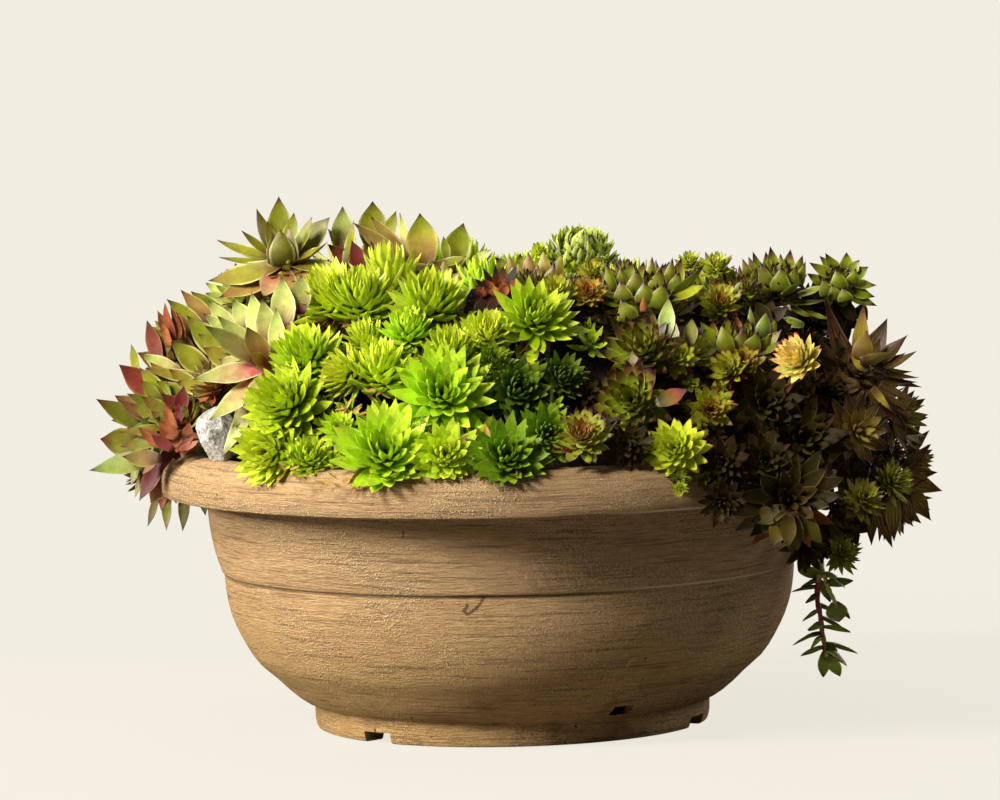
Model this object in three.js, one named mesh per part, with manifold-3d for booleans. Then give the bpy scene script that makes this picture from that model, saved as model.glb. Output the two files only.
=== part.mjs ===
// Hens and chicks (Sempervivum) with a trailing stonecrop sprig, grown over the
// rim of a moulded bowl planter. Millimetres, +Z up, origin under the middle of
// the whole plant and pot, on the surface the pot stands on.
import * as THREE from 'three';
import { mergeVertices } from 'three/addons/utils/BufferGeometryUtils.js';
import { ConvexGeometry } from 'three/addons/geometries/ConvexGeometry.js';
import Module from 'manifold-3d';

const wasm = await Module();
wasm.setup();

// ---------------------------------------------------------------- dimensions
const POT = {
  rimRadius: 200,        // widest point of the rolled rim
  rimTop: 162.5,         // height of the top of the rim
  rimUnder: 137,         // lower edge of the rolled lip
  wall: 4.2,             // moulded wall thickness
  footRadius: 113.6,     // foot ring, at its top
  footHeight: 13.2,      // foot ring height
  footInner: 99,         // inside of the foot ring, underneath
  recess: 6.5,           // how far the underside is raised inside the foot ring
  floor: 15,             // inside floor of the bowl
  creaseHeight: 91.5,    // step line round the body
  sides: 40,
};
const NOTCH = { width: 20, height: 6.2, angles: [-132.6, -22, 101] };       // drain notches in the foot ring
const DRAIN = { width: 13, low: 15.6, high: 21.4, angles: [-60.2, 63, 183] }; // drain holes just above the foot
const SOIL_TOP = 238;    // top of the heap of soil and old stems
const GAP = 0.3;         // clearance between touching pieces
const OFFSET = [-9.4, -6.4, 0]; // pot axis from the origin, so that the origin is under the middle of the whole
const ROCK = { at: [-161.5, -92, 177], size: [11, 9.5, 14.5] };

// Every rosette: name, growth point, facing direction, leaf reach, kind, node.
const ROSETTES = [
  ['L1', -124.5, -20, 268.4, -0.05, -0.361, 0.931, 39.9, 'A', 'blue_hen_1'],
  ['L2', -135.4, -102.4, 214.9, -0.346, -0.909, 0.233, 41.3, 'A', 'blue_hen_2'],
  ['L3', -167.2, -10.4, 222.9, -0.691, -0.591, 0.416, 32, 'A', 'blue_hen_3'],
  ['L4', -196.5, 4.8, 228.8, -0.639, -0.573, 0.513, 17.2, 'AR', 'blue_hen_3'],
  ['L5', -201.3, -53.7, 185, -0.797, -0.575, 0.186, 28, 'A', 'blue_hen_4'],
  ['L5b', -183.7, -53.1, 178.3, -0.598, -0.791, 0.129, 16.8, 'AD', 'blue_hen_4'],
  ['L5c', -193.1, 70.2, 135.9, -0.512, -0.711, -0.482, 19.9, 'A', 'blue_hen_5'],
  ['L6', -76.7, -10, 273, 0.07, -0.399, 0.914, 29.7, 'A', 'blue_hen_6'],
  ['L7', -37.8, -25, 266.1, 0.12, -0.391, 0.913, 26.2, 'A', 'blue_hen_7'],
  ['L8', -39.9, -66, 259.6, 0.019, -0.532, 0.846, 13.5, 'AT', 'blue_hen_7'],
  ['L9', -14, -20, 263, 0.269, -0.478, 0.836, 17.1, 'A', 'blue_hen_7'],
  ['L10', 12.6, -40, 259.1, 0.019, -0.503, 0.864, 19.3, 'AT', 'blue_hen_8'],
  ['R0', -1.8, -97.2, 251.8, -0.037, -0.786, 0.618, 19, 'AM', 'maroon_hen_1'],
  ['L11', -151.6, 14.1, 245.6, -0.286, -0.69, 0.665, 23, 'A', 'blue_hen_1'],
  ['G1', -96.8, -70.4, 249.9, -0.399, -0.618, 0.678, 24.7, 'BY', 'green_hen_1'],
  ['G2', -79.1, -83.8, 249.3, 0, -0.552, 0.834, 23.5, 'B', 'green_hen_1'],
  ['G2b', -64.5, -81.8, 253.3, 0.011, -0.853, 0.522, 6.2, 'BB', 'green_hen_1'],
  ['G3', -40.9, -104.6, 248.1, 0, -0.6, 0.8, 24.5, 'B', 'green_hen_2'],
  ['G4', -53.2, -120.6, 234.5, 0, -0.6, 0.8, 16.6, 'B', 'green_hen_2'],
  ['G5', -110.3, -116, 219.8, -0.3, -0.699, 0.649, 23.3, 'B', 'green_hen_3'],
  ['G6', -88.3, -135, 213, -0.756, -0.605, 0.252, 16.6, 'BY', 'green_hen_3'],
  ['G7', -69, -136.2, 213.8, 0, -0.503, 0.865, 22.1, 'BY', 'green_hen_4'],
  ['G8', -121.6, -138.4, 196.9, -0.42, -0.799, 0.43, 24.9, 'B', 'green_hen_5'],
  ['G9', -129.5, -141.1, 171.2, -0.504, -0.858, 0.101, 23.2, 'BY', 'green_hen_6'],
  ['G10', -108.9, -152.2, 168.4, 0.1, -0.796, 0.597, 16, 'B', 'green_hen_6'],
  ['G11', -66.2, -175.2, 170.6, 0, -0.865, 0.503, 29.6, 'BO', 'green_hen_7'],
  ['G13', -34.3, -153.2, 200.5, 0, -0.906, 0.423, 29.7, 'BO', 'green_hen_8'],
  ['G14', -29, -135.5, 221.7, 0, -0.622, 0.783, 19.9, 'B', 'green_hen_8'],
  ['G15', -8.9, -130.9, 232.5, 0.1, -0.723, 0.683, 16.6, 'BY', 'green_hen_9'],
  ['G16', 17.3, -123.4, 239.7, 0.121, -0.804, 0.583, 24.9, 'BO', 'green_hen_10'],
  ['G17', -5.9, -142.7, 218.4, 0.059, -0.904, 0.424, 12.1, 'B', 'green_hen_9'],
  ['G18', 6.4, -147.5, 202.4, 0.127, -0.937, 0.325, 22, 'B', 'green_hen_11'],
  ['G19', -33.3, -184.3, 170.6, 0, -0.954, 0.301, 19.7, 'BY', 'green_hen_12'],
  ['G20', -0.5, -187.3, 169.1, 0.101, -0.886, 0.453, 24.1, 'BO', 'green_hen_13'],
  ['G21', -91.4, -156.4, 183.9, -0.192, -0.905, 0.38, 12.1, 'B', 'green_hen_4'],
  ['G22', 31.3, -137.1, 208.2, 0.208, -0.905, 0.371, 16.5, 'B', 'green_hen_11'],
  ['G23', 22.8, -174.7, 180.1, 0.104, -0.968, 0.228, 18.6, 'B', 'green_hen_13'],
  ['B1', 44.4, 4.2, 259.6, 0, -0.498, 0.867, 21.2, 'E', 'cobweb_hen_1'],
  ['B1b', 21.6, -12.2, 270.9, -0.088, -0.816, 0.571, 6.3, 'BB', 'cobweb_hen_1'],
  ['Y1', 29.5, -95.1, 252, 0.014, -0.748, 0.663, 13.4, 'Y', 'gold_hen_1'],
  ['X1', 47.4, -93.1, 251.5, 0.011, -0.853, 0.522, 11.2, 'X', 'gold_hen_1'],
  ['Y2', 50.6, -45, 259.6, 0.014, -0.748, 0.663, 10.2, 'Y', 'gold_hen_1'],
  ['H1', 40.9, -182.9, 178.7, 0, -0.853, 0.522, 18.1, 'X', 'olive_hen_1'],
  ['R1', 85.1, -80.5, 249.8, -0.03, -0.502, 0.864, 30.3, 'C', 'olive_hen_2'],
  ['R1b', 106.3, -40, 263.7, 0.018, -0.598, 0.802, 9.1, 'Y', 'olive_hen_2'],
  ['R1d', 60, -101.3, 233.7, -0.091, -0.899, 0.427, 15.6, 'CD', 'olive_hen_3'],
  ['R2', 76, -130.3, 221.1, -0.038, -0.821, 0.57, 24.3, 'C', 'olive_hen_3'],
  ['R3', 95.3, -128.7, 216.1, 0.008, -0.926, 0.377, 12.7, 'Y', 'olive_hen_4'],
  ['R4', 69.5, -151.6, 195.3, -0.112, -0.918, 0.379, 24.2, 'C', 'olive_hen_4'],
  ['R4b', 64.9, -175.7, 173.7, 0.003, -0.983, 0.181, 16.5, 'CD', 'olive_hen_4'],
  ['R5', 124.3, -124.7, 209.1, -0.349, -0.848, 0.399, 12.8, 'Y', 'olive_hen_5'],
  ['R5b', 133, -117.5, 212.2, -0.101, -0.858, 0.504, 12.2, 'X', 'olive_hen_5'],
  ['R6', 112.6, -141.7, 189.1, 0.022, -0.991, 0.131, 15.4, 'X', 'olive_hen_5'],
  ['R7', 92.7, -170.2, 169.9, -0.248, -0.922, 0.297, 19.2, 'YB', 'gold_hen_2'],
  ['R7b', 94, -184.4, 149.8, -0.006, -0.975, -0.221, 5.5, 'Y', 'gold_hen_2'],
  ['R8', 131.8, -93.7, 225, 0, -0.552, 0.834, 26.8, 'C', 'olive_hen_6'],
  ['R9', 120.8, -45, 261.4, 0.018, -0.598, 0.802, 11.3, 'Y', 'olive_hen_7'],
  ['R10', 121.8, -70.2, 242.7, 0.012, -0.822, 0.569, 13.5, 'X', 'olive_hen_7'],
  ['R11', 136.1, -55, 252.7, 0.067, -0.631, 0.773, 15.8, 'C', 'olive_hen_8'],
  ['R12', 157.6, -29.9, 255.1, 0.1, -0.5, 0.86, 25, 'C', 'olive_hen_8'],
  ['R13', 192.3, -19.7, 251.4, 0.351, -0.701, 0.621, 21.7, 'CG', 'olive_hen_9'],
  ['R14', 163.7, -122.5, 213.2, -0.496, -0.744, 0.447, 16.8, 'XP', 'bronze_hen_1'],
  ['R15', 178.6, -85.5, 193, 0.304, -0.927, 0.22, 15.7, 'CD', 'bronze_hen_1'],
  ['R16', 202.7, -60, 205.1, 0.558, -0.728, 0.398, 33.9, 'D', 'bronze_hen_2'],
  ['R16b', 172.6, -3.9, 225, 0.261, -0.818, 0.513, 18.3, 'CD', 'bronze_hen_2'],
  ['S1', 143.1, -121.3, 189.4, 0.054, -0.972, 0.229, 24.4, 'CD', 'bronze_hen_3'],
  ['S2', 163.5, -125.2, 169.8, 0.123, -0.98, 0.158, 26.6, 'CD', 'bronze_hen_3'],
  ['S3', 194.3, -107.4, 172, 0.403, -0.904, 0.145, 22.3, 'D', 'bronze_hen_3'],
  ['S4', 141.7, -157.7, 161, 0.022, -0.991, 0.131, 19.8, 'CD', 'bronze_hen_4'],
  ['S5', 117.8, -165.3, 162.3, -0.018, -0.991, 0.132, 17.5, 'CD', 'bronze_hen_4'],
  ['S6', 117, -176.8, 140.9, -0.007, -0.962, -0.272, 14.2, 'CD', 'bronze_hen_4'],
  ['R17', 153.9, -159.4, 140, 0.051, -0.993, 0.102, 31.9, 'DG', 'bronze_hen_5'],
  ['R18', 196.6, -122.6, 135.4, 0.303, -0.808, 0.505, 15, 'CY', 'olive_hen_10'],
  ['R18b', 215.5, -98.7, 142.7, 0.608, -0.71, 0.355, 14.5, 'CY', 'olive_hen_10'],
  ['R19', 223.3, -30, 172.6, 0.804, -0.567, 0.179, 23.9, 'D', 'bronze_hen_6'],
  ['R20', 219.3, -35, 126.2, 0.537, -0.629, -0.563, 28.5, 'D', 'bronze_hen_7'],
  ['R20b', 233.2, -20, 146.2, 0.849, -0.528, -0.026, 16, 'D', 'bronze_hen_6'],
  ['R21', 184.4, -123, 105.5, 0.316, -0.895, 0.316, 12.8, 'CY', 'bronze_hen_5'],
  ['R22', 164.2, -139.6, 111.1, 0.089, -0.898, -0.43, 15.5, 'CD', 'bronze_hen_5'],
  ['K1', -20.7, 127.1, 236.8, -0.032, 0.483, 0.875, 33.9, 'BY', 'green_hen_17'],
  ['K2', -51.6, 169.4, 178.9, -0.123, 0.817, 0.564, 33.9, 'BO', 'green_hen_14'],
  ['K3', 203.3, 19.2, 182.6, 0.762, 0.055, 0.645, 37.3, 'CD', 'bronze_hen_8'],
  ['K4', -51.6, 93.9, 238.1, -0.097, 0.297, 0.95, 33.7, 'BY', 'green_hen_17'],
  ['K5', -119.7, 125.3, 209.9, -0.362, 0.544, 0.757, 35.5, 'A', 'blue_hen_9'],
  ['K6', 183.3, 116.3, 143.2, 0.695, 0.605, 0.387, 35.8, 'CD', 'bronze_hen_9'],
  ['K7', 51.5, 83.7, 248.1, 0.083, 0.245, 0.966, 36.9, 'C', 'olive_hen_11'],
  ['K8', -171.1, 118, 153.4, -0.675, 0.589, 0.444, 33, 'A', 'blue_hen_9'],
  ['K9', 170.2, 79.7, 209.7, 0.539, 0.316, 0.78, 30.6, 'D', 'bronze_hen_9'],
  ['K10', -0.3, 39.6, 248.7, -0, 0.069, 0.998, 24.3, 'BO', 'green_hen_15'],
  ['K11', 99.6, 152.1, 191.3, 0.263, 0.718, 0.645, 31.1, 'C', 'olive_hen_11'],
  ['K12', -91.1, 58.5, 255, -0.198, 0.157, 0.968, 33.1, 'A', 'blue_hen_10'],
  ['K13', -187.8, 58.4, 189.4, -0.716, 0.222, 0.662, 33.4, 'A', 'blue_hen_12'],
  ['K14', 9, 197.8, 150.3, 0.011, 0.923, 0.384, 30.6, 'BY', 'green_hen_14'],
  ['K15', 108.4, 166.3, 142.3, 0.319, 0.873, 0.369, 29.5, 'C', 'olive_hen_11'],
  ['K16', 132.5, 33.6, 236.7, 0.317, 0.084, 0.945, 25.2, 'C', 'olive_hen_12'],
  ['K17', 72.5, -19.8, 243.7, 0.114, -0.037, 0.993, 25.8, 'B', 'green_hen_15'],
  ['K18', 29, 161, 200.4, 0.05, 0.731, 0.68, 32.6, 'C', 'olive_hen_11'],
  ['K19', 121.9, -12.1, 240, 0.275, -0.024, 0.961, 28.6, 'CG', 'olive_hen_12'],
  ['K20', 140, 146.4, 162.7, 0.448, 0.746, 0.493, 30.5, 'CD', 'bronze_hen_9'],
  ['K21', -44, 26.1, 254.2, -0.058, 0.042, 0.997, 30.1, 'B', 'green_hen_15'],
  ['K22', 114.9, 76.2, 238.4, 0.267, 0.246, 0.932, 26.6, 'CD', 'bronze_hen_9'],
  ['K23', 52.5, 190.9, 157.1, 0.107, 0.9, 0.422, 28.3, 'C', 'olive_hen_11'],
  ['K24', 56.4, 125.7, 234.3, 0.109, 0.486, 0.867, 27.6, 'C', 'olive_hen_11'],
  ['K25', 95.3, 111.2, 234.7, 0.219, 0.42, 0.881, 26.9, 'C', 'olive_hen_11'],
  ['K26', 134.7, 108.4, 218.6, 0.376, 0.445, 0.813, 27.1, 'D', 'bronze_hen_9'],
  ['K27', -142.1, 57.1, 234.4, -0.417, 0.18, 0.891, 27.9, 'A', 'blue_hen_10'],
  ['K28', 82.8, 32.3, 241.4, 0.143, 0.066, 0.988, 22.7, 'BO', 'green_hen_15'],
  ['K29', -63.9, -48.2, 257.7, -0.113, -0.124, 0.986, 26.3, 'BY', 'green_hen_16'],
  ['K30', 203.9, 66.1, 170.9, 0.776, 0.282, 0.564, 28.1, 'CD', 'bronze_hen_8'],
  ['K31', -205.3, 5.6, 155.2, -0.886, 0.011, 0.464, 21.7, 'AR', 'blue_hen_12'],
  ['K32', -152.1, 93.9, 210.9, -0.504, 0.381, 0.775, 26.3, 'A', 'blue_hen_9'],
  ['K33', 2.2, 97.3, 241.6, 0.001, 0.305, 0.952, 22.2, 'BY', 'green_hen_17'],
  ['K34', -129.6, 146.2, 169.9, -0.438, 0.725, 0.531, 28.3, 'A', 'blue_hen_9'],
  ['K35', -73.4, 127.8, 228.4, -0.176, 0.512, 0.841, 25.2, 'BO', 'green_hen_17'],
  ['K36', -92.3, 175.1, 161.4, -0.261, 0.85, 0.458, 25.1, 'AR', 'blue_hen_9'],
  ['K37', 41, -67.5, 247.5, 0.058, -0.196, 0.979, 18, 'C', 'olive_hen_13'],
  ['K38', 163.4, 112.5, 190.3, 0.536, 0.519, 0.666, 25.4, 'D', 'bronze_hen_9'],
  ['K39', -94.2, 97.8, 241, -0.231, 0.344, 0.91, 27.3, 'BO', 'green_hen_17'],
  ['K40', -12.9, 159.7, 203.3, -0.019, 0.718, 0.696, 28.5, 'B', 'green_hen_14'],
  ['K41', -184, 18.8, 198.5, -0.688, 0.05, 0.724, 26.2, 'A', 'blue_hen_12'],
  ['K42', 173.1, 32.9, 222.5, 0.524, 0.095, 0.846, 25.3, 'D', 'bronze_hen_8'],
  ['K43', -95.4, 154.2, 187.5, -0.277, 0.732, 0.622, 22.8, 'AR', 'blue_hen_9'],
  ['K44', -12.4, -60.8, 253.3, -0.013, -0.161, 0.987, 22.5, 'B', 'green_hen_16'],
  ['K45', -209.2, 39.1, 144, -0.909, 0.146, 0.391, 17.3, 'AR', 'blue_hen_12'],
  ['K46', -32.7, 195.3, 155.8, -0.063, 0.909, 0.412, 21.4, 'B', 'green_hen_14'],
  ['K47', 19.7, 137, 229, 0.028, 0.55, 0.835, 23, 'BO', 'green_hen_17'],
  ['K48', 62.3, 165.9, 184, 0.141, 0.792, 0.594, 21.3, 'C', 'olive_hen_11'],
  ['K49', 219.4, 36.3, 144.4, 0.906, 0.137, 0.4, 21.8, 'D', 'bronze_hen_8'],
  ['K50', -93.1, 17.5, 255.1, -0.195, 0.031, 0.98, 22.8, 'A', 'blue_hen_10'],
  ['K51', -60.6, 188.5, 147.8, -0.148, 0.913, 0.38, 21.2, 'BO', 'green_hen_14'],
  ['K52', 42.9, 38, 259.6, 0.053, 0.071, 0.996, 22.1, 'BY', 'green_hen_15'],
  ['K53', -29.5, 62, 251.1, -0.04, 0.147, 0.988, 21.2, 'B', 'green_hen_17'],
  ['K54', -45.5, 148.8, 214.3, -0.097, 0.644, 0.759, 24.2, 'BO', 'green_hen_17'],
  ['K55', -122.6, -53, 234.7, -0.339, -0.18, 0.924, 18.4, 'AR', 'blue_hen_11'],
  ['K56', -171.7, 98.3, 184.3, -0.641, 0.44, 0.629, 18.1, 'A', 'blue_hen_9'],
  ['K57', 151.2, -49.9, 223.3, 0.437, -0.182, 0.881, 19.6, 'D', 'bronze_hen_10'],
  ['K58', -180.4, -57.4, 182.6, -0.719, -0.256, 0.647, 19.5, 'A', 'blue_hen_11'],
  ['K59', -1.6, 174.9, 173.5, -0.001, 0.848, 0.531, 19.4, 'BY', 'green_hen_14'],
  ['K60', -162.2, -65.6, 202.2, -0.583, -0.284, 0.761, 17.7, 'AR', 'blue_hen_11'],
  ['K61', -20.1, 3.9, 263.8, -0.016, 0.003, 1, 17.5, 'B', 'green_hen_15'],
  ['K62', -186.3, -23.1, 185.4, -0.743, -0.076, 0.664, 19.9, 'A', 'blue_hen_11'],
  ['K63', 150.5, 60.3, 232.4, 0.413, 0.198, 0.889, 18.7, 'D', 'bronze_hen_9'],
  ['K64', 59.5, 148.2, 212.6, 0.126, 0.647, 0.752, 18.3, 'X', 'olive_hen_11'],
  ['K65', 38.1, -26.4, 250.6, 0.043, -0.046, 0.998, 12.8, 'BO', 'green_hen_15'],
  ['K66', 189, 52.2, 202.3, 0.64, 0.189, 0.745, 18.9, 'CD', 'bronze_hen_8'],
  ['K67', -151.6, 118.8, 188.1, -0.532, 0.548, 0.645, 17.6, 'A', 'blue_hen_9'],
  ['K68', -165.6, 40.9, 221, -0.544, 0.125, 0.83, 17.6, 'A', 'blue_hen_10'],
  ['K69', 6.9, -5.1, 256, 0.003, -0.003, 1, 19.8, 'BO', 'green_hen_15'],
  ['K70', 171.4, -28.9, 212.5, 0.549, -0.094, 0.831, 19.3, 'CD', 'bronze_hen_10'],
  ['K71', -123.9, 20.4, 249, -0.314, 0.043, 0.948, 15.7, 'AR', 'blue_hen_10'],
  ['K72', -123.1, 83.5, 235.8, -0.341, 0.292, 0.894, 14.6, 'AR', 'blue_hen_10'],
  ['K73', 196, -28.4, 183.3, 0.739, -0.104, 0.665, 15.3, 'CD', 'bronze_hen_10'],
  ['K74', 15.6, -80.9, 253.8, 0.017, -0.259, 0.966, 14.6, 'C', 'olive_hen_13'],
  ['K75', 104.1, -110.1, 217, 0.264, -0.509, 0.819, 14.6, 'Y', 'olive_hen_13'],
  ['K76', 216.3, 0.9, 150.9, 0.895, 0.001, 0.446, 14.2, 'CD', 'bronze_hen_8'],
  ['K77', 186, 97.9, 174.3, 0.673, 0.459, 0.58, 14.9, 'CD', 'bronze_hen_9'],
  ['K78', -148.2, -51.1, 220.2, -0.478, -0.189, 0.858, 14.4, 'AT', 'blue_hen_11'],
  ['K79', -76.8, -104.1, 229.4, -0.184, -0.441, 0.878, 14.8, 'BY', 'green_hen_16'],
  ['K80', 17.1, 72.1, 255.4, 0.018, 0.186, 0.982, 14.1, 'B', 'green_hen_15'],
  ['K81', -170.6, -39.8, 203, -0.623, -0.147, 0.768, 16.1, 'AT', 'blue_hen_11'],
  ['K82', 91.9, 175.4, 167, 0.231, 0.842, 0.487, 14, 'Y', 'olive_hen_11'],
  ['K83', 163.3, -101.1, 180.1, 0.563, -0.538, 0.627, 15, 'CD', 'bronze_hen_10'],
  ['K84', 147.3, 5.9, 236.8, 0.389, 0.009, 0.921, 14.1, 'C', 'olive_hen_12'],
  ['K85', 125.7, 134.8, 198.9, 0.359, 0.619, 0.699, 13.9, 'CD', 'bronze_hen_9'],
  ['K86', 68.7, -53.7, 256.5, 0.115, -0.146, 0.983, 15.4, 'C', 'olive_hen_13'],
];

// The trailing sprig: stems as paths, and leaves as base point, tip point and width.
const SPRIG = {
  stems: [
    { radius: 1.7, path: [[174.7, -93.0, 98.6], [174.5, -96.0, 92.7], [172.7, -96.0, 87.1], [172.2, -96.0, 77.0], [173.4, -97.0, 69.7], [174.4, -96.0, 60.0], [175.5, -95.0, 53.1], [177.0, -96.0, 44.7]] },
    { radius: 1.5, path: [[174.5, -96.0, 96.1], [176.6, -97.0, 89.4], [178.6, -99.0, 82.8], [181.3, -100.0, 77.2], [182.9, -100.0, 72.7]] },
  ],
  leaves: [
    [173.7, -96.0, 90.1, 160.9, -101.0, 96.9, 7.8],
    [173.0, -96.0, 88.0, 162.7, -92.0, 83.5, 3.9],
    [172.6, -96.0, 84.2, 156.8, -99.0, 82.2, 3.9],
    [172.3, -96.0, 79.2, 164.9, -102.0, 76.1, 5.0],
    [172.6, -96.3, 74.6, 180.9, -93.0, 70.2, 2.8],
    [173.2, -96.8, 71.1, 162.5, -101.0, 65.9, 3.9],
    [173.6, -96.8, 67.7, 187.5, -93.0, 59.9, 2.8],
    [174.1, -96.3, 62.8, 166.7, -104.0, 60.0, 5.6],
    [174.2, -96.2, 61.6, 191.0, -100.0, 58.4, 2.8],
    [174.7, -95.7, 58.0, 157.6, -92.0, 50.9, 4.5],
    [175.1, -95.4, 55.6, 167.7, -103.0, 48.6, 5.0],
    [176.0, -95.3, 50.4, 161.4, -93.0, 45.8, 3.4],
    [175.6, -95.1, 52.3, 194.7, -100.0, 47.0, 3.4],
    [176.3, -95.5, 48.7, 174.6, -93.0, 32.5, 4.5],
    [176.5, -95.7, 47.3, 187.7, -103.0, 39.7, 6.7],
    [176.9, -96.0, 45.1, 184.9, -91.0, 33.1, 4.5],
    [175.9, -96.7, 91.5, 187.9, -104.0, 84.3, 5.6],
    [177.6, -98.0, 86.1, 192.8, -98.0, 88.6, 6.7],
    [173.2, -96.0, 88.7, 180.0, -91.0, 74.5, 3.4],
    [181.9, -100.0, 75.6, 183.7, -102.0, 64.4, 7.8],
    [182.1, -100.0, 74.8, 190.9, -94.0, 65.6, 2.8],
    [174.5, -96.0, 96.1, 162.5, -90.0, 98.5, 3.4],
    [175.8, -95.2, 51.5, 182.4, -88.0, 44.7, 5.0],
  ],
};

// Kinds of rosette: rings of leaves from the middle outwards, each ring as
// [leaves, elevation above the rosette's plane in degrees, reach].
const KIND = {
  A:  { bud: 0.62, rings: [[5, 62, 0.72], [7, 34, 0.92], [8, 8, 1.0]], colour: 0x9db061, valley: 0.55 },
  AT: { bud: 0.66, rings: [[5, 60, 0.80], [6, 28, 1.0]], colour: 0xb59a6a, valley: 0.55 },
  AR: { bud: 0.62, rings: [[5, 58, 0.82], [6, 22, 1.0]], colour: 0xa4552f, valley: 0.55 },
  AD: { bud: 0.50, rings: [[5, 50, 0.80], [6, 14, 1.0]], colour: 0x8a4a28, valley: 0.52 },
  AM: { bud: 0.50, rings: [[5, 55, 0.70], [7, 10, 1.0]], colour: 0x4a2024, valley: 0.55 },
  B:  { bud: 0.72, rings: [[6, 64, 0.84], [8, 36, 0.96], [8, 8, 1.0]], colour: 0x86c81e, valley: 0.60 },
  BO: { bud: 0.50, rings: [[5, 58, 0.62], [7, 32, 0.88], [8, 8, 1.0]], colour: 0x7cc01a, valley: 0.52 },
  BY: { bud: 0.74, rings: [[6, 60, 0.86], [8, 30, 1.0]], colour: 0xb4dc2a, valley: 0.60 },
  BB: { bud: 0.80, rings: [[5, 40, 0.95]], colour: 0xb8e030, valley: 0.75 },
  C:  { bud: 0.60, rings: [[5, 62, 0.72], [7, 34, 0.92], [8, 8, 1.0]], colour: 0x74841f, valley: 0.56 },
  CG: { bud: 0.60, rings: [[5, 62, 0.72], [7, 34, 0.92], [8, 8, 1.0]], colour: 0x6fa02a, valley: 0.56 },
  CY: { bud: 0.66, rings: [[6, 58, 0.84], [8, 22, 1.0]], colour: 0x8f8f2e, valley: 0.60 },
  CD: { bud: 0.56, rings: [[5, 58, 0.74], [7, 28, 0.96]], colour: 0x3f4a1c, valley: 0.55 },
  D:  { bud: 0.56, rings: [[5, 60, 0.74], [7, 32, 0.94], [7, 6, 1.0]], colour: 0x5a3a2a, valley: 0.50 },
  DG: { bud: 0.44, rings: [[5, 54, 0.60], [7, 26, 0.88], [8, 4, 1.0]], colour: 0x55602a, valley: 0.50 },
  E:  { bud: 0.66, rings: [[7, 66, 0.76], [9, 42, 0.90], [10, 14, 1.0]], colour: 0x8fc070, valley: 0.80 },
  X:  { bud: 0.60, rings: [[5, 62, 0.78], [7, 24, 1.0]], colour: 0x9a6a24, valley: 0.66 },
  XP: { bud: 0.72, rings: [[6, 60, 0.90], [7, 24, 1.0]], colour: 0xc08a4a, valley: 0.62 },
  Y:  { bud: 0.70, rings: [[5, 58, 0.86], [7, 22, 1.0]], colour: 0xb4c030, valley: 0.64 },
  YB: { bud: 0.60, rings: [[5, 56, 0.80], [7, 22, 1.0]], colour: 0xb8cc2c, valley: 0.62 },
};

// ------------------------------------------------------------------- helpers
const deg = Math.PI / 180;
let seed = 20261;
const rand = () => { seed = (seed * 1664525 + 1013904223) % 4294967296; return seed / 4294967296; };

function solid(geometry) {
  const g = geometry.clone();
  g.deleteAttribute('normal');
  g.deleteAttribute('uv');
  const m = mergeVertices(g, 1e-4);
  return new wasm.Manifold(new wasm.Mesh({
    numProp: 3,
    vertProperties: new Float32Array(m.attributes.position.array),
    triVerts: new Uint32Array(m.index.array),
  }));
}
function toGeometry(manifold) {
  const mesh = manifold.getMesh();
  const g = new THREE.BufferGeometry();
  const n = mesh.numProp;
  const pos = new Float32Array((mesh.vertProperties.length / n) * 3);
  for (let i = 0; i < pos.length / 3; i++) for (let k = 0; k < 3; k++) pos[3 * i + k] = mesh.vertProperties[n * i + k];
  g.setAttribute('position', new THREE.BufferAttribute(pos, 3));
  g.setIndex(new THREE.BufferAttribute(new Uint32Array(mesh.triVerts), 1));
  return g;
}
const tidy = (m) => m.simplify(0.06);
function biggest(manifold) {
  const bits = manifold.decompose();
  let best = bits[0];
  for (const b of bits) if (b.volume() > best.volume()) best = b;
  return best;
}
function lathe(profile, sides) {
  const g = new THREE.LatheGeometry(profile.map(([r, z]) => new THREE.Vector2(r, z)), sides);
  g.rotateX(Math.PI / 2);   // the lathe turns about Y; this stands it on Z
  return g;
}
function placed(geometry, matrix) {
  const g = geometry.clone();
  g.applyMatrix4(matrix);
  return g;
}
const material = (colour, roughness, metalness = 0) => new THREE.MeshStandardMaterial({ color: colour, roughness, metalness });

// ----------------------------------------------------------------------- pot
// Outside of the bowl from the foot to the rim, then over the rolled rim.
const OUTSIDE = [
  [112, 0], [113.6, 3.5], [113.6, 13.2], [118.6, 15.4], [128, 22.5], [135, 29.5], [145, 38],
  [152, 48.6], [158.6, 61], [162.6, 76], [163.8, 91], [164.8, 92], [169.2, 105], [171.8, 119], [172.6, 131],
];
const LIP_INSIDE = [[176, 152], [192, 151.5], [191.8, 135.6]];
const LIP_OUTSIDE = [[196.8, 135], [200, 144], [199.4, 151], [194, 158.8], [186.5, 162.2], [176.5, 161.6], [169.6, 155.2]];
const INSIDE = [
  [168.3, 131], [167.2, 119], [162.8, 100], [159.4, 90], [157, 72], [148, 51], [139, 39], [124, 25.5], [110, 15], [0, 15],
];
const UNDER = [[0, 6.5], [97, 6.5], [98.6, 0]];
const potProfile = [...UNDER, ...OUTSIDE, ...LIP_INSIDE, ...LIP_OUTSIDE, ...INSIDE];
function wedgeCut(angle, width, z0, z1, r0, r1) {
  const g = new THREE.BoxGeometry(r1 - r0, width, z1 - z0);
  g.translate((r0 + r1) / 2, 0, (z0 + z1) / 2);
  g.rotateZ(angle * deg);
  return solid(g);
}
let pot = solid(lathe(potProfile, POT.sides));
for (const a of NOTCH.angles) pot = pot.subtract(wedgeCut(a, NOTCH.width, -2, NOTCH.height, 94, 120));
for (const a of DRAIN.angles) pot = pot.subtract(wedgeCut(a, DRAIN.width, DRAIN.low, DRAIN.high, 106, 134));

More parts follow.
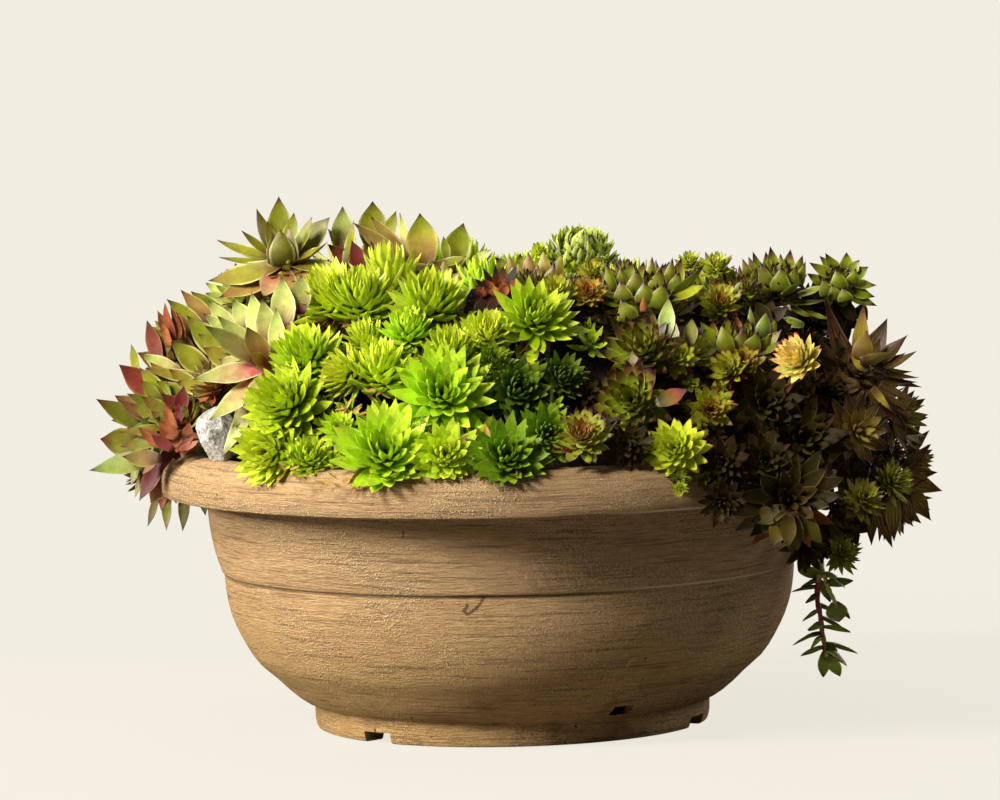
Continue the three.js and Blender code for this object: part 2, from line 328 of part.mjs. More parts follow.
// A slightly fatter envelope of pot and soil that the plants are kept clear of.
const keep = (d) => lathe([
  [0, 90], [164 + d, 80], [166 + d, 98], [172 + d, 116], [173.2 + d, 134.6 - d],
  [197 + d, 134.6 - d], [200.4 + d, 144], [199.8 + d, 151.4], [194.4 + d, 159.3 + d], [187 + d, 162.7 + d], [170, 162.7 + d], [0, 162.7 + d],
], POT.sides);
const heap = (d) => lathe([
  [0, 150], [150 + d, 150], [151 + d, 166], [143.5 + d, 192], [132 + d, 206], [115 + d, 219], [92 + d, 229], [62 + d * 0.5, 235.5 + d], [0, SOIL_TOP + d],
], 24);
const keepPot = solid(keep(GAP));
const keepHeap = solid(heap(GAP));

// ---------------------------------------------------------------------- soil
// Potting soil filling the bowl, heaped up under the plants with old stems.
const soilProfile = [[0, 15 + GAP], [109.4, 15 + GAP], [123.2, 26], [138.2, 39.4], [147.2, 51.4], [156.1, 72.2], [158.5, 90], [161.8, 100], [166.2, 119],
  [167.2, 131], [167.6, 146], [160, 155], [151, 160], [150.6, 166], [143.2, 192], [131.8, 206], [114.8, 219], [92, 228.9], [62, 235.4], [0, SOIL_TOP]];
const soil = biggest(solid(lathe(soilProfile, 24)).subtract(solid(lathe(potProfile, POT.sides))));

// ------------------------------------------------------------------ rosettes
const rows = ROSETTES.filter((r) => r[7] >= 17 || !r[0].startsWith('K')).map(([name, x, y, z, nx, ny, nz, reach, kind, node]) => ({
  name, kind, node, reach, p: new THREE.Vector3(x, y, z), n: new THREE.Vector3(nx, ny, nz).normalize(),
}));
// Neighbours of different plants meet on a plane between their growth points.
function planesOf(row) {
  const out = [];
  for (const other of rows) {
    if (other === row || other.node === row.node) continue;
    const d = other.p.clone().sub(row.p);
    const dist = d.length();
    if (dist > 1.7 * (row.reach + other.reach) + 20) continue;
    d.normalize();
    const at = dist * (row.reach / (row.reach + other.reach)) - GAP * 0.55;
    out.push([d, at]);
  }
  return out;
}
function rosette(row) {
  const kind = KIND[row.kind];
  const q = new THREE.Quaternion().setFromUnitVectors(new THREE.Vector3(0, 0, 1), row.n);
  const spin = rand() * 6.283;
  const dirs = [], reach = [];
  const push = (el, az, r) => {
    dirs.push(new THREE.Vector3(Math.cos(el) * Math.cos(az), Math.cos(el) * Math.sin(az), Math.sin(el)));
    reach.push(r * row.reach);
  };
  const small = row.reach < 16 || row.name.startsWith('K');   // chicks carry fewer leaves
  const rings = small && kind.rings.length > 2 ? kind.rings.slice(1) : kind.rings;
  push(Math.PI / 2, 0, kind.bud);
  rings.forEach(([n, el, r], k) => {
    const m = small ? Math.max(5, n - 2) : n;
    for (let i = 0; i < m; i++) {
      const az = spin + k * 1.1 + (i * 2 * Math.PI) / m;
      const e = (el + (rand() - 0.5) * 6) * deg;
      push(e, az, r * (0.93 + 0.07 * rand()));
      if (k === rings.length - 1) push(e - (k === rings.length - 1 ? 4 : 2) * deg, az + Math.PI / m, r * kind.valley);
    }
  });
  const u = small ? 4 : 6;
  for (let i = 0; i < u; i++) push(-34 * deg, spin + (i * 2 * Math.PI) / u, 0.40);
  push(-Math.PI / 2, 0, 0.85);
  // closed skin through all directions, then each vertex drawn out to its reach
  const g = new ConvexGeometry(dirs);
  const pos = g.attributes.position;
  const planes = planesOf(row);
  const v = new THREE.Vector3();
  for (let i = 0; i < pos.count; i++) {
    v.fromBufferAttribute(pos, i);
    let k = 0, best = 9;
    dirs.forEach((d, j) => { const e = d.distanceToSquared(v); if (e < best) { best = e; k = j; } });
    const d = dirs[k].clone().applyQuaternion(q);
    let t = reach[k];
    for (const [n, at] of planes) {
      const c = d.dot(n);
      if (c > 1e-4) t = Math.min(t, at / c);
    }
    t = Math.max(t, 1.0);
    pos.setXYZ(i, row.p.x + d.x * t, row.p.y + d.y * t, row.p.z + d.z * t);
  }
  return solid(g);
}
// A runner (stolon) joins a chick that stands apart to its hen, dipping towards
// the soil where the straight way is taken by another plant.
function runner(a, b, dip) {
  const inward = a.n.clone().add(b.n).normalize().multiplyScalar(-dip);
  const mid = a.p.clone().add(b.p).multiplyScalar(0.5).add(inward);
  const curve = new THREE.QuadraticBezierCurve3(a.p, mid, b.p);
  const ring = new THREE.Shape();
  ring.moveTo(1.8, 0); ring.lineTo(0, 1.8); ring.lineTo(-1.8, 0); ring.lineTo(0, -1.8);
  return solid(new THREE.ExtrudeGeometry(ring, { steps: dip ? 4 : 1, extrudePath: dip ? curve : new THREE.LineCurve3(a.p, b.p), bevelEnabled: false }));
}

const group = new THREE.Group();
const body = new THREE.Group();
body.position.set(...OFFSET);
group.add(body);
function add(name, manifold, mat) {
  const mesh = new THREE.Mesh(toGeometry(manifold), mat);
  mesh.name = name;
  body.add(mesh);
}

add('pot', pot, material(0xb08a5a, 0.75));
add('soil', soil, material(0x2c2018, 1.0));

// ---------------------------------------------------------------------- rock
const rockGeometry = new THREE.IcosahedronGeometry(1, 1);
{
  const pos = rockGeometry.attributes.position;
  const key = (x, y, z) => Math.sin(x * 5.1 + y * 3.3) * 0.09 + Math.sin(y * 6.7 - z * 4.1) * 0.08 + Math.sin(z * 5.9 + x * 2.3) * 0.07;
  for (let i = 0; i < pos.count; i++) {
    const [x, y, z] = [pos.getX(i), pos.getY(i), pos.getZ(i)];
    const s = 1 + key(x, y, z);
    pos.setXYZ(i, x * s * ROCK.size[0], y * s * ROCK.size[1], z * s * ROCK.size[2]);
  }
}
rockGeometry.rotateY(-0.35);
rockGeometry.translate(...ROCK.at);
let rock = solid(rockGeometry);
rock = biggest(rock.subtract(keepPot).subtract(keepHeap));
const rockKeep = solid(placed(rockGeometry, new THREE.Matrix4().makeTranslation(...ROCK.at)
  .multiply(new THREE.Matrix4().makeScale(1.05, 1.05, 1.05)).multiply(new THREE.Matrix4().makeTranslation(...ROCK.at.map((c) => -c)))));

// ----------------------------------------------------------- trailing sprig
function sprigStem(points, r) {
  const curve = new THREE.CatmullRomCurve3(points.map((p) => new THREE.Vector3(...p)));
  const ring = new THREE.Shape();
  for (let i = 0; i < 5; i++) {
    const a = (i * 2 * Math.PI) / 5;
    if (i) ring.lineTo(r * Math.cos(a), r * Math.sin(a)); else ring.moveTo(r, 0);
  }
  return { curve, solid: solid(new THREE.ExtrudeGeometry(ring, { steps: 9, extrudePath: curve, bevelEnabled: false })) };
}
function sprigLeaf(base, tip, width, thick) {
  const z = tip.clone().sub(base);
  const length = z.length();
  z.normalize();
  const x = new THREE.Vector3().crossVectors(new THREE.Vector3(0, -1, 0.2), z).normalize();
  const y = new THREE.Vector3().crossVectors(z, x);
  const g = new ConvexGeometry([
    [0, 0, -1.2], [-width * 0.5, 0, length * 0.46], [width * 0.5, 0, length * 0.46], [0, thick * 0.5, length * 0.4],
    [0, -thick * 0.5, length * 0.4], [0, 0, length],
  ].map((p) => new THREE.Vector3(...p)));
  g.applyMatrix4(new THREE.Matrix4().makeBasis(x, y, z).setPosition(base));
  return solid(g);
}
function sprig({ stems, leaves }) {
  let all = null;
  for (const { path, radius } of stems) {
    const stem = sprigStem(path, radius);
    all = all ? all.add(stem.solid) : stem.solid;
  }
  for (const [bx, by, bz, tx, ty, tz, width] of leaves) {
    all = all.add(sprigLeaf(new THREE.Vector3(bx, by, bz), new THREE.Vector3(tx, ty, tz), width, 1.8));
  }
  return all;
}
const sprigSolid = sprig(SPRIG);

// --------------------------------------------------------- hens and chicks
const byNode = new Map();
for (const row of rows) {
  if (!byNode.has(row.node)) byNode.set(row.node, []);
  byNode.get(row.node).push(row);
}
const finished = [];
for (const [node, members] of byNode) {
  members.sort((a, b) => b.reach - a.reach);
  for (const m of members) m.solid = rosette(m);
  let plant = members[0].solid;
  for (const m of members.slice(1)) plant = plant.add(m.solid);
  finished.push({ node, plant, members, colour: KIND[members[0].kind].colour });
}
const bodies = (m) => m.decompose().filter((b) => b.volume() > 20).length;
const clear = (f, link) => finished.every((o) => o === f || o.plant.intersect(link).volume() < 0.002);
for (const f of finished) {
  const done = [f.members[0]];
  let joined = f.members[0].solid;
  for (const m of f.members.slice(1)) {
    joined = joined.add(m.solid);
    if (bodies(joined) > 1) {
      const near = done.slice().sort((a, b) => a.p.distanceTo(m.p) - b.p.distanceTo(m.p));
      search: for (const hen of near.slice(0, 4)) {
        for (const dip of [0, 8, 14, 20, 26, 34, 42, -8]) {
          const link = runner(hen, m, dip);
          if (clear(f, link) && bodies(joined.add(link)) === 1) { joined = joined.add(link); break search; }
        }
      }
    }
    done.push(m);
  }
  f.plant = joined;
}
for (const f of finished) {
  f.plant = f.plant.subtract(keepHeap).subtract(keepPot);
  const b = f.plant.boundingBox();
  const near = (lo, hi) => b.min[0] < hi[0] && b.max[0] > lo[0] && b.min[1] < hi[1] && b.max[1] > lo[1] && b.min[2] < hi[2] && b.max[2] > lo[2];
  if (near([-180, -108, 156], [-143, -76, 200])) f.plant = f.plant.subtract(rockKeep);
  f.plant = tidy(biggest(f.plant));
}
add('rock', rock, material(0xc9c4b8, 0.9));
add('sedum_sprig', sprigSolid, material(0x737f2b, 0.6));
for (const f of finished) add(f.node, f.plant, material(f.colour, 0.5));

export default group;
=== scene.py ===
# Hens and chicks in a bowl planter: the looks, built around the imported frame.
# Tables are in millimetres from the pot's axis; everything is written in metres.
import math

import bpy
import numpy as np
from mathutils import Matrix, Vector, noise


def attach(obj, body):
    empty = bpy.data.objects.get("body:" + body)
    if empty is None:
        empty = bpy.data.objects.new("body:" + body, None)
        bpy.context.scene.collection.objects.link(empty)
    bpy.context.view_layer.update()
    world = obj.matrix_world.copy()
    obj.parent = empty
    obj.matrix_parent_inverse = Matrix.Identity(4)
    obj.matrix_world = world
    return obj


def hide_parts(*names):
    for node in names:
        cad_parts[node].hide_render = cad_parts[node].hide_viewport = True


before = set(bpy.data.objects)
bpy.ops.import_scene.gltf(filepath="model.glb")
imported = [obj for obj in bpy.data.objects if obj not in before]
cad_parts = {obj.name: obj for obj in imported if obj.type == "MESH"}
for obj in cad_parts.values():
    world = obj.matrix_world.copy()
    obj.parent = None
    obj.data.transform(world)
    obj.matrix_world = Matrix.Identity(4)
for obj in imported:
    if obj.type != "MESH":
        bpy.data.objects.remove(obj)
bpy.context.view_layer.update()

OFFSET = np.array([-9.4, -6.4, 0.0])      # the pot's axis in the row frame
MM = 0.001
GOLDEN = math.radians(137.50776)
rng = np.random.default_rng(20261)

# ------------------------------------------------------------------ tables
# Leaves placed one by one: node, kind, base point, tip point, width, upper side,
# bend, age, withered share, thickness.
LEAVES = [
    ("blue_hen_1", "A1", -124.8, -28.0, 267.7, -126.1, -26.3, 288.2, 14.2, 0.0, 0.95, 0.32, 26, 0.1, 0, 4),
    ("blue_hen_1", "A1", -121.0, -24.0, 268.5, -119.9, -22.3, 289.5, 10.8, 0.39, 0.87, 0.29, 24, 0.1, 0, 3),
    ("blue_hen_1", "A1", -129.5, -24.0, 268.7, -131.4, -22.6, 286.4, 9.7, -0.51, 0.81, 0.3, 24, 0.1, 0, 3),
    ("blue_hen_1", "A1", -126.5, -8.0, 271.7, -127.5, -5.2, 305.9, 14.9, 0.0, -0.97, 0.25, 14, 0.6, 0, 4.2),
    ("blue_hen_1", "A1", -129.2, -15.0, 271.0, -139.4, -12.6, 299.7, 10.3, 0.62, -0.72, 0.31, 22, 0.6, 0, 2.9),
    ("blue_hen_1", "A1", -127.9, -20.0, 270.7, -133.7, -18.2, 292.5, 8.6, 0.42, -0.85, 0.32, 22, 0.4, 0, 2.4),
    ("blue_hen_1", "A1", -122.9, -16.0, 271.5, -118.8, -13.9, 297.0, 10.3, -0.25, -0.92, 0.31, 22, 0.4, 0, 2.9),
    ("blue_hen_1", "A1", -121.0, -20.0, 270.6, -107.9, -18.0, 294.7, 9.1, -0.55, -0.77, 0.33, 22, 0.5, 0, 2.6),
    ("blue_hen_1", "A1", -120.2, -12.0, 270.6, -98.5, -10.1, 294.1, 16.0, -0.35, -0.85, 0.4, 22, 0.6, 0, 4.5),
    ("blue_hen_1", "A1", -121.5, -24.0, 269.1, -99.3, -33.1, 280.5, 9.7, -0.2, -0.25, 0.95, 28, 0.6, 0, 2.7),
    ("blue_hen_1", "A1", -122.2, -22.0, 268.4, -85.9, -39.5, 264.7, 14.2, -0.1, -0.5, 0.86, 8, 0.6, 0, 4.0),
    ("blue_hen_1", "A1", -128.7, -14.0, 270.4, -163.6, -5.1, 281.6, 11.4, 0.0, -0.46, 0.89, 22, 0.6, 0, 3.2),
    ("blue_hen_1", "A1", -129.0, -19.0, 271.3, -149.2, -17.7, 287.1, 7.4, 0.31, -0.62, 0.72, 22, 0.6, 0, 2.1),
    ("blue_hen_1", "A1", -129.7, -18.0, 269.5, -162.1, -17.8, 272.5, 8.6, 0.0, -0.25, 0.97, 22, 0.6, 0, 2.4),
    ("blue_hen_1", "A1", -126.0, -26.0, 268.2, -167.8, -26.8, 258.4, 15.4, -0.05, -0.71, 0.71, 22, 0.8, 0, 4.3),
    ("blue_hen_1", "TAN", -127.4, -21.0, 266.2, -160.9, -34.1, 249.6, 16.0, -0.1, -0.86, 0.5, 22, 0.9, 0, 4.5),
    ("blue_hen_1", "PINK", -127.9, -23.0, 265.8, -137.1, -46.3, 251.5, 12.5, 0.0, -0.92, 0.4, 22, 0.6, 0, 3.5),
    ("blue_hen_1", "TAN", -124.5, -23.0, 265.7, -120.1, -44.2, 252.1, 10.3, 0.0, -0.92, 0.4, 22, 0.6, 0, 2.9),
    ("blue_hen_1", "TAN", -121.6, -23.0, 266.2, -105.9, -41.8, 256.8, 10.8, 0.0, -0.86, 0.51, 22, 0.6, 0, 3.0),
    ("blue_hen_1", "A1", -120.0, -20.0, 266.6, -94.7, -34.7, 258.3, 11.4, 0.1, -0.82, 0.56, 22, 0.9, 0, 3.2),
    ("blue_hen_1", "TAN", -129.9, -17.0, 264.3, -148.2, -28.7, 243.8, 12.6, -0.1, -0.91, 0.4, 22, 0.6, 0, 3.5),
    ("blue_hen_1", "A1", -131.7, -12.0, 265.2, -158.4, -2.0, 265.2, 10.3, 0.0, -0.41, 0.91, 22, 0.6, 0, 2.9),
    ("blue_hen_2", "AP", -132.0, -102.0, 214.8, -174.7, -110.2, 210.8, 13.9, -0.1, -0.78, 0.62, 10, 0.8, 0, 3.9),
    ("blue_hen_2", "AP", -133.8, -102.0, 212.0, -163.8, -120.1, 186.3, 13.4, -0.36, -0.86, 0.36, 14, 0.9, 0, 3.7),
    ("blue_hen_2", "A", -136.0, -108.0, 205.3, -159.1, -111.3, 165.9, 11.1, -0.52, -0.83, 0.21, 10, 0.9, 0, 3.1),
    ("blue_hen_2", "A", -137.5, -100.0, 202.5, -153.2, -109.7, 182.4, 10.0, -0.31, -0.93, 0.21, 10, 0.6, 0, 2.8),
    ("blue_hen_2", "A", -135.3, -102.0, 217.1, -165.7, -118.1, 241.3, 11.7, -0.46, -0.81, 0.36, 22, 0.7, 0, 3.3),
    ("blue_hen_2", "A", -135.5, -98.0, 217.9, -158.4, -105.8, 245.9, 12.3, -0.41, -0.86, 0.3, 22, 0.6, 0, 3.4),
    ("blue_hen_2", "TAN", -132.9, -106.0, 218.5, -143.0, -118.4, 239.1, 13.9, -0.31, -0.92, 0.25, 22, 0.3, 0, 3.9),
    ("blue_hen_2", "A", -135.0, -94.0, 221.0, -141.4, -91.1, 256.8, 14.0, -0.3, -0.94, 0.15, 22, 0.6, 0, 3.9),
    ("blue_hen_2", "A", -129.1, -99.0, 223.5, -134.6, -96.6, 253.1, 13.4, -0.1, -0.97, 0.2, 22, 0.6, 0, 3.7),
    ("blue_hen_2", "A", -123.6, -90.0, 232.8, -122.3, -87.3, 265.1, 14.5, -0.1, -0.97, 0.2, 22, 0.6, 0, 4.1),
    ("blue_hen_2", "A", -126.2, -108.0, 217.4, -128.2, -105.4, 249.0, 10.6, -0.21, -0.93, 0.31, 26, 0.4, 0, 3.0),
    ("blue_hen_2", "PINK", -122.3, -106.0, 219.4, -119.6, -104.3, 240.4, 7.8, -0.3, -0.9, 0.3, 22, 0.2, 0, 2.2),
    ("blue_hen_2", "A", -114.0, -86.0, 243.5, -112.9, -84.2, 265.8, 12.3, 0.0, -0.97, 0.25, 22, 0.6, 0, 3.4),
    ("blue_hen_2", "A", -138.8, -94.0, 223.3, -168.5, -92.2, 245.2, 11.2, -0.41, -0.86, 0.3, 22, 0.6, 0, 3.1),
    ("blue_hen_2", "A", -142.1, -88.0, 235.3, -151.2, -86.6, 252.2, 12.3, -0.31, -0.93, 0.21, 22, 0.6, 0, 3.4),
    ("blue_hen_2", "A", -132.0, -105.0, 212.8, -145.8, -120.6, 194.3, 10.0, -0.2, -0.91, 0.35, 22, 0.5, 0, 2.8),
    ("blue_hen_2", "PINK", -130.6, -111.0, 216.6, -139.7, -126.3, 225.7, 7.8, -0.3, -0.86, 0.41, 40, 0.1, 0, 2.2),
    ("blue_hen_2", "PINK", -129.4, -113.0, 214.5, -138.8, -126.8, 218.0, 6.7, -0.1, -0.8, 0.6, 40, 0.1, 0, 1.9),
    ("blue_hen_3", "A1", -157.2, 2.0, 232.7, -178.5, 3.7, 253.2, 10.3, -0.5, -0.77, 0.4, 22, 0.6, 0, 2.9),
    ("blue_hen_3", "TAN", -163.9, -2.0, 230.8, -185.8, -0.2, 252.5, 10.3, -0.5, -0.77, 0.4, 22, 0.6, 0, 2.9),
    ("blue_hen_3", "A1", -170.2, -4.0, 227.7, -192.7, -2.3, 248.8, 9.7, -0.5, -0.77, 0.4, 22, 0.6, 0, 2.7),
    ("blue_hen_3", "A", -151.1, -12.0, 223.2, -169.5, -10.1, 247.0, 12.6, -0.5, -0.77, 0.4, 22, 0.6, 0, 3.5),
    ("blue_hen_3", "A", -144.9, -26.0, 219.5, -165.0, -24.4, 238.7, 13.1, -0.5, -0.77, 0.4, 22, 0.6, 0, 3.7),
    ("blue_hen_3", "A1", -159.6, -32.0, 214.6, -181.3, -30.0, 239.5, 13.1, -0.5, -0.77, 0.4, 22, 0.6, 0, 3.7),
    ("blue_hen_3", "TAN", -168.8, -18.0, 214.9, -186.5, -15.8, 242.1, 10.3, -0.5, -0.77, 0.4, 22, 0.6, 0, 2.9),
    ("blue_hen_3", "AR", -175.6, -20.0, 211.8, -190.6, -18.2, 233.7, 10.3, -0.5, -0.77, 0.4, 22, 0.6, 0, 2.9),
    ("blue_hen_3", "A1", -166.3, -40.0, 206.3, -189.7, -38.4, 226.0, 13.6, -0.5, -0.77, 0.4, 22, 0.6, 0, 3.8),
    ("blue_hen_3", "A1", -167.0, -50.0, 204.8, -204.2, -49.4, 212.4, 9.6, -0.2, -0.69, 0.69, 22, 0.6, 0, 2.7),
    ("blue_hen_3", "A", -182.8, -28.0, 205.7, -207.6, -27.0, 217.6, 10.3, -0.5, -0.77, 0.4, 22, 0.6, 0, 2.9),
    ("blue_hen_3", "MAR", -197.1, -14.0, 211.8, -204.5, -11.9, 237.1, 9.7, -0.31, -0.93, 0.21, 22, 0.6, 0, 2.7),
    ("blue_hen_3", "AR", -193.8, -12.0, 209.3, -200.8, -10.1, 232.2, 8.0, -0.5, -0.77, 0.4, 22, 0.6, 0, 2.2),
    ("blue_hen_3", "A1", -154.6, -42.0, 217.5, -173.6, -41.0, 230.4, 11.3, -0.5, -0.77, 0.4, 22, 0.6, 0, 3.2),
    ("blue_hen_3", "A1", -151.2, -46.0, 212.1, -170.2, -45.1, 223.8, 12.5, -0.5, -0.77, 0.4, 22, 0.6, 0, 3.5),
    ("blue_hen_3", "MAR", -195.9, -46.0, 193.7, -218.1, -44.3, 215.2, 15.3, -0.52, -0.83, 0.21, 30, 0.6, 0, 4.3),
    ("blue_hen_3", "A1", -210.3, -8.0, 202.4, -213.8, -6.3, 223.1, 6.9, -0.5, -0.77, 0.4, 22, 0.6, 0, 1.9),
    ("blue_hen_3", "A1", -191.7, -50.0, 192.8, -206.5, -48.4, 212.9, 9.6, -0.5, -0.77, 0.4, 22, 0.6, 0, 2.7),
    ("blue_hen_3", "A1", -185.0, -46.0, 196.9, -201.0, -44.5, 215.4, 10.2, -0.5, -0.77, 0.4, 22, 0.6, 0, 2.9),
    ("blue_hen_3", "A1", -176.9, -52.0, 193.8, -198.1, -51.1, 204.4, 9.1, -0.5, -0.77, 0.4, 22, 0.6, 0, 2.5),
    ("blue_hen_3", "A1", -171.7, -52.0, 197.1, -190.6, -50.9, 211.1, 10.2, -0.5, -0.77, 0.4, 22, 0.6, 0, 2.9),
    ("blue_hen_3", "A1", -164.6, -58.0, 197.4, -184.8, -57.3, 205.8, 10.2, -0.5, -0.77, 0.4, 22, 0.6, 0, 2.8),
    ("blue_hen_3", "TAN", -160.0, -62.0, 194.2, -177.9, -61.4, 201.4, 9.0, -0.5, -0.77, 0.4, 22, 0.6, 0, 2.5),
    ("blue_hen_3", "RUST", -186.9, -26.0, 226.2, -192.7, -24.2, 247.9, 6.8, -0.5, -0.77, 0.4, -30, 0.6, 1, 1.9),
    ("blue_hen_3", "RUST", -184.0, -28.0, 227.4, -188.7, -26.5, 245.7, 5.7, -0.5, -0.77, 0.4, 40, 0.6, 1, 1.6),
    ("blue_hen_3", "RUST", -188.9, -22.0, 224.8, -197.6, -20.5, 243.2, 6.3, -0.5, -0.77, 0.4, 22, 0.6, 1, 1.8),
    ("blue_hen_3", "RUST", -181.8, -26.0, 226.1, -184.9, -24.6, 242.6, 5.7, -0.5, -0.77, 0.4, -20, 0.6, 1, 1.6),
    ("blue_hen_3", "RUST", -190.2, -30.0, 223.1, -194.5, -28.9, 236.9, 5.7, -0.5, -0.77, 0.4, 50, 0.6, 1, 1.6),
    ("blue_hen_4", "A1", -200.8, -47.0, 176.9, -232.1, -45.5, 195.7, 12.5, -0.2, -0.84, 0.5, 22, 0.6, 0, 3.5),
    ("blue_hen_4", "TAN", -199.3, -51.0, 181.7, -219.4, -50.0, 194.6, 7.9, -0.5, -0.79, 0.35, 22, 0.6, 0.5, 2.2),
    ("blue_hen_4", "A1", -206.4, -53.0, 169.0, -230.0, -52.7, 173.5, 16.4, -0.3, -0.93, 0.2, 26, 0.6, 0, 4.6),
    ("blue_hen_4", "A", -196.0, -59.0, 163.0, -236.3, -59.7, 154.9, 14.1, -0.1, -0.8, 0.6, 8, 0.6, 0, 4.0),
    ("blue_hen_4", "A1", -190.8, -63.0, 180.3, -219.1, -63.3, 177.6, 8.5, 0.0, -0.55, 0.83, 22, 0.6, 0, 2.4),
    ("blue_hen_4", "A1", -189.7, -61.0, 182.9, -212.1, -60.2, 193.0, 9.6, -0.5, -0.79, 0.35, 22, 0.6, 0, 2.7),
    ("blue_hen_4", "A1", -192.0, -65.0, 173.7, -218.1, -65.4, 169.2, 8.5, -0.5, -0.79, 0.35, 22, 0.6, 0, 2.4),
    ("blue_hen_4", "A1", -187.3, -63.0, 183.6, -205.6, -61.9, 197.5, 9.6, -0.5, -0.79, 0.35, 22, 0.6, 0, 2.7),
    ("blue_hen_4", "A1", -189.9, -55.0, 187.5, -214.5, -54.1, 198.2, 7.9, -0.5, -0.79, 0.35, 22, 0.6, 0, 2.2),
    ("blue_hen_4", "A1", -194.5, -51.0, 191.9, -206.7, -49.9, 205.7, 7.9, -0.5, -0.79, 0.35, 22, 0.6, 0, 2.2),
    ("blue_hen_4", "TAN", -194.4, -69.0, 162.2, -216.9, -68.9, 163.9, 11.3, -0.5, -0.79, 0.35, 22, 0.6, 0, 3.2),
    ("blue_hen_4", "TAN", -201.3, -63.0, 169.2, -213.9, -63.7, 160.5, 9.0, -0.5, -0.79, 0.35, 22, 0.6, 0, 2.5),
    ("blue_hen_4", "RUST", -185.4, -71.0, 177.5, -192.9, -69.7, 192.8, 7.3, -0.5, -0.79, 0.35, 30, 0.6, 0.6, 2.0),
    ("blue_hen_4", "RUST", -184.7, -75.0, 175.0, -195.7, -74.3, 184.2, 9.6, -0.5, -0.79, 0.35, 24, 0.6, 0.7, 2.7),
    ("blue_hen_4", "TAN", -191.8, -72.0, 169.2, -207.3, -71.1, 180.8, 8.4, -0.5, -0.79, 0.35, 30, 0.6, 0.8, 2.4),
    ("blue_hen_4", "MAR", -188.3, -75.0, 167.7, -199.3, -74.3, 176.9, 7.3, -0.5, -0.79, 0.35, 22, 0.6, 0.3, 2.0),
    ("blue_hen_4", "MAR", -185.9, -77.0, 166.7, -174.5, -76.2, 176.5, 5.1, -0.5, -0.79, 0.35, 50, 0.6, 0.6, 1.4),
    ("blue_hen_4", "PINK", -183.6, -79.0, 168.0, -172.7, -78.5, 173.3, 4.5, -0.5, -0.79, 0.35, 40, 0.6, 0.5, 1.3),
    ("blue_hen_4", "MAR", -184.2, -63.0, 172.2, -189.6, -62.1, 183.0, 6.8, -0.5, -0.79, 0.35, 22, 0.6, 0, 1.9),
    ("blue_hen_4", "MAR", -177.7, -59.0, 169.4, -180.8, -57.9, 183.0, 7.3, -0.5, -0.79, 0.35, 22, 0.6, 0, 2.1),
    ("blue_hen_4", "MAR", -173.4, -53.0, 173.4, -175.3, -51.9, 186.9, 7.4, -0.5, -0.79, 0.35, 22, 0.6, 0, 2.1),
    ("blue_hen_4", "MAR", -196.3, -33.0, 160.7, -210.0, -35.1, 135.4, 10.8, -0.31, -0.95, 0.1, 20, 0.6, 0, 3.0),
    ("blue_hen_4", "PINK", -197.8, -37.0, 161.1, -208.3, -37.8, 151.1, 5.1, -0.5, -0.79, 0.35, 22, 0.6, 0.0, 1.4),
    ("blue_hen_4", "PINK", -195.7, -31.0, 146.7, -203.9, -32.1, 133.9, 9.7, -0.2, -0.97, 0.1, 22, 0.6, 0.4, 2.7),
    ("blue_hen_4", "TAN", -193.7, -27.0, 142.9, -198.0, -28.2, 128.7, 8.6, -0.5, -0.79, 0.35, 22, 0.6, 0.6, 2.4),
    ("blue_hen_4", "MAR", -198.4, -21.0, 151.6, -193.1, -22.7, 131.0, 8.0, -0.5, -0.79, 0.35, 22, 0.6, 0, 2.2),
    ("blue_hen_4", "A1", -210.8, -21.0, 156.5, -215.1, -22.1, 142.9, 5.1, -0.5, -0.79, 0.35, 22, 0.6, 0, 1.4),
    ("blue_hen_4", "A1", -208.8, -19.0, 150.5, -213.1, -20.2, 135.8, 4.6, -0.5, -0.79, 0.35, 22, 0.6, 0, 1.3),
    ("blue_hen_4", "RUST", -169.9, -47.0, 187.5, -174.1, -46.0, 200.1, 8.5, -0.5, -0.79, 0.35, 36, 0.6, 0.3, 2.4),
    ("blue_hen_4", "RUST", -169.7, -51.0, 186.7, -165.0, -50.4, 194.5, 5.7, -0.5, -0.79, 0.35, 36, 0.6, 0.6, 1.6),
    ("blue_hen_4", "MAR", -175.6, -47.0, 185.4, -184.5, -46.2, 194.6, 6.8, -0.5, -0.79, 0.35, 22, 0.6, 0, 1.9),
    ("blue_hen_4", "MAR", -180.3, -43.0, 187.4, -191.4, -42.2, 197.9, 6.8, -0.5, -0.79, 0.35, 22, 0.6, 0, 1.9),
    ("blue_hen_4", "RUST", -171.1, -49.0, 179.8, -182.3, -48.2, 189.1, 6.8, -0.5, -0.79, 0.35, 22, 0.6, 0.8, 1.9),
    ("blue_hen_4", "A1", -178.6, -53.0, 191.7, -182.9, -52.4, 198.5, 4.5, -0.5, -0.79, 0.35, 22, 0.6, 0, 1.3),
    ("blue_hen_4", "A1", -176.3, -53.0, 190.5, -177.3, -52.3, 198.4, 4.0, -0.5, -0.79, 0.35, 22, 0.6, 0, 1.1),
    ("blue_hen_4", "MAR", -186.7, -51.0, 187.1, -191.1, -50.3, 195.1, 5.1, -0.5, -0.79, 0.35, 22, 0.6, 0.8, 1.4),
    ("blue_hen_4", "A1", -186.1, -67.0, 178.3, -200.6, -66.2, 188.7, 8.5, -0.5, -0.79, 0.35, 22, 0.6, 0, 2.4),
    ("blue_hen_5", "DL", -205.6, 80.0, 129.3, -212.5, 78.3, 108.9, 5.3, -0.41, -0.86, 0.3, 22, 0.6, 0, 1.5),
    ("blue_hen_5", "A1", -200.8, 80.0, 130.4, -201.4, 78.0, 106.3, 6.5, -0.41, -0.86, 0.3, 22, 0.6, 0, 1.8),
    ("blue_hen_5", "DL", -190.2, 80.0, 132.5, -190.8, 77.8, 105.5, 8.2, -0.41, -0.86, 0.3, 22, 0.6, 0, 2.3),
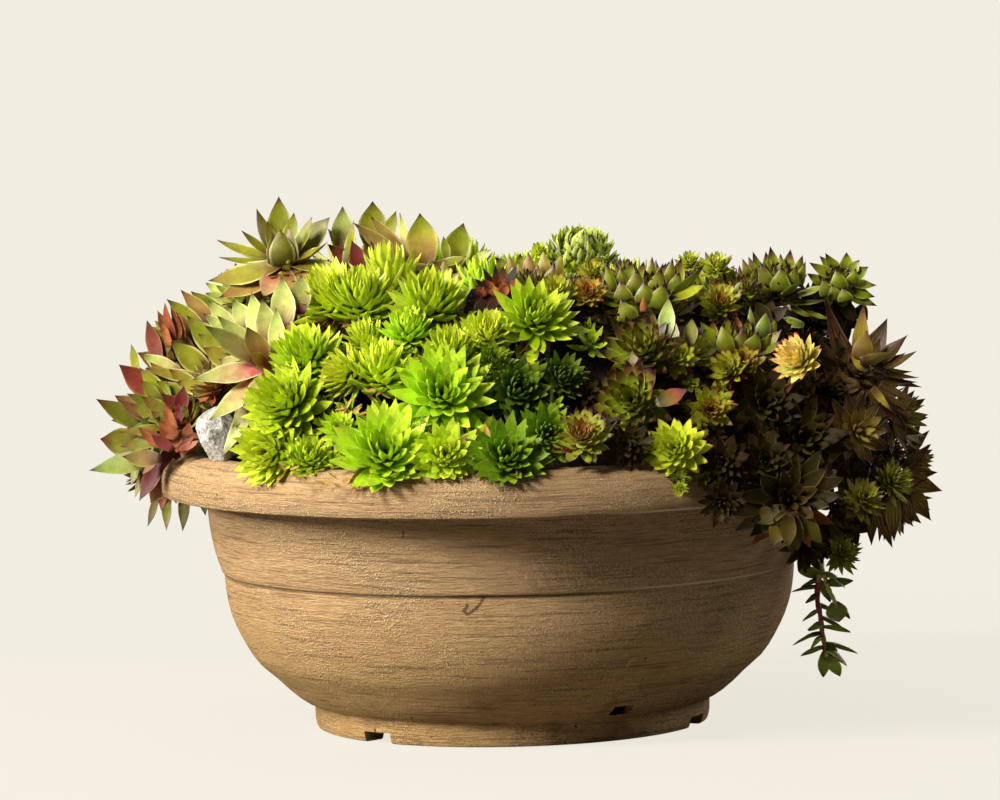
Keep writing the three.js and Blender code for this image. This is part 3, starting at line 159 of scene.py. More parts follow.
    ("blue_hen_5", "DL", -180.7, 80.0, 133.5, -177.6, 78.5, 114.6, 7.1, -0.41, -0.86, 0.3, 22, 0.6, 0, 2.0),
    ("blue_hen_5", "MAR", -196.1, 80.0, 131.4, -195.1, 79.2, 122.0, 5.3, -0.41, -0.86, 0.3, 22, 0.6, 0, 1.5),
    ("blue_hen_6", "A", -90.6, -4.0, 270.7, -91.7, -1.7, 299.2, 13.7, 0.15, -0.97, 0.2, 22, 0.6, 0, 3.8),
    ("blue_hen_6", "A1", -74.1, 6.0, 273.1, -72.9, 8.3, 301.2, 17.8, 0.0, -0.98, 0.2, 22, 0.6, 0, 5.0),
    ("blue_hen_6", "A1", -69.5, 2.0, 272.1, -59.8, 3.9, 295.3, 9.8, -0.2, -0.96, 0.2, 22, 0.6, 0, 2.7),
    ("blue_hen_6", "A1", -90.6, -12.0, 264.3, -84.3, -9.8, 291.5, 7.4, -0.61, -0.76, 0.2, 22, 0.6, 0, 2.1),
    ("blue_hen_6", "TAN", -53.9, -18.0, 264.9, -84.1, -15.9, 291.2, 9.7, -0.35, -0.75, 0.55, 22, 0.6, 0, 2.7),
    ("blue_hen_6", "TAN", -52.8, -14.0, 265.8, -75.6, -11.7, 293.6, 9.7, -0.35, -0.8, 0.5, 22, 0.6, 0, 2.7),
    ("blue_hen_6", "A", -53.5, -6.0, 264.2, -58.0, -3.5, 295.1, 6.9, -0.5, -0.84, 0.2, 22, 0.6, 0, 1.9),
    ("blue_hen_6", "MAR", -52.7, -24.0, 264.1, -74.6, -23.0, 277.1, 7.4, -0.1, -0.5, 0.86, 22, 0.6, 0, 2.1),
    ("blue_hen_6", "MAR", -83.8, -10.0, 264.0, -98.9, -8.8, 279.1, 8.6, -0.21, -0.93, 0.31, 22, 0.6, 0, 2.4),
    ("blue_hen_6", "A1", -86.1, -4.0, 267.1, -99.4, -2.4, 286.8, 6.9, -0.21, -0.93, 0.31, 22, 0.6, 0, 1.9),
    ("blue_hen_6", "MAR", -78.0, -22.0, 256.6, -85.4, -20.0, 280.6, 11.4, -0.3, -0.9, 0.3, 22, 0.6, 0, 3.2),
    ("blue_hen_6", "MAR", -70.0, -24.0, 255.4, -74.0, -21.9, 280.5, 9.1, -0.3, -0.9, 0.3, 22, 0.6, 0, 2.6),
    ("blue_hen_6", "MAR", -63.2, -22.0, 254.0, -67.3, -20.1, 276.8, 12.5, -0.21, -0.93, 0.31, 22, 0.6, 0, 3.5),
    ("blue_hen_6", "MAR", -56.5, -22.0, 251.5, -52.6, -20.4, 270.8, 11.4, 0.0, -0.95, 0.32, 22, 0.6, 0, 3.2),
    ("blue_hen_6", "MAR", -80.1, -26.0, 260.3, -61.6, -33.4, 268.3, 10.2, 0.0, -0.6, 0.8, 22, 0.6, 0, 2.9),
    ("blue_hen_6", "MAR", -85.9, -22.0, 261.3, -98.0, -29.4, 268.9, 10.3, -0.2, -0.69, 0.69, 22, 0.6, 0, 2.9),
    ("blue_hen_7", "TANG", -44.2, -20.0, 263.7, -47.5, -17.4, 295.0, 18.8, 0.0, -0.98, 0.2, 14, 0.6, 0, 5.3),
    ("blue_hen_7", "A1", -29.4, -18.0, 263.2, -20.8, -15.9, 288.6, 16.0, 0.1, -0.97, 0.2, 16, 0.6, 0, 4.5),
    ("blue_hen_7", "A1", -31.5, -26.0, 267.2, -32.9, -24.8, 282.0, 5.7, 0.0, -0.91, 0.41, 22, 0.6, 0, 1.6),
    ("blue_hen_7", "TANG", -33.2, -40.0, 263.5, -55.8, -39.6, 268.5, 8.5, 0.0, -0.5, 0.87, 40, 0.6, 0, 2.4),
    ("blue_hen_7", "A1", -37.7, -34.0, 266.7, -20.0, -33.6, 270.8, 8.5, 0.0, -0.5, 0.87, 40, 0.6, 0, 2.4),
    ("blue_hen_7", "TAN", -39.6, -50.0, 252.9, -39.8, -48.7, 269.3, 10.7, 0.0, 0.95, 0.32, 30, 0.6, 0, 5),
    ("blue_hen_7", "TANG", -32.8, -46.0, 253.7, -33.0, -44.7, 270.0, 8.5, 0.1, 0.94, 0.31, 30, 0.6, 0, 4),
    ("blue_hen_7", "TANG", -49.2, -50.0, 253.2, -52.9, -48.9, 266.8, 8.5, -0.21, 0.93, 0.31, 22, 0.6, 0, 4),
    ("blue_hen_7", "TAN", -44.7, -54.0, 252.2, -46.1, -53.0, 264.0, 7.3, 0.0, 0.95, 0.32, 22, 0.6, 0, 3),
    ("blue_hen_7", "TAN", -27.2, -50.0, 252.7, -22.4, -49.0, 264.4, 8.5, 0.21, 0.93, 0.31, 22, 0.6, 0, 4),
    ("blue_hen_7", "TANG", -54.9, -54.0, 250.1, -63.7, -53.0, 262.2, 7.9, 0.0, -0.91, 0.41, 22, 0.6, 0, 2.2),
    ("blue_hen_7", "TANG", -51.5, -58.0, 248.1, -59.2, -57.3, 257.2, 7.3, 0.0, -0.91, 0.41, 22, 0.6, 0, 2.1),
    ("blue_hen_7", "TANG", -31.2, -56.0, 249.7, -26.9, -55.0, 261.5, 7.3, 0.21, 0.93, 0.31, 22, 0.6, 0, 2.1),
    ("blue_hen_7", "C", -22.1, -46.0, 252.3, -7.6, -44.8, 267.2, 8.5, -0.31, -0.72, 0.62, 40, 0.6, 0, 2.4),
    ("blue_hen_7", "C", -19.9, -54.0, 249.4, -11.7, -52.9, 262.7, 7.9, -0.31, -0.72, 0.62, 40, 0.6, 0, 2.2),
    ("blue_hen_7", "C", -18.6, -36.0, 257.2, 0.3, -35.2, 267.0, 6.8, -0.2, -0.59, 0.78, 30, 0.6, 0, 1.9),
    ("blue_hen_7", "A", -19.7, -22.0, 264.4, -6.3, -21.2, 273.7, 5.7, 0.0, -0.95, 0.32, 22, 0.6, 0, 0.8),
    ("blue_hen_7", "PALE", -23.3, -62.0, 245.4, -26.9, -60.7, 260.7, 8.5, 0.0, -0.91, 0.41, 22, 0.6, 0, 2.4),
    ("blue_hen_8", "TAN", 5.6, -54.0, 253.3, 4.4, -52.5, 271.3, 9.6, 0.0, 0.95, 0.32, 22, 0.6, 0, 4),
    ("blue_hen_8", "TAN", 15.8, -52.0, 254.1, 15.1, -50.4, 273.2, 9.6, 0.1, 0.94, 0.31, 22, 0.6, 0, 4),
    ("blue_hen_8", "TANG", 23.9, -44.0, 256.8, 23.7, -42.6, 273.7, 7.9, 0.21, 0.93, 0.31, 22, 0.6, 0, 2.2),
    ("blue_hen_8", "TANG", 28.4, -42.0, 255.4, 33.9, -40.7, 271.1, 8.5, 0.3, 0.9, 0.3, 22, 0.6, 0, 2.4),
    ("blue_hen_8", "TAN", 19.7, -60.0, 252.2, 19.5, -58.8, 266.9, 6.8, 0.0, 0.95, 0.32, 22, 0.6, 0, 1.9),
    ("blue_hen_8", "C", 24.2, -54.0, 251.7, 30.8, -52.7, 267.4, 8.5, 0.3, 0.9, 0.3, 22, 0.6, 0, 2.4),
    ("blue_hen_8", "TANG", 0.0, -46.0, 255.2, -1.3, -44.8, 269.9, 7.9, 0.0, -0.91, 0.41, 22, 0.6, 0, 2.2),
    ("blue_hen_8", "C", 6.4, -40.0, 261.5, -4.7, -39.3, 270.2, 7.4, 0.0, -0.91, 0.41, 22, 0.6, 0, 2.1),
    ("blue_hen_8", "TANG", 5.6, -62.0, 251.6, -5.9, -60.6, 268.1, 7.3, -0.41, -0.82, 0.41, 22, 0.6, 0, 2.1),
    ("blue_hen_8", "TANG", 9.6, -56.0, 252.2, 8.8, -54.7, 268.0, 7.3, 0.0, 0.95, 0.32, 22, 0.6, 0, 2.1),
    ("blue_hen_8", "C", -1.8, -60.0, 250.5, -10.5, -59.0, 263.0, 7.3, 0.0, -0.91, 0.41, 22, 0.6, 0, 2.1),
    ("blue_hen_8", "TAN", 12.8, -66.0, 249.4, 10.9, -64.9, 262.9, 6.8, 0.0, 0.95, 0.32, 22, 0.6, 0, 1.9),
    ("blue_hen_8", "C", 17.8, -34.0, 260.8, 23.1, -33.3, 269.8, 6.8, 0.0, -0.91, 0.41, 22, 0.6, 0, 1.9),
    ("blue_hen_8", "C", 9.9, -32.0, 262.0, 10.1, -31.2, 271.7, 6.3, 0.0, -0.91, 0.41, 22, 0.6, 0, 1.8),
    ("maroon_hen_1", "AM", -6.2, -103.0, 252.2, -14.9, -112.2, 238.6, 11.7, 0.0, -0.91, 0.41, 22, 0.9, 0, 3.3),
    ("maroon_hen_1", "AM", 0.4, -105.0, 251.7, -2.1, -114.3, 236.7, 10.6, 0.0, -0.91, 0.41, 22, 0.9, 0, 3.0),
    ("maroon_hen_1", "AM", -10.1, -99.0, 252.1, -22.6, -107.7, 243.5, 10.6, 0.0, -0.91, 0.41, 22, 0.9, 0, 3.0),
    ("maroon_hen_1", "AM", 6.0, -103.0, 250.9, 7.3, -112.1, 238.1, 9.5, 0.0, -0.91, 0.41, 22, 0.9, 0, 2.7),
    ("maroon_hen_1", "AM", -12.9, -95.0, 254.1, -20.8, -95.4, 249.8, 8.4, 0.0, -0.91, 0.41, 22, 0.8, 0, 2.3),
    ("maroon_hen_1", "AM", -2.9, -109.0, 251.4, -8.8, -118.3, 236.6, 9.5, 0.0, -0.91, 0.41, 22, 0.9, 0, 2.6),
    ("maroon_hen_1", "RUST", -6.2, -105.0, 253.5, -9.4, -104.4, 261.3, 6.7, 0.0, -0.91, 0.41, 22, 0.6, 1, 1.9),
    ("maroon_hen_1", "RUST", -1.8, -106.0, 253.5, -1.6, -105.3, 261.8, 6.7, 0.0, -0.91, 0.41, 22, 0.6, 1, 1.9),
    ("maroon_hen_1", "RUST", 2.7, -106.0, 252.8, 6.2, -105.3, 261.0, 6.7, 0.0, -0.91, 0.41, 22, 0.6, 1, 1.9),
    ("maroon_hen_1", "RUST", 6.0, -106.0, 251.6, 11.7, -105.5, 257.6, 6.7, 0.0, -0.91, 0.41, 22, 0.6, 1, 1.9),
    ("maroon_hen_1", "RUST", -9.6, -105.0, 252.5, -15.0, -104.6, 257.6, 6.1, 0.0, -0.91, 0.41, 22, 0.6, 1, 1.7),
    ("maroon_hen_1", "RUST", -0.1, -109.0, 252.5, 2.3, -108.5, 259.1, 5.6, 0.0, -0.91, 0.41, 22, 0.6, 1, 1.6),
    ("maroon_hen_1", "RUST", -4.6, -109.0, 252.6, -6.1, -108.5, 258.7, 5.6, 0.0, -0.91, 0.41, 22, 0.6, 1, 1.6),
    ("bronze_hen_2", "D", 195.3, -50.0, 199.9, 182.7, -46.4, 243.7, 11.3, 0.35, -0.93, 0.1, 22, 0.6, 0, 3.2),
    ("bronze_hen_2", "DY", 201.3, -46.0, 206.3, 202.6, -43.2, 240.2, 10.2, 0.0, -0.98, 0.2, 22, 0.6, 0, 2.9),
    ("bronze_hen_2", "D", 205.7, -48.0, 207.5, 217.6, -46.1, 230.9, 13.0, -0.3, -0.93, 0.2, 22, 0.6, 0, 3.6),
    ("bronze_hen_2", "DY", 200.6, -68.0, 209.1, 203.8, -66.6, 225.9, 11.3, 0.0, 0.98, 0.22, 22, 0.1, 0, 3.4),
    ("bronze_hen_2", "DY", 199.8, -72.0, 208.3, 221.9, -71.5, 214.5, 12.4, -0.1, 0.5, 0.86, 20, 0.1, 0, 3.4),
    ("bronze_hen_2", "D", 209.8, -56.0, 205.7, 227.7, -54.6, 222.2, 11.3, -0.25, -0.76, 0.6, 22, 0.6, 0, 3.2),
    ("bronze_hen_2", "DB", 214.0, -60.0, 203.7, 232.8, -59.2, 213.4, 7.3, 0.0, -0.6, 0.8, 22, 0.6, 0, 2.1),
    ("bronze_hen_2", "D", 211.9, -58.0, 204.7, 226.7, -57.4, 212.2, 6.2, 0.0, -0.6, 0.8, 22, 0.6, 0, 1.7),
    ("bronze_hen_2", "D", 212.6, -64.0, 201.2, 233.9, -64.2, 198.5, 4.5, 0.0, -0.78, 0.62, 22, 0.6, 0, 1.3),
    ("bronze_hen_2", "DY", 213.0, -58.0, 201.8, 230.4, -58.1, 200.9, 4.5, 0.0, -0.78, 0.62, 22, 0.6, 0, 1.3),
    ("bronze_hen_2", "D", 211.5, -62.0, 197.1, 232.9, -62.1, 195.5, 5.1, 0.0, -0.85, 0.53, 22, 0.6, 0, 1.4),
    ("bronze_hen_2", "D", 211.3, -64.0, 195.6, 235.3, -64.9, 183.8, 4.5, 0.1, -0.78, 0.62, 22, 0.6, 0, 1.3),
    ("bronze_hen_2", "DB", 210.4, -60.0, 193.6, 230.0, -60.7, 185.2, 4.5, 0.1, -0.78, 0.62, 22, 0.6, 0, 1.3),
    ("bronze_hen_2", "D", 208.9, -66.0, 191.8, 230.6, -67.0, 179.5, 4.5, 0.1, -0.78, 0.62, 22, 0.6, 0, 1.3),
    ("bronze_hen_2", "D", 209.0, -64.0, 190.0, 232.9, -65.3, 174.2, 4.5, 0.21, -0.83, 0.52, 22, 0.6, 0, 1.3),
    ("bronze_hen_2", "DB", 208.1, -60.0, 188.5, 228.6, -61.2, 173.4, 4.5, 0.21, -0.83, 0.52, 22, 0.6, 0, 1.3),
    ("bronze_hen_2", "D", 206.6, -66.0, 187.3, 225.3, -67.4, 170.1, 5.6, 0.21, -0.88, 0.42, 22, 0.6, 0, 1.6),
    ("bronze_hen_2", "DY", 206.3, -72.0, 193.5, 217.8, -73.1, 179.8, 5.1, 0.1, -0.86, 0.5, 22, 0.6, 0, 1.4),
    ("bronze_hen_2", "D", 204.0, -72.0, 191.3, 212.8, -72.7, 182.1, 4.5, 0.1, -0.86, 0.5, 22, 0.6, 0, 1.3),
    ("bronze_hen_2", "DB", 207.5, -68.0, 185.2, 217.2, -69.6, 165.9, 7.3, 0.3, -0.86, 0.41, 22, 0.6, 0, 2.1),
    ("bronze_hen_2", "D", 220.2, -62.0, 176.5, 226.5, -63.4, 159.5, 7.3, 0.3, -0.86, 0.41, 22, 0.6, 0, 2.1),
    ("bronze_hen_2", "D", 222.5, -58.0, 168.2, 234.9, -58.2, 165.6, 5.1, 0.21, -0.83, 0.52, 22, 0.6, 0, 1.4),
    ("bronze_hen_2", "D", 199.2, -60.0, 197.2, 183.6, -59.3, 205.5, 10.7, 0.1, -0.78, 0.62, 22, 0.6, 0, 3.0),
    ("bronze_hen_2", "D", 200.0, -64.0, 195.3, 183.6, -64.3, 192.3, 10.7, 0.1, -0.78, 0.62, 22, 0.6, 0, 3.0),
    ("bronze_hen_2", "D", 201.0, -66.0, 193.1, 190.5, -67.2, 178.8, 11.3, 0.0, -0.93, 0.36, 22, 0.6, 0, 3.2),
    ("bronze_hen_2", "D", 204.4, -66.0, 191.9, 205.0, -67.8, 170.5, 11.3, 0.0, -0.95, 0.31, 22, 0.6, 0, 3.2),
    ("bronze_hen_2", "D", 196.2, -54.0, 202.5, 187.1, -52.5, 221.3, 10.7, 0.32, -0.89, 0.32, 22, 0.6, 0, 3.0),
    ("bronze_hen_2", "D", 207.5, -54.0, 200.0, 236.2, -54.6, 192.5, 7.9, 0.1, -0.78, 0.62, 22, 0.6, 0, 2.2),
    ("bronze_hen_2", "D", 204.7, -60.0, 190.3, 216.0, -62.0, 165.3, 9.6, 0.1, -0.94, 0.31, 22, 0.6, 0, 2.7),
    ("bronze_hen_2", "D", 198.7, -60.0, 200.6, 193.5, -58.4, 220.4, 8.5, 0.1, -0.78, 0.62, 22, 0.3, 0, 2.4),
    ("bronze_hen_2", "D", 206.2, -58.0, 204.8, 212.2, -56.7, 220.5, 9.0, 0.1, -0.78, 0.62, 22, 0.3, 0, 2.5),
    ("bronze_hen_2", "DY", 204.3, -70.0, 203.5, 193.3, -69.2, 213.9, 7.9, 0.1, -0.78, 0.62, 30, 0.2, 0, 2.2),
    ("olive_hen_2", "C", 61.1, -74.0, 251.1, 58.7, -72.6, 267.9, 6.7, 0.0, 0.93, 0.36, 22, 0.6, 0, 1.9),
    ("olive_hen_2", "C", 66.3, -72.0, 253.1, 67.1, -71.0, 265.4, 6.2, 0.0, 0.93, 0.36, 22, 0.6, 0, 1.7),
    ("olive_hen_2", "C", 70.2, -72.0, 254.1, 72.3, -70.8, 268.6, 7.9, 0.0, -0.95, 0.3, 22, 0.6, 0, 2.2),
    ("olive_hen_2", "C", 77.0, -72.0, 254.0, 79.0, -70.8, 267.9, 8.4, 0.0, -0.95, 0.3, 22, 0.6, 0, 2.4),
    ("olive_hen_2", "C", 82.6, -72.0, 253.8, 84.1, -70.6, 270.6, 7.3, 0.0, 0.93, 0.36, 22, 0.6, 0, 2.0),
    ("olive_hen_2", "C", 88.2, -72.0, 254.8, 90.7, -71.1, 266.0, 7.3, 0.0, -0.95, 0.3, 22, 0.6, 0, 2.0),
    ("olive_hen_2", "C", 92.7, -74.0, 253.7, 95.3, -72.7, 269.9, 6.7, 0.0, 0.93, 0.36, 22, 0.6, 0, 1.9),
    ("olive_hen_2", "C", 97.7, -74.0, 253.6, 100.3, -72.7, 269.8, 7.3, 0.0, -0.95, 0.3, 22, 0.6, 0, 2.0),
    ("olive_hen_2", "C", 74.4, -84.0, 249.2, 74.7, -82.7, 264.8, 11.8, 0.0, 0.93, 0.36, 24, 0.6, 0, 2.8),
    ("olive_hen_2", "C", 85.6, -84.0, 248.9, 88.7, -82.7, 265.0, 11.8, 0.0, 0.93, 0.36, 24, 0.6, 0, 2.8),
    ("olive_hen_2", "C", 95.7, -84.0, 249.8, 98.8, -82.9, 262.6, 9.5, 0.0, 0.93, 0.36, 22, 0.6, 0, 2.4),
    ("olive_hen_2", "C", 79.1, -94.0, 245.2, 79.4, -92.9, 258.6, 11.2, 0.0, 0.93, 0.36, 26, 0.6, 0, 2.8),
    ("olive_hen_2", "C", 58.5, -86.0, 241.8, 56.1, -84.5, 259.7, 9.5, 0.0, 0.93, 0.36, 22, 0.6, 0, 2.4),
    ("olive_hen_2", "C", 67.4, -92.0, 246.5, 65.5, -91.0, 258.8, 10.1, 0.0, 0.93, 0.36, 24, 0.6, 0, 2.4),
    ("olive_hen_2", "CG", 70.4, -98.0, 235.6, 65.1, -96.9, 248.5, 11.7, 0.0, 0.93, 0.36, 24, 0.6, 0, 2.5),
    ("olive_hen_2", "CG", 85.1, -94.0, 241.7, 90.0, -92.7, 257.2, 12.8, 0.0, 0.93, 0.36, 24, 0.6, 0, 2.8),
    ("olive_hen_2", "C", 95.6, -86.0, 248.8, 113.3, -84.5, 266.8, 9.5, -0.33, 0.67, 0.67, 22, 0.6, 0, 2.4),
    ("olive_hen_2", "YG", 92.1, -90.0, 246.9, 113.5, -89.3, 255.3, 10.1, -0.2, -0.61, 0.76, 22, 0.6, 0, 2.8),
    ("olive_hen_2", "C", 65.3, -90.0, 248.6, 52.5, -89.6, 253.4, 6.2, -0.1, -0.4, 0.91, 22, 0.6, 0, 1.7),
    ("olive_hen_2", "C", 66.2, -92.0, 244.3, 52.4, -91.7, 247.9, 6.1, -0.1, -0.4, 0.91, 22, 0.6, 0, 1.7),
    ("olive_hen_2", "CD", 66.1, -94.0, 239.9, 52.8, -93.7, 243.6, 5.6, -0.1, -0.4, 0.91, 22, 0.6, 0, 1.6),
    ("olive_hen_2", "RUST", 78.2, -104.0, 241.5, 78.4, -103.3, 250.3, 4.5, 0.0, 0.93, 0.36, 22, 0.6, 1, 1.2),
    ("olive_hen_2", "CD", 61.5, -96.0, 234.6, 43.7, -95.6, 239.4, 6.7, 0.0, -0.3, 0.95, 22, 0.6, 0, 1.9),
    ("olive_hen_2", "CD", 59.3, -96.0, 235.7, 69.4, -95.8, 237.7, 6.7, 0.0, -0.3, 0.95, 22, 0.6, 0, 1.9),
    ("olive_hen_3", "PG", 88.5, -124.0, 225.9, 92.4, -122.0, 250.7, 10.5, -0.41, -0.89, 0.2, 22, 0.6, 0, 2.9),
    ("olive_hen_3", "C", 83.5, -122.0, 223.7, 82.3, -120.3, 244.7, 7.2, -0.31, -0.9, 0.31, 22, 0.6, 0, 2.0),
    ("olive_hen_3", "C", 74.4, -140.0, 208.6, 69.3, -138.6, 225.2, 7.2, -0.31, -0.9, 0.31, 22, 0.6, 0, 2.0),
    ("olive_hen_3", "PG", 79.6, -120.0, 221.4, 75.6, -118.5, 239.2, 7.8, -0.31, -0.9, 0.31, 22, 0.6, 0.2, 2.2),
    ("olive_hen_3", "C", 71.9, -122.0, 225.0, 68.9, -120.8, 239.5, 6.1, -0.31, -0.9, 0.31, 22, 0.6, 0, 1.7),
    ("olive_hen_3", "PALE", 72.2, -144.0, 211.2, 70.3, -143.0, 223.3, 5.0, -0.31, -0.9, 0.31, 22, 0.6, 0.3, 1.4),
    ("olive_hen_3", "PALE", 92.8, -126.0, 223.7, 95.3, -124.9, 236.9, 6.6, -0.31, -0.9, 0.31, 22, 0.6, 0, 1.9),
    ("olive_hen_3", "PG", 102.9, -120.0, 223.1, 104.4, -118.7, 238.5, 8.3, -0.31, -0.9, 0.31, 22, 0.6, 0.3, 2.3),
    ("olive_hen_3", "C", 80.2, -136.0, 213.7, 78.4, -134.5, 231.4, 7.7, -0.31, -0.9, 0.31, 22, 0.6, 0, 2.2),
    ("olive_hen_3", "C", 85.7, -134.0, 210.1, 88.3, -132.6, 227.7, 6.6, -0.31, -0.9, 0.31, 22, 0.6, 0, 1.9),
    ("olive_hen_4", "OR", 82.3, -168.0, 195.2, 99.9, -167.4, 202.5, 9.9, -0.1, -0.86, 0.5, 10, 0.6, 0, 2.8),
    ("olive_hen_4", "YG", 57.7, -172.0, 174.2, 72.6, -171.4, 181.5, 10.9, -0.2, -0.81, 0.55, 22, 0.6, 0, 3.1),
    ("olive_hen_4", "C", 51.2, -170.0, 176.3, 54.6, -169.3, 185.0, 7.7, -0.2, -0.91, 0.35, 22, 0.6, 0, 2.1),
    ("olive_hen_8", "C", 140.6, -28.0, 253.1, 136.9, -27.0, 265.7, 6.3, 0.0, 0.93, 0.36, 22, 0.6, 0, 1.8),
    ("olive_hen_8", "C", 144.7, -26.0, 254.0, 140.4, -25.0, 266.6, 6.3, 0.0, 0.93, 0.36, 22, 0.6, 0, 1.8),
    ("olive_hen_8", "C", 147.6, -24.0, 253.8, 142.8, -22.7, 269.3, 6.8, 0.2, -0.93, 0.3, 22, 0.6, 0, 1.9),
    ("olive_hen_8", "C", 151.6, -24.0, 254.9, 150.2, -22.8, 269.1, 6.8, 0.0, -0.95, 0.3, 22, 0.6, 0, 1.9),
    ("olive_hen_8", "C", 155.6, -24.0, 254.8, 152.6, -22.6, 271.9, 8.5, 0.1, -0.95, 0.3, 22, 0.6, 0, 2.4),
    ("olive_hen_8", "C", 158.9, -26.0, 254.9, 158.7, -24.9, 267.9, 6.3, 0.0, 0.93, 0.36, 22, 0.6, 0, 1.8),
    ("olive_hen_8", "C", 161.9, -24.0, 254.7, 164.5, -22.7, 269.9, 8.5, -0.1, -0.95, 0.3, 22, 0.6, 0, 2.4),
    ("olive_hen_8", "C", 166.3, -26.0, 253.5, 171.2, -24.9, 266.5, 7.4, 0.0, 0.93, 0.36, 22, 0.6, 0, 2.1),
    ("olive_hen_8", "C", 150.4, -36.0, 248.8, 146.2, -34.7, 264.2, 8.5, 0.0, 0.93, 0.36, 24, 0.6, 0, 2.4),
    ("olive_hen_8", "CG", 157.0, -40.0, 246.7, 157.9, -38.8, 261.4, 11.3, 0.0, 0.93, 0.36, 24, 0.6, 0, 2.8),
    ("olive_hen_8", "C", 162.9, -36.0, 248.6, 167.7, -34.9, 261.5, 7.9, 0.0, 0.93, 0.36, 22, 0.6, 0, 2.4),
    ("olive_hen_8", "C", 167.1, -32.0, 249.3, 172.5, -30.8, 263.4, 6.3, 0.0, 0.93, 0.36, 22, 0.6, 0, 2),
    ("olive_hen_8", "CG", 158.0, -42.0, 244.5, 171.3, -41.2, 254.4, 8.5, -0.32, 0.42, 0.85, 22, 0.6, 0, 2.4),
    ("olive_hen_8", "PG", 166.1, -38.0, 244.1, 182.7, -37.5, 249.9, 7.4, -0.1, -0.5, 0.86, 22, 0.6, 0, 2.1),
    ("olive_hen_8", "C", 151.3, -40.0, 245.7, 136.8, -39.2, 255.0, 7.9, 0.21, -0.42, 0.88, 22, 0.6, 0, 2.2),
    ("olive_hen_8", "C", 148.9, -44.0, 244.9, 133.0, -44.0, 244.6, 6.2, 0.0, -0.46, 0.89, 22, 0.6, 0, 1.7),
    ("olive_hen_8", "CD", 152.2, -42.0, 240.1, 165.9, -41.9, 240.9, 5.1, 0.0, -0.3, 0.95, 22, 0.6, 0, 1.4),
    ("olive_hen_8", "C", 162.7, -36.0, 239.5, 187.2, -35.7, 242.3, 5.7, 0.0, -0.41, 0.91, 22, 0.6, 0, 1.6),
    ("olive_hen_8", "C", 163.6, -40.0, 237.4, 176.0, -40.5, 231.5, 6.8, 0.0, -0.45, 0.89, 22, 0.6, 0, 1.9),
    ("olive_hen_8", "C", 171.8, -34.0, 234.6, 187.6, -34.3, 230.2, 5.1, 0.0, -0.51, 0.86, 22, 0.6, 0, 1.4),
    ("olive_hen_8", "PG", 169.8, -50.0, 227.8, 154.6, -49.6, 232.6, 8.5, 0.0, -0.6, 0.8, 22, 0.6, 0, 2.4),
    ("olive_hen_8", "YG", 134.0, -48.0, 248.9, 126.4, -46.9, 262.6, 7.4, 0.2, -0.91, 0.35, 22, 0.6, 0, 2.1),
    ("olive_hen_8", "C", 135.1, -48.0, 247.7, 133.2, -46.7, 263.0, 6.2, 0.0, 0.93, 0.36, 22, 0.6, 0, 2),
    ("olive_hen_8", "CG", 133.1, -56.0, 246.0, 135.0, -55.2, 255.5, 9.0, 0.0, 0.93, 0.36, 22, 0.6, 0, 2.8),
    ("olive_hen_8", "C", 138.6, -48.0, 248.8, 144.0, -46.9, 261.6, 6.2, 0.0, 0.93, 0.36, 22, 0.6, 0, 2),
    ("olive_hen_8", "C", 130.4, -52.0, 246.9, 118.8, -51.3, 255.6, 6.2, 0.0, -0.71, 0.71, 22, 0.6, 0, 1.7),
    ("olive_hen_8", "C", 134.8, -56.0, 244.8, 145.1, -55.5, 250.2, 6.8, -0.1, -0.7, 0.7, 22, 0.6, 0, 1.9),
    ("olive_hen_9", "CG", 187.8, -19.0, 253.8, 174.8, -18.3, 262.0, 8.6, 0.2, -0.72, 0.67, 22, 0.6, 0, 2.4),
    ("olive_hen_9", "CG", 189.2, -15.0, 256.9, 180.8, -14.3, 265.1, 6.9, 0.2, -0.91, 0.35, 22, 0.6, 0, 1.9),
    ("olive_hen_9", "CG", 191.4, -15.0, 254.6, 184.3, -14.0, 266.7, 8.6, 0.2, -0.93, 0.3, 22, 0.6, 0, 2.4),
    ("olive_hen_9", "CG", 196.7, -13.0, 256.6, 196.4, -12.2, 266.9, 8.0, 0.0, -0.95, 0.3, 22, 0.6, 0, 2.2),
    ("olive_hen_9", "CG", 191.6, -29.0, 246.3, 190.2, -28.0, 258.8, 9.7, 0.0, 0.93, 0.36, 26, 0.6, 0, 3),
    ("olive_hen_9", "CG", 183.0, -21.0, 249.4, 173.5, -20.5, 255.9, 8.0, 0.1, -0.7, 0.7, 22, 0.6, 0, 2.2),
    ("olive_hen_9", "CG", 198.3, -15.0, 255.6, 204.2, -14.4, 262.3, 7.4, -0.2, -0.93, 0.3, 22, 0.6, 0, 2.1),
    ("olive_hen_9", "CG", 200.5, -15.0, 253.2, 209.2, -14.6, 258.1, 8.0, -0.21, -0.93, 0.31, 22, 0.6, 0, 2.2),
    ("olive_hen_9", "CG", 200.1, -21.0, 249.0, 213.2, -21.0, 248.7, 8.0, -0.2, -0.69, 0.69, 22, 0.6, 0, 2.2),
    ("olive_hen_9", "CG", 198.8, -23.0, 245.8, 211.8, -23.4, 240.9, 8.0, -0.1, -0.8, 0.6, 22, 0.6, 0, 2.2),
    ("olive_hen_9", "CG", 197.6, -23.0, 243.5, 212.8, -23.6, 235.8, 7.4, -0.1, -0.91, 0.4, 22, 0.6, 0, 2.1),
    ("olive_hen_9", "CG", 194.7, -33.0, 239.7, 193.2, -32.3, 248.2, 8.5, 0.0, 0.93, 0.36, 22, 0.6, 0, 2.8),
    ("olive_hen_9", "CG", 184.9, -27.0, 242.9, 181.7, -26.2, 253.2, 8.5, 0.0, 0.93, 0.36, 22, 0.6, 0, 2.4),
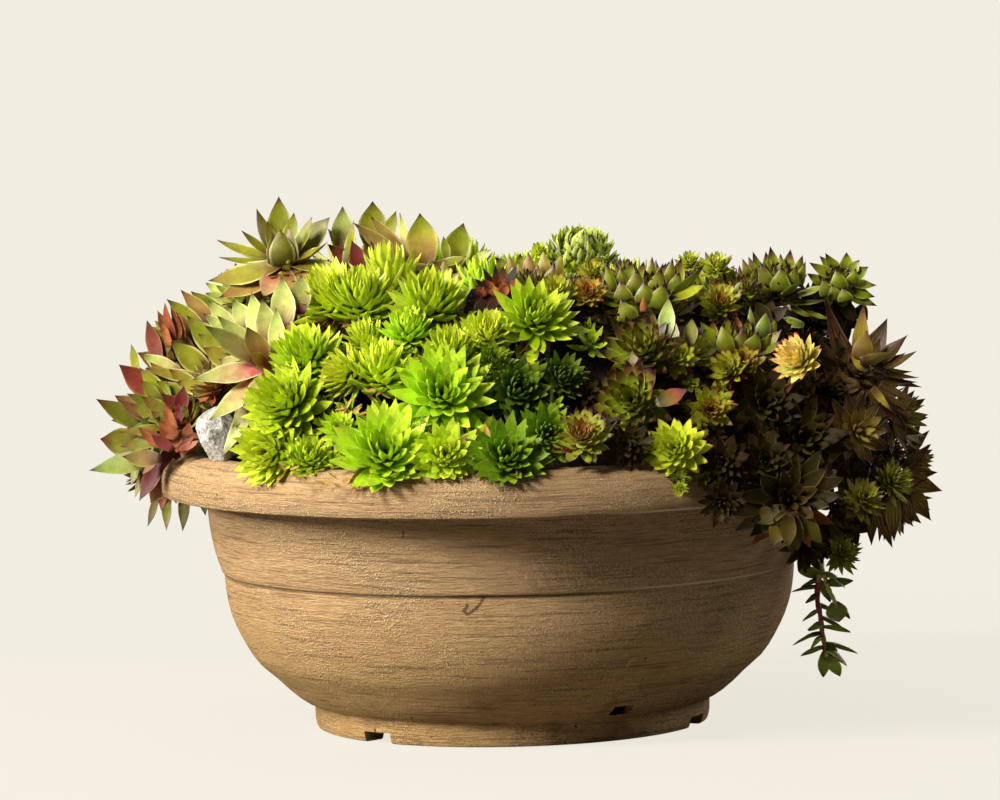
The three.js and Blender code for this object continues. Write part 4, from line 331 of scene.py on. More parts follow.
    ("olive_hen_9", "CG", 189.2, -31.0, 240.8, 186.0, -30.3, 249.9, 8.0, 0.0, 0.93, 0.36, 22, 0.6, 0, 2.4),
    ("olive_hen_9", "CG", 198.8, -25.0, 249.3, 201.2, -24.3, 258.3, 7.4, 0.0, 0.93, 0.36, 22, 0.6, 0, 2.4),
    ("olive_hen_9", "CD", 202.2, -21.0, 236.4, 207.7, -21.7, 228.3, 7.4, 0.0, 0.93, 0.36, 22, 0.6, 0, 2.1),
    ("olive_hen_9", "CD", 195.2, -23.0, 236.7, 200.7, -23.8, 227.5, 7.4, 0.0, 0.93, 0.36, 22, 0.6, 0, 2.1),
    ("olive_hen_6", "YG", 123.7, -110.0, 217.4, 121.9, -108.7, 233.5, 9.5, 0.0, 0.93, 0.36, 24, 0.6, 0, 3),
    ("olive_hen_6", "C", 130.0, -106.0, 218.1, 134.2, -104.9, 231.3, 8.9, 0.0, 0.93, 0.36, 24, 0.6, 0, 2.8),
    ("olive_hen_6", "C", 136.6, -108.0, 218.1, 141.9, -107.0, 229.6, 9.5, 0.0, 0.93, 0.36, 24, 0.6, 0, 2.8),
    ("olive_hen_6", "C", 142.4, -104.0, 218.8, 149.8, -103.2, 228.0, 7.2, 0.0, 0.93, 0.36, 22, 0.6, 0, 2.4),
    ("olive_hen_6", "YG", 121.3, -100.0, 217.8, 109.5, -98.6, 235.3, 8.4, 0.2, -0.87, 0.46, 22, 0.6, 0, 2.3),
    ("olive_hen_6", "YG", 117.8, -104.0, 217.1, 104.2, -103.0, 229.1, 8.4, 0.1, -0.82, 0.56, 22, 0.6, 0, 2.3),
    ("olive_hen_6", "C", 115.4, -108.0, 214.1, 102.2, -107.4, 221.6, 7.2, 0.1, -0.73, 0.68, 22, 0.6, 0, 2.0),
    ("olive_hen_6", "C", 117.1, -94.0, 220.8, 116.4, -92.7, 236.5, 6.7, 0.0, -0.95, 0.3, 22, 0.6, 0, 1.9),
    ("olive_hen_6", "C", 140.6, -106.0, 216.7, 156.9, -105.4, 224.1, 7.2, -0.21, -0.64, 0.74, 22, 0.6, 0, 2.0),
    ("olive_hen_6", "C", 144.9, -98.0, 220.5, 154.6, -97.2, 229.7, 7.3, -0.21, -0.83, 0.52, 22, 0.6, 0, 2.0),
    ("olive_hen_6", "RUST", 130.6, -94.0, 225.0, 130.4, -92.9, 237.8, 5.6, 0.0, -0.95, 0.3, 22, 0.6, 0.7, 1.6),
    ("olive_hen_6", "PG", 138.1, -90.0, 227.9, 138.5, -88.8, 242.4, 3.9, 0.0, 0.93, 0.36, 22, 0.6, 0, 1.1),
    ("olive_hen_6", "PG", 144.0, -96.0, 224.9, 146.5, -94.8, 239.3, 8.4, 0.0, 0.93, 0.36, 22, 0.6, 0, 2.8),
    ("olive_hen_6", "C", 148.5, -94.0, 225.7, 152.7, -93.1, 236.2, 5.0, 0.0, 0.93, 0.36, 22, 0.6, 0, 1.4),
    ("olive_hen_6", "C", 125.1, -92.0, 225.0, 124.3, -91.0, 237.3, 7.3, 0.0, -0.95, 0.3, 22, 0.6, 0, 2.0),
    ("olive_hen_6", "C", 135.1, -94.0, 222.7, 136.5, -92.9, 236.0, 7.3, 0.0, -0.95, 0.3, 22, 0.6, 0, 2.0),
    ("olive_hen_6", "C", 111.9, -110.0, 211.0, 105.3, -109.6, 215.6, 6.7, 0.0, -0.51, 0.86, 22, 0.6, 0, 1.9),
    ("olive_hen_6", "CD", 146.7, -104.0, 212.0, 159.0, -103.8, 214.5, 6.7, 0.0, -0.51, 0.86, 22, 0.6, 0, 1.9),
    ("green_hen_4", "ST", -73.5, -148.0, 200.5, -78.8, -147.5, 207.2, 2.6, 0.0, -0.8, 0.6, 50, 0.6, 1, 0.7),
    ("green_hen_4", "ST", -71.2, -148.0, 201.5, -66.7, -147.6, 206.9, 2.3, 0.0, -0.8, 0.6, 60, 0.6, 1, 0.6),
    ("green_hen_4", "ST", -75.6, -148.0, 201.6, -70.2, -148.3, 198.2, 2.0, 0.0, -0.8, 0.6, 50, 0.6, 1, 0.6),
    ("green_hen_4", "ST", -76.7, -148.0, 203.8, -71.1, -147.8, 205.9, 2.0, 0.0, -0.8, 0.6, 22, 0.6, 1, 0.6),
    ("green_hen_4", "ST", -69.0, -148.0, 203.7, -63.6, -148.3, 200.2, 1.7, 0.0, -0.8, 0.6, 60, 0.6, 1, 0.5),
    ("green_hen_4", "ST", -86.8, -154.0, 190.2, -92.1, -153.3, 199.1, 2.6, 0.0, -0.8, 0.6, 40, 0.6, 1, 0.7),
    ("green_hen_4", "ST", -85.6, -154.0, 192.4, -79.0, -153.6, 196.6, 2.3, 0.0, -0.8, 0.6, 50, 0.6, 1, 0.6),
    ("green_hen_4", "ST", -88.9, -154.0, 193.6, -84.3, -153.3, 202.2, 2.0, 0.0, -0.8, 0.6, 22, 0.6, 1, 0.6),
    ("green_hen_4", "ST", -87.8, -154.0, 195.8, -94.4, -154.1, 194.8, 1.6, 0.0, -0.8, 0.6, 22, 0.6, 1, 0.5),
    ("green_hen_4", "ST", -82.4, -154.0, 191.2, -75.7, -153.8, 193.3, 2.0, 0.0, -0.8, 0.6, 22, 0.6, 1, 0.6),
    ("green_hen_4", "ST", -79.0, -152.0, 197.6, -84.5, -152.3, 194.4, 1.6, 0.0, -0.8, 0.6, 60, 0.6, 1, 0.5),
    ("green_hen_4", "ST", -72.4, -152.0, 197.4, -78.0, -152.4, 193.2, 1.6, 0.0, -0.8, 0.6, 22, 0.6, 1, 0.5),
    ("green_hen_8", "ST", -58.2, -166.0, 182.9, -61.3, -165.3, 191.7, 2.3, 0.0, -0.8, 0.6, 50, 0.6, 1, 0.6),
    ("green_hen_8", "ST", -57.1, -166.0, 184.0, -51.5, -165.7, 187.1, 2.0, 0.0, -0.8, 0.6, 60, 0.6, 1, 0.6),
    ("green_hen_8", "ST", -60.3, -166.0, 185.1, -64.8, -166.3, 182.0, 1.6, 0.0, -0.8, 0.6, 22, 0.6, 1, 0.5),
    ("green_hen_8", "ST", -39.6, -172.0, 179.7, -42.7, -171.5, 186.3, 2.0, 0.0, -0.8, 0.6, 22, 0.6, 1, 0.6),
    ("green_hen_8", "ST", -38.5, -172.0, 180.8, -32.9, -171.7, 183.9, 2.0, 0.0, -0.8, 0.6, 22, 0.6, 1, 0.6),
    ("green_hen_6", "ST", -120.8, -176.0, 163.2, -125.1, -175.5, 168.8, 2.0, 0.0, -0.71, 0.71, 22, 0.6, 1, 0.6),
    ("green_hen_6", "ST", -118.6, -176.0, 164.3, -113.1, -175.8, 166.3, 2.0, 0.0, -0.71, 0.71, 22, 0.6, 1, 0.6),
    ("green_hen_6", "ST", -117.6, -176.0, 162.1, -112.2, -176.1, 160.3, 2.0, 0.0, -0.71, 0.71, 50, 0.6, 1, 0.6),
    ("green_hen_6", "ST", -122.0, -176.0, 161.1, -126.4, -176.2, 159.0, 1.6, 0.0, -0.71, 0.71, 22, 0.6, 1, 0.5),
    ("green_hen_6", "ST", -114.4, -176.0, 159.8, -109.0, -176.2, 157.5, 1.6, 0.0, -0.71, 0.71, 22, 0.6, 1, 0.5),
    ("green_hen_6", "ST", -124.2, -176.0, 158.9, -128.7, -176.3, 155.8, 1.3, 0.0, -0.71, 0.71, 22, 0.6, 1, 0.4),
    ("green_hen_6", "ST", -111.1, -176.0, 160.8, -105.6, -176.1, 159.6, 1.6, 0.0, -0.71, 0.71, 22, 0.6, 1, 0.5),
    ("green_hen_7", "ST", -96.7, -184.0, 159.1, -102.2, -184.3, 155.9, 2.3, 0.0, -0.71, 0.71, 40, 0.6, 1, 0.6),
    ("green_hen_7", "ST", -94.6, -184.0, 156.8, -89.2, -184.2, 154.5, 2.3, 0.0, -0.71, 0.71, 50, 0.6, 1, 0.6),
    ("green_hen_7", "ST", -90.2, -184.0, 157.8, -84.7, -183.8, 159.9, 2.0, 0.0, -0.71, 0.71, 22, 0.6, 1, 0.5),
    ("green_hen_7", "ST", -85.9, -184.0, 155.5, -79.3, -184.0, 155.4, 2.3, 0.0, -0.71, 0.71, 40, 0.6, 1, 0.6),
    ("green_hen_7", "ST", -80.4, -184.0, 157.6, -73.9, -184.2, 155.3, 2.0, 0.0, -0.71, 0.71, 22, 0.6, 1, 0.5),
    ("green_hen_7", "ST", -73.8, -184.0, 156.4, -67.4, -184.2, 154.0, 2.0, 0.0, -0.71, 0.71, 22, 0.6, 1, 0.5),
    ("green_hen_7", "ST", -93.4, -184.0, 160.1, -97.7, -183.7, 163.4, 2.0, 0.0, -0.71, 0.71, 22, 0.6, 1, 0.5),
    ("green_hen_7", "ST", -98.9, -184.0, 156.9, -105.4, -183.8, 159.2, 1.6, 0.0, -0.71, 0.71, 22, 0.6, 1, 0.5),
    ("green_hen_7", "ST", -65.1, -184.0, 156.2, -59.7, -184.1, 154.9, 1.6, 0.0, -0.71, 0.71, 22, 0.6, 1, 0.5),
    ("green_hen_7", "ST", -60.6, -184.0, 161.5, -55.1, -183.6, 165.7, 2.0, 0.0, -0.71, 0.71, 22, 0.6, 1, 0.5),
    ("green_hen_7", "ST", -57.3, -184.0, 162.5, -51.9, -183.9, 163.5, 1.6, 0.0, -0.71, 0.71, 22, 0.6, 1, 0.5),
    ("green_hen_7", "ST", -48.6, -184.0, 161.3, -53.1, -184.3, 158.1, 1.6, 0.0, -0.71, 0.71, 22, 0.6, 1, 0.5),
    ("green_hen_7", "ST", -92.4, -184.0, 155.7, -96.8, -184.3, 152.5, 1.3, 0.0, -0.71, 0.71, 22, 0.6, 1, 0.4),
    ("green_hen_7", "ST", -82.6, -184.0, 154.4, -86.0, -184.3, 151.2, 1.3, 0.0, -0.71, 0.71, 22, 0.6, 1, 0.4),
    ("green_hen_7", "ST", -53.0, -184.0, 160.3, -47.6, -184.2, 158.0, 1.6, 0.0, -0.71, 0.71, 22, 0.6, 1, 0.5),
    ("bronze_hen_6", "DB", 224.9, -40.0, 139.1, 247.5, -40.6, 131.8, 14.2, 0.1, -0.8, 0.6, 22, 0.6, 0.4, 4.0),
    ("bronze_hen_6", "D", 226.2, -30.0, 142.7, 242.5, -28.8, 157.2, 8.0, 0.41, -0.86, 0.3, 22, 0.6, 0, 2.2),
    ("bronze_hen_6", "D", 227.0, -34.0, 140.8, 245.3, -34.0, 141.0, 8.5, 0.41, -0.86, 0.3, 22, 0.6, 0, 2.4),
    ("bronze_hen_6", "D", 224.2, -40.0, 133.4, 240.9, -41.6, 114.4, 10.2, 0.1, -0.99, 0.1, 22, 0.6, 0, 2.9),
    ("bronze_hen_6", "D", 220.9, -38.0, 132.2, 229.6, -39.5, 113.3, 9.1, 0.0, -0.99, 0.1, 22, 0.6, 0, 2.5),
    ("bronze_hen_6", "D", 228.9, -26.0, 152.6, 241.8, -25.0, 164.9, 6.8, 0.41, -0.86, 0.3, 22, 0.6, 0, 1.9),
    ("bronze_hen_6", "D", 229.2, -24.0, 159.3, 236.8, -23.3, 168.3, 6.9, 0.41, -0.86, 0.3, 22, 0.6, 0, 1.9),
    ("bronze_hen_7", "DB", 206.6, -46.0, 124.2, 205.0, -47.9, 101.6, 8.5, 0.1, -0.99, 0.1, 22, 0.6, 0, 2.4),
    ("bronze_hen_7", "DB", 209.8, -50.0, 125.6, 216.1, -52.1, 100.0, 9.6, 0.1, -0.99, 0.1, 22, 0.6, 0, 2.7),
    ("bronze_hen_7", "D", 218.3, -52.0, 127.9, 218.3, -54.0, 104.2, 9.6, 0.1, -0.99, 0.1, 22, 0.6, 0, 2.7),
    ("bronze_hen_7", "D", 204.6, -42.0, 123.8, 203.2, -43.1, 110.2, 6.8, 0.1, -0.99, 0.1, 22, 0.6, 0, 1.9),
    ("bronze_hen_7", "DB", 221.9, -48.0, 128.6, 223.8, -49.3, 113.3, 6.8, 0.1, -0.99, 0.1, 22, 0.6, 0, 1.9),
    ("bronze_hen_7", "DB", 226.9, -50.0, 129.8, 229.4, -51.3, 114.5, 7.9, 0.1, -0.99, 0.1, 22, 0.6, 0, 2.2),
    ("bronze_hen_7", "D", 230.8, -52.0, 132.2, 238.9, -53.4, 115.6, 8.5, 0.1, -0.99, 0.1, 22, 0.6, 0, 2.4),
    ("bronze_hen_7", "D", 213.8, -40.0, 122.3, 214.6, -41.1, 108.6, 6.8, 0.1, -0.99, 0.1, 22, 0.6, 0, 1.9),
    ("bronze_hen_7", "DL", 190.3, -70.0, 109.9, 205.1, -69.3, 118.6, 6.8, 0.0, -0.6, 0.8, 22, 0.6, 0, 1.9),
    ("bronze_hen_7", "DB", 192.7, -68.0, 115.3, 207.6, -67.4, 122.9, 6.2, 0.0, -0.6, 0.8, 22, 0.6, 0, 1.7),
    ("blue_hen_4", "AR", -208.2, -20.0, 183.7, -183.2, -20.4, 178.1, 14.2, 0.0, -0.91, 0.41, 14, 0.6, 0, 4.0),
    ("blue_hen_4", "AR", -206.1, -23.0, 186.9, -189.6, -24.9, 163.9, 14.2, 0.0, -0.91, 0.41, 14, 0.6, 0, 4.0),
    ("blue_hen_4", "AR", -202.7, -26.0, 188.1, -204.0, -28.2, 161.0, 14.1, 0.0, -0.91, 0.41, 14, 0.6, 0, 4.0),
    ("blue_hen_4", "AR", -199.8, -20.0, 186.3, -217.2, -21.6, 167.6, 14.2, 0.0, -0.91, 0.41, 14, 0.6, 0, 4.0),
    ("blue_hen_4", "AR", -198.1, -23.0, 183.5, -225.2, -23.3, 179.8, 14.2, 0.0, -0.91, 0.41, 14, 0.6, 0, 4.0),
    ("blue_hen_4", "AR", -198.7, -26.0, 180.4, -223.1, -24.8, 195.1, 14.1, 0.0, -0.91, 0.41, 14, 0.6, 0, 4.0),
    ("blue_hen_4", "AR", -201.8, -20.0, 177.8, -209.4, -18.0, 202.1, 14.2, 0.0, -0.91, 0.41, 14, 0.6, 0, 4.0),
    ("blue_hen_4", "AR", -205.1, -23.0, 178.2, -194.5, -20.8, 204.9, 14.2, 0.0, -0.91, 0.41, 14, 0.6, 0, 4.0),
    ("blue_hen_4", "AR", -207.4, -26.0, 180.8, -181.7, -25.0, 193.2, 14.1, 0.0, -0.91, 0.41, 14, 0.6, 0, 4.0),
    ("blue_hen_3", "AR", -197.8, 10.0, 210.5, -177.8, 9.3, 201.5, 12.1, 0.0, -0.91, 0.41, 14, 0.6, 0, 3.4),
    ("blue_hen_3", "AR", -195.2, 7.0, 213.0, -186.9, 5.1, 189.9, 12.1, 0.0, -0.91, 0.41, 14, 0.6, 0, 3.4),
    ("blue_hen_3", "AR", -191.7, 4.0, 213.1, -201.9, 2.2, 191.9, 12.1, 0.0, -0.91, 0.41, 14, 0.6, 0, 3.4),
    ("blue_hen_3", "AR", -189.8, 10.0, 210.3, -210.3, 9.3, 202.5, 12.1, 0.0, -0.91, 0.41, 14, 0.6, 0, 3.4),
    ("blue_hen_3", "AR", -189.8, 7.0, 207.2, -211.1, 7.8, 217.3, 12.1, 0.0, -0.91, 0.41, 14, 0.6, 0, 3.4),
    ("blue_hen_3", "AR", -192.0, 4.0, 205.2, -200.9, 5.8, 226.9, 12.1, 0.0, -0.91, 0.41, 14, 0.6, 0, 3.4),
    ("blue_hen_3", "AR", -195.6, 10.0, 204.8, -186.6, 11.6, 224.7, 12.1, 0.0, -0.91, 0.41, 14, 0.6, 0, 3.4),
    ("blue_hen_3", "AR", -197.7, 7.0, 207.4, -175.9, 7.7, 216.2, 12.1, 0.0, -0.91, 0.41, 14, 0.6, 0, 3.4),
    ("blue_hen_4", "MAR", -196.2, -36.0, 170.5, -177.3, -36.2, 168.1, 10.6, 0.0, -0.91, 0.41, 14, 0.6, 0, 3.0),
    ("blue_hen_4", "MAR", -194.6, -39.0, 173.2, -182.1, -40.4, 156.2, 10.6, 0.0, -0.91, 0.41, 14, 0.6, 0, 3.0),
    ("blue_hen_4", "MAR", -191.7, -42.0, 174.3, -194.3, -43.7, 154.1, 10.6, 0.0, -0.91, 0.41, 14, 0.6, 0, 3.0),
    ("blue_hen_4", "MAR", -189.5, -36.0, 172.3, -204.6, -37.0, 160.6, 10.6, 0.0, -0.91, 0.41, 14, 0.6, 0, 3.0),
    ("blue_hen_4", "MAR", -188.6, -39.0, 169.8, -208.8, -38.8, 172.4, 10.6, 0.0, -0.91, 0.41, 14, 0.6, 0, 3.0),
    ("blue_hen_4", "MAR", -189.9, -42.0, 167.6, -203.2, -40.7, 183.6, 10.6, 0.0, -0.91, 0.41, 14, 0.6, 0, 3.0),
    ("blue_hen_4", "MAR", -193.0, -36.0, 166.3, -190.6, -34.4, 185.2, 10.6, 0.0, -0.91, 0.41, 14, 0.6, 0, 3.0),
    ("blue_hen_4", "MAR", -195.3, -39.0, 168.0, -179.2, -37.9, 181.3, 10.6, 0.0, -0.91, 0.41, 14, 0.6, 0, 3.0),
    ("blue_hen_4", "MAR", -186.9, -60.0, 189.9, -171.9, -60.4, 184.9, 8.8, 0.0, -0.91, 0.41, 14, 0.6, 0, 2.5),
    ("blue_hen_4", "MAR", -184.8, -63.0, 192.1, -179.1, -64.4, 175.4, 8.7, 0.0, -0.91, 0.41, 14, 0.6, 0, 2.4),
    ("blue_hen_4", "MAR", -182.0, -66.0, 192.1, -191.3, -67.2, 177.8, 8.7, 0.0, -0.91, 0.41, 14, 0.6, 0, 2.4),
    ("blue_hen_4", "MAR", -180.9, -60.0, 189.3, -196.6, -60.2, 187.4, 8.8, 0.0, -0.91, 0.41, 14, 0.6, 0, 2.5),
    ("blue_hen_4", "MAR", -181.6, -63.0, 187.0, -193.6, -62.0, 199.5, 8.7, 0.0, -0.91, 0.41, 14, 0.6, 0, 2.4),
    ("blue_hen_4", "MAR", -183.9, -66.0, 186.4, -182.2, -64.6, 203.1, 8.7, 0.0, -0.91, 0.41, 14, 0.6, 0, 2.4),
    ("blue_hen_4", "MAR", -186.6, -60.0, 187.3, -173.3, -59.3, 195.8, 8.8, 0.0, -0.91, 0.41, 14, 0.6, 0, 2.5),
    ("blue_hen_4", "RUST", -182.1, -68.0, 174.2, -174.4, -68.7, 165.9, 6.3, 0.0, -0.91, 0.41, 14, 0.6, 0, 1.8),
    ("blue_hen_4", "RUST", -179.8, -71.0, 175.0, -183.4, -72.0, 162.7, 6.3, 0.0, -0.91, 0.41, 14, 0.6, 0, 1.8),
    ("blue_hen_4", "RUST", -178.1, -74.0, 173.6, -190.7, -74.2, 170.9, 6.3, 0.0, -0.91, 0.41, 14, 0.6, 0, 1.8),
    ("blue_hen_4", "RUST", -179.1, -68.0, 170.9, -186.8, -67.3, 179.2, 6.3, 0.0, -0.91, 0.41, 14, 0.6, 0, 1.8),
    ("blue_hen_4", "RUST", -181.1, -71.0, 170.7, -177.5, -70.0, 183.0, 6.3, 0.0, -0.91, 0.41, 14, 0.6, 0, 1.8),
    ("blue_hen_4", "RUST", -182.5, -74.0, 172.6, -169.9, -73.8, 175.3, 6.3, 0.0, -0.91, 0.41, 14, 0.6, 0, 1.8),
    # The fans of dark CD leaves below fill gaps in the shaded right-hand mass: painted shade.
    ("olive_hen_8", "CD", 178.0, -8.0, 237.9, 194.3, -8.3, 234.2, 9.2, 0.0, -0.91, 0.41, 14, 0.6, 0, 2.6),
    ("olive_hen_8", "CD", 179.1, -11.0, 240.0, 189.8, -12.2, 225.0, 9.2, 0.0, -0.91, 0.41, 14, 0.6, 0, 2.6),
    ("olive_hen_8", "CD", 181.0, -14.0, 240.8, 180.1, -15.5, 223.2, 9.2, 0.0, -0.91, 0.41, 14, 0.6, 0, 2.6),
    ("olive_hen_8", "CD", 183.4, -8.0, 239.6, 172.1, -9.0, 227.4, 9.2, 0.0, -0.91, 0.41, 14, 0.6, 0, 2.6),
    ("olive_hen_8", "CD", 184.3, -11.0, 237.8, 166.7, -11.2, 235.4, 9.2, 0.0, -0.91, 0.41, 14, 0.6, 0, 2.6),
    ("olive_hen_8", "CD", 183.6, -14.0, 235.8, 167.8, -13.2, 245.4, 9.2, 0.0, -0.91, 0.41, 14, 0.6, 0, 2.6),
    ("olive_hen_8", "CD", 182.2, -8.0, 234.0, 177.2, -6.7, 249.9, 9.2, 0.0, -0.91, 0.41, 14, 0.6, 0, 2.6),
    ("olive_hen_8", "CD", 179.8, -11.0, 234.3, 186.7, -9.6, 251.7, 9.2, 0.0, -0.91, 0.41, 14, 0.6, 0, 2.6),
    ("olive_hen_8", "CD", 178.0, -14.0, 236.1, 194.8, -13.3, 244.2, 9.2, 0.0, -0.91, 0.41, 14, 0.6, 0, 2.6),
    ("bronze_hen_5", "CD", 189.8, -90.0, 132.9, 205.7, -90.3, 129.3, 9.0, 0.0, -0.91, 0.41, 14, 0.6, 0, 2.5),
    ("bronze_hen_5", "CD", 191.0, -93.0, 135.3, 200.3, -94.3, 119.7, 9.0, 0.0, -0.91, 0.41, 14, 0.6, 0, 2.5),
    ("bronze_hen_5", "CD", 193.3, -96.0, 136.0, 189.2, -97.4, 119.1, 9.0, 0.0, -0.91, 0.41, 14, 0.6, 0, 2.5),
    ("bronze_hen_5", "CD", 195.6, -90.0, 133.9, 181.8, -90.7, 125.3, 9.0, 0.0, -0.91, 0.41, 14, 0.6, 0, 2.5),
    ("bronze_hen_5", "CD", 195.9, -93.0, 131.8, 178.9, -92.7, 135.9, 9.0, 0.0, -0.91, 0.41, 14, 0.6, 0, 2.5),
    ("bronze_hen_5", "CD", 194.3, -96.0, 130.1, 184.4, -94.8, 144.8, 9.0, 0.0, -0.91, 0.41, 14, 0.6, 0, 2.5),
    ("bronze_hen_5", "CD", 192.2, -90.0, 129.1, 195.8, -88.7, 145.0, 9.0, 0.0, -0.91, 0.41, 14, 0.6, 0, 2.5),
    ("bronze_hen_5", "CD", 190.0, -93.0, 130.8, 204.8, -92.2, 140.7, 9.0, 0.0, -0.91, 0.41, 14, 0.6, 0, 2.5),
    ("bronze_hen_5", "CD", 182.0, -96.0, 114.1, 194.0, -96.6, 107.3, 7.6, 0.0, -0.91, 0.41, 14, 0.6, 0, 2.1),
    ("bronze_hen_5", "CD", 183.5, -99.0, 115.7, 187.3, -100.2, 100.7, 7.6, 0.0, -0.91, 0.41, 14, 0.6, 0, 2.1),
    ("bronze_hen_5", "CD", 185.4, -102.0, 115.7, 177.6, -103.1, 103.1, 7.6, 0.0, -0.91, 0.41, 14, 0.6, 0, 2.1),
    ("bronze_hen_5", "CD", 187.0, -96.0, 113.5, 173.7, -96.3, 109.9, 7.6, 0.0, -0.91, 0.41, 14, 0.6, 0, 2.1),
    ("bronze_hen_5", "CD", 186.6, -99.0, 111.7, 173.8, -98.4, 119.5, 7.6, 0.0, -0.91, 0.41, 14, 0.6, 0, 2.1),
    ("bronze_hen_5", "CD", 184.8, -102.0, 110.8, 180.7, -100.8, 124.9, 7.6, 0.0, -0.91, 0.41, 14, 0.6, 0, 2.1),
    ("bronze_hen_5", "CD", 183.0, -96.0, 110.4, 189.9, -95.0, 122.3, 7.6, 0.0, -0.91, 0.41, 14, 0.6, 0, 2.1),
    ("bronze_hen_5", "CD", 181.6, -99.0, 112.4, 195.8, -98.7, 116.4, 7.6, 0.0, -0.91, 0.41, 14, 0.6, 0, 2.1),
    ("olive_hen_6", "CD", 150.8, -70.0, 227.4, 161.8, -70.5, 221.1, 7.0, 0.0, -0.91, 0.41, 14, 0.6, 0, 2.0),
    ("olive_hen_6", "CD", 152.5, -73.0, 228.8, 154.5, -74.2, 214.8, 7.0, 0.0, -0.91, 0.41, 14, 0.6, 0, 2.0),
    ("olive_hen_6", "CD", 154.4, -76.0, 228.4, 144.7, -76.8, 218.6, 7.0, 0.0, -0.91, 0.41, 14, 0.6, 0, 1.9),
    ("olive_hen_6", "CD", 155.5, -70.0, 226.0, 142.9, -69.9, 226.9, 7.0, 0.0, -0.91, 0.41, 14, 0.6, 0, 2.0),
    ("olive_hen_6", "CD", 154.3, -73.0, 224.3, 146.7, -72.0, 236.1, 7.0, 0.0, -0.91, 0.41, 14, 0.6, 0, 2.0),
    ("olive_hen_6", "CD", 152.0, -76.0, 224.2, 156.2, -74.9, 237.0, 7.0, 0.0, -0.91, 0.41, 14, 0.6, 0, 2.0),
    ("olive_hen_6", "CD", 150.7, -70.0, 225.3, 162.4, -69.6, 229.8, 7.0, 0.0, -0.91, 0.41, 14, 0.6, 0, 2.0),
    ("olive_hen_7", "CD", 108.0, -60.0, 229.0, 121.1, -60.6, 221.5, 8.4, 0.0, -0.91, 0.41, 14, 0.6, 0, 2.4),
    ("olive_hen_7", "CD", 109.7, -63.0, 230.6, 113.9, -64.4, 214.1, 8.4, 0.0, -0.91, 0.41, 14, 0.6, 0, 2.3),
    ("olive_hen_7", "CD", 111.9, -66.0, 230.6, 103.3, -67.2, 216.6, 8.4, 0.0, -0.91, 0.41, 14, 0.6, 0, 2.3),
    ("olive_hen_7", "CD", 113.4, -60.0, 228.3, 98.8, -60.3, 224.4, 8.4, 0.0, -0.91, 0.41, 14, 0.6, 0, 2.4),
    ("olive_hen_7", "CD", 113.1, -63.0, 226.3, 99.1, -62.3, 234.8, 8.4, 0.0, -0.91, 0.41, 14, 0.6, 0, 2.3),
    ("olive_hen_7", "CD", 111.2, -66.0, 225.1, 106.7, -64.7, 240.6, 8.4, 0.0, -0.91, 0.41, 14, 0.6, 0, 2.3),
    ("olive_hen_7", "CD", 109.1, -60.0, 225.0, 116.7, -58.9, 238.1, 8.4, 0.0, -0.91, 0.41, 14, 0.6, 0, 2.4),
    ("olive_hen_7", "CD", 107.6, -63.0, 227.0, 123.2, -62.6, 231.5, 8.4, 0.0, -0.91, 0.41, 14, 0.6, 0, 2.3),
    ("olive_hen_9", "CD", 191.2, -4.0, 230.1, 204.6, -4.6, 222.4, 8.5, 0.0, -0.91, 0.41, 14, 0.6, 0, 2.4),
    ("olive_hen_9", "CD", 192.9, -7.0, 231.7, 197.1, -8.4, 214.9, 8.5, 0.0, -0.91, 0.41, 14, 0.6, 0, 2.4),
    ("olive_hen_9", "CD", 195.0, -10.0, 231.6, 186.3, -11.2, 217.5, 8.5, 0.0, -0.91, 0.41, 14, 0.6, 0, 2.4),
    ("olive_hen_9", "CD", 196.8, -4.0, 229.4, 181.9, -4.3, 225.4, 8.5, 0.0, -0.91, 0.41, 14, 0.6, 0, 2.4),
    ("olive_hen_9", "CD", 196.3, -7.0, 227.3, 182.1, -6.3, 235.9, 8.5, 0.0, -0.91, 0.41, 14, 0.6, 0, 2.4),
    ("olive_hen_9", "CD", 194.3, -10.0, 226.1, 189.8, -8.7, 241.9, 8.5, 0.0, -0.91, 0.41, 14, 0.6, 0, 2.4),
    ("olive_hen_9", "CD", 192.4, -4.0, 225.9, 200.1, -2.9, 239.2, 8.5, 0.0, -0.91, 0.41, 14, 0.6, 0, 2.4),
    ("olive_hen_9", "CD", 190.8, -7.0, 228.0, 206.6, -6.6, 232.5, 8.5, 0.0, -0.91, 0.41, 14, 0.6, 0, 2.4),
    ("bronze_hen_1", "CD", 160.5, -70.0, 190.8, 176.0, -70.4, 185.6, 9.1, 0.0, -0.91, 0.41, 14, 0.6, 0, 2.5),
    ("bronze_hen_1", "CD", 162.0, -73.0, 192.9, 169.7, -74.4, 176.4, 9.1, 0.0, -0.91, 0.41, 14, 0.6, 0, 2.5),
    ("bronze_hen_1", "CD", 164.3, -76.0, 193.3, 158.4, -77.4, 176.8, 9.1, 0.0, -0.91, 0.41, 14, 0.6, 0, 2.5),
    ("bronze_hen_1", "CD", 166.4, -70.0, 191.2, 151.8, -70.6, 183.9, 9.1, 0.0, -0.91, 0.41, 14, 0.6, 0, 2.5),
    ("bronze_hen_1", "CD", 166.5, -73.0, 189.0, 149.9, -72.5, 194.9, 9.1, 0.0, -0.91, 0.41, 14, 0.6, 0, 2.5),
    ("bronze_hen_1", "CD", 164.7, -76.0, 187.4, 156.4, -74.7, 203.0, 9.1, 0.0, -0.91, 0.41, 14, 0.6, 0, 2.5),
    ("bronze_hen_1", "CD", 162.5, -70.0, 186.7, 167.7, -68.7, 202.2, 9.1, 0.0, -0.91, 0.41, 14, 0.6, 0, 2.5),
    ("bronze_hen_1", "CD", 160.5, -73.0, 188.6, 176.2, -72.3, 196.9, 9.1, 0.0, -0.91, 0.41, 14, 0.6, 0, 2.5),
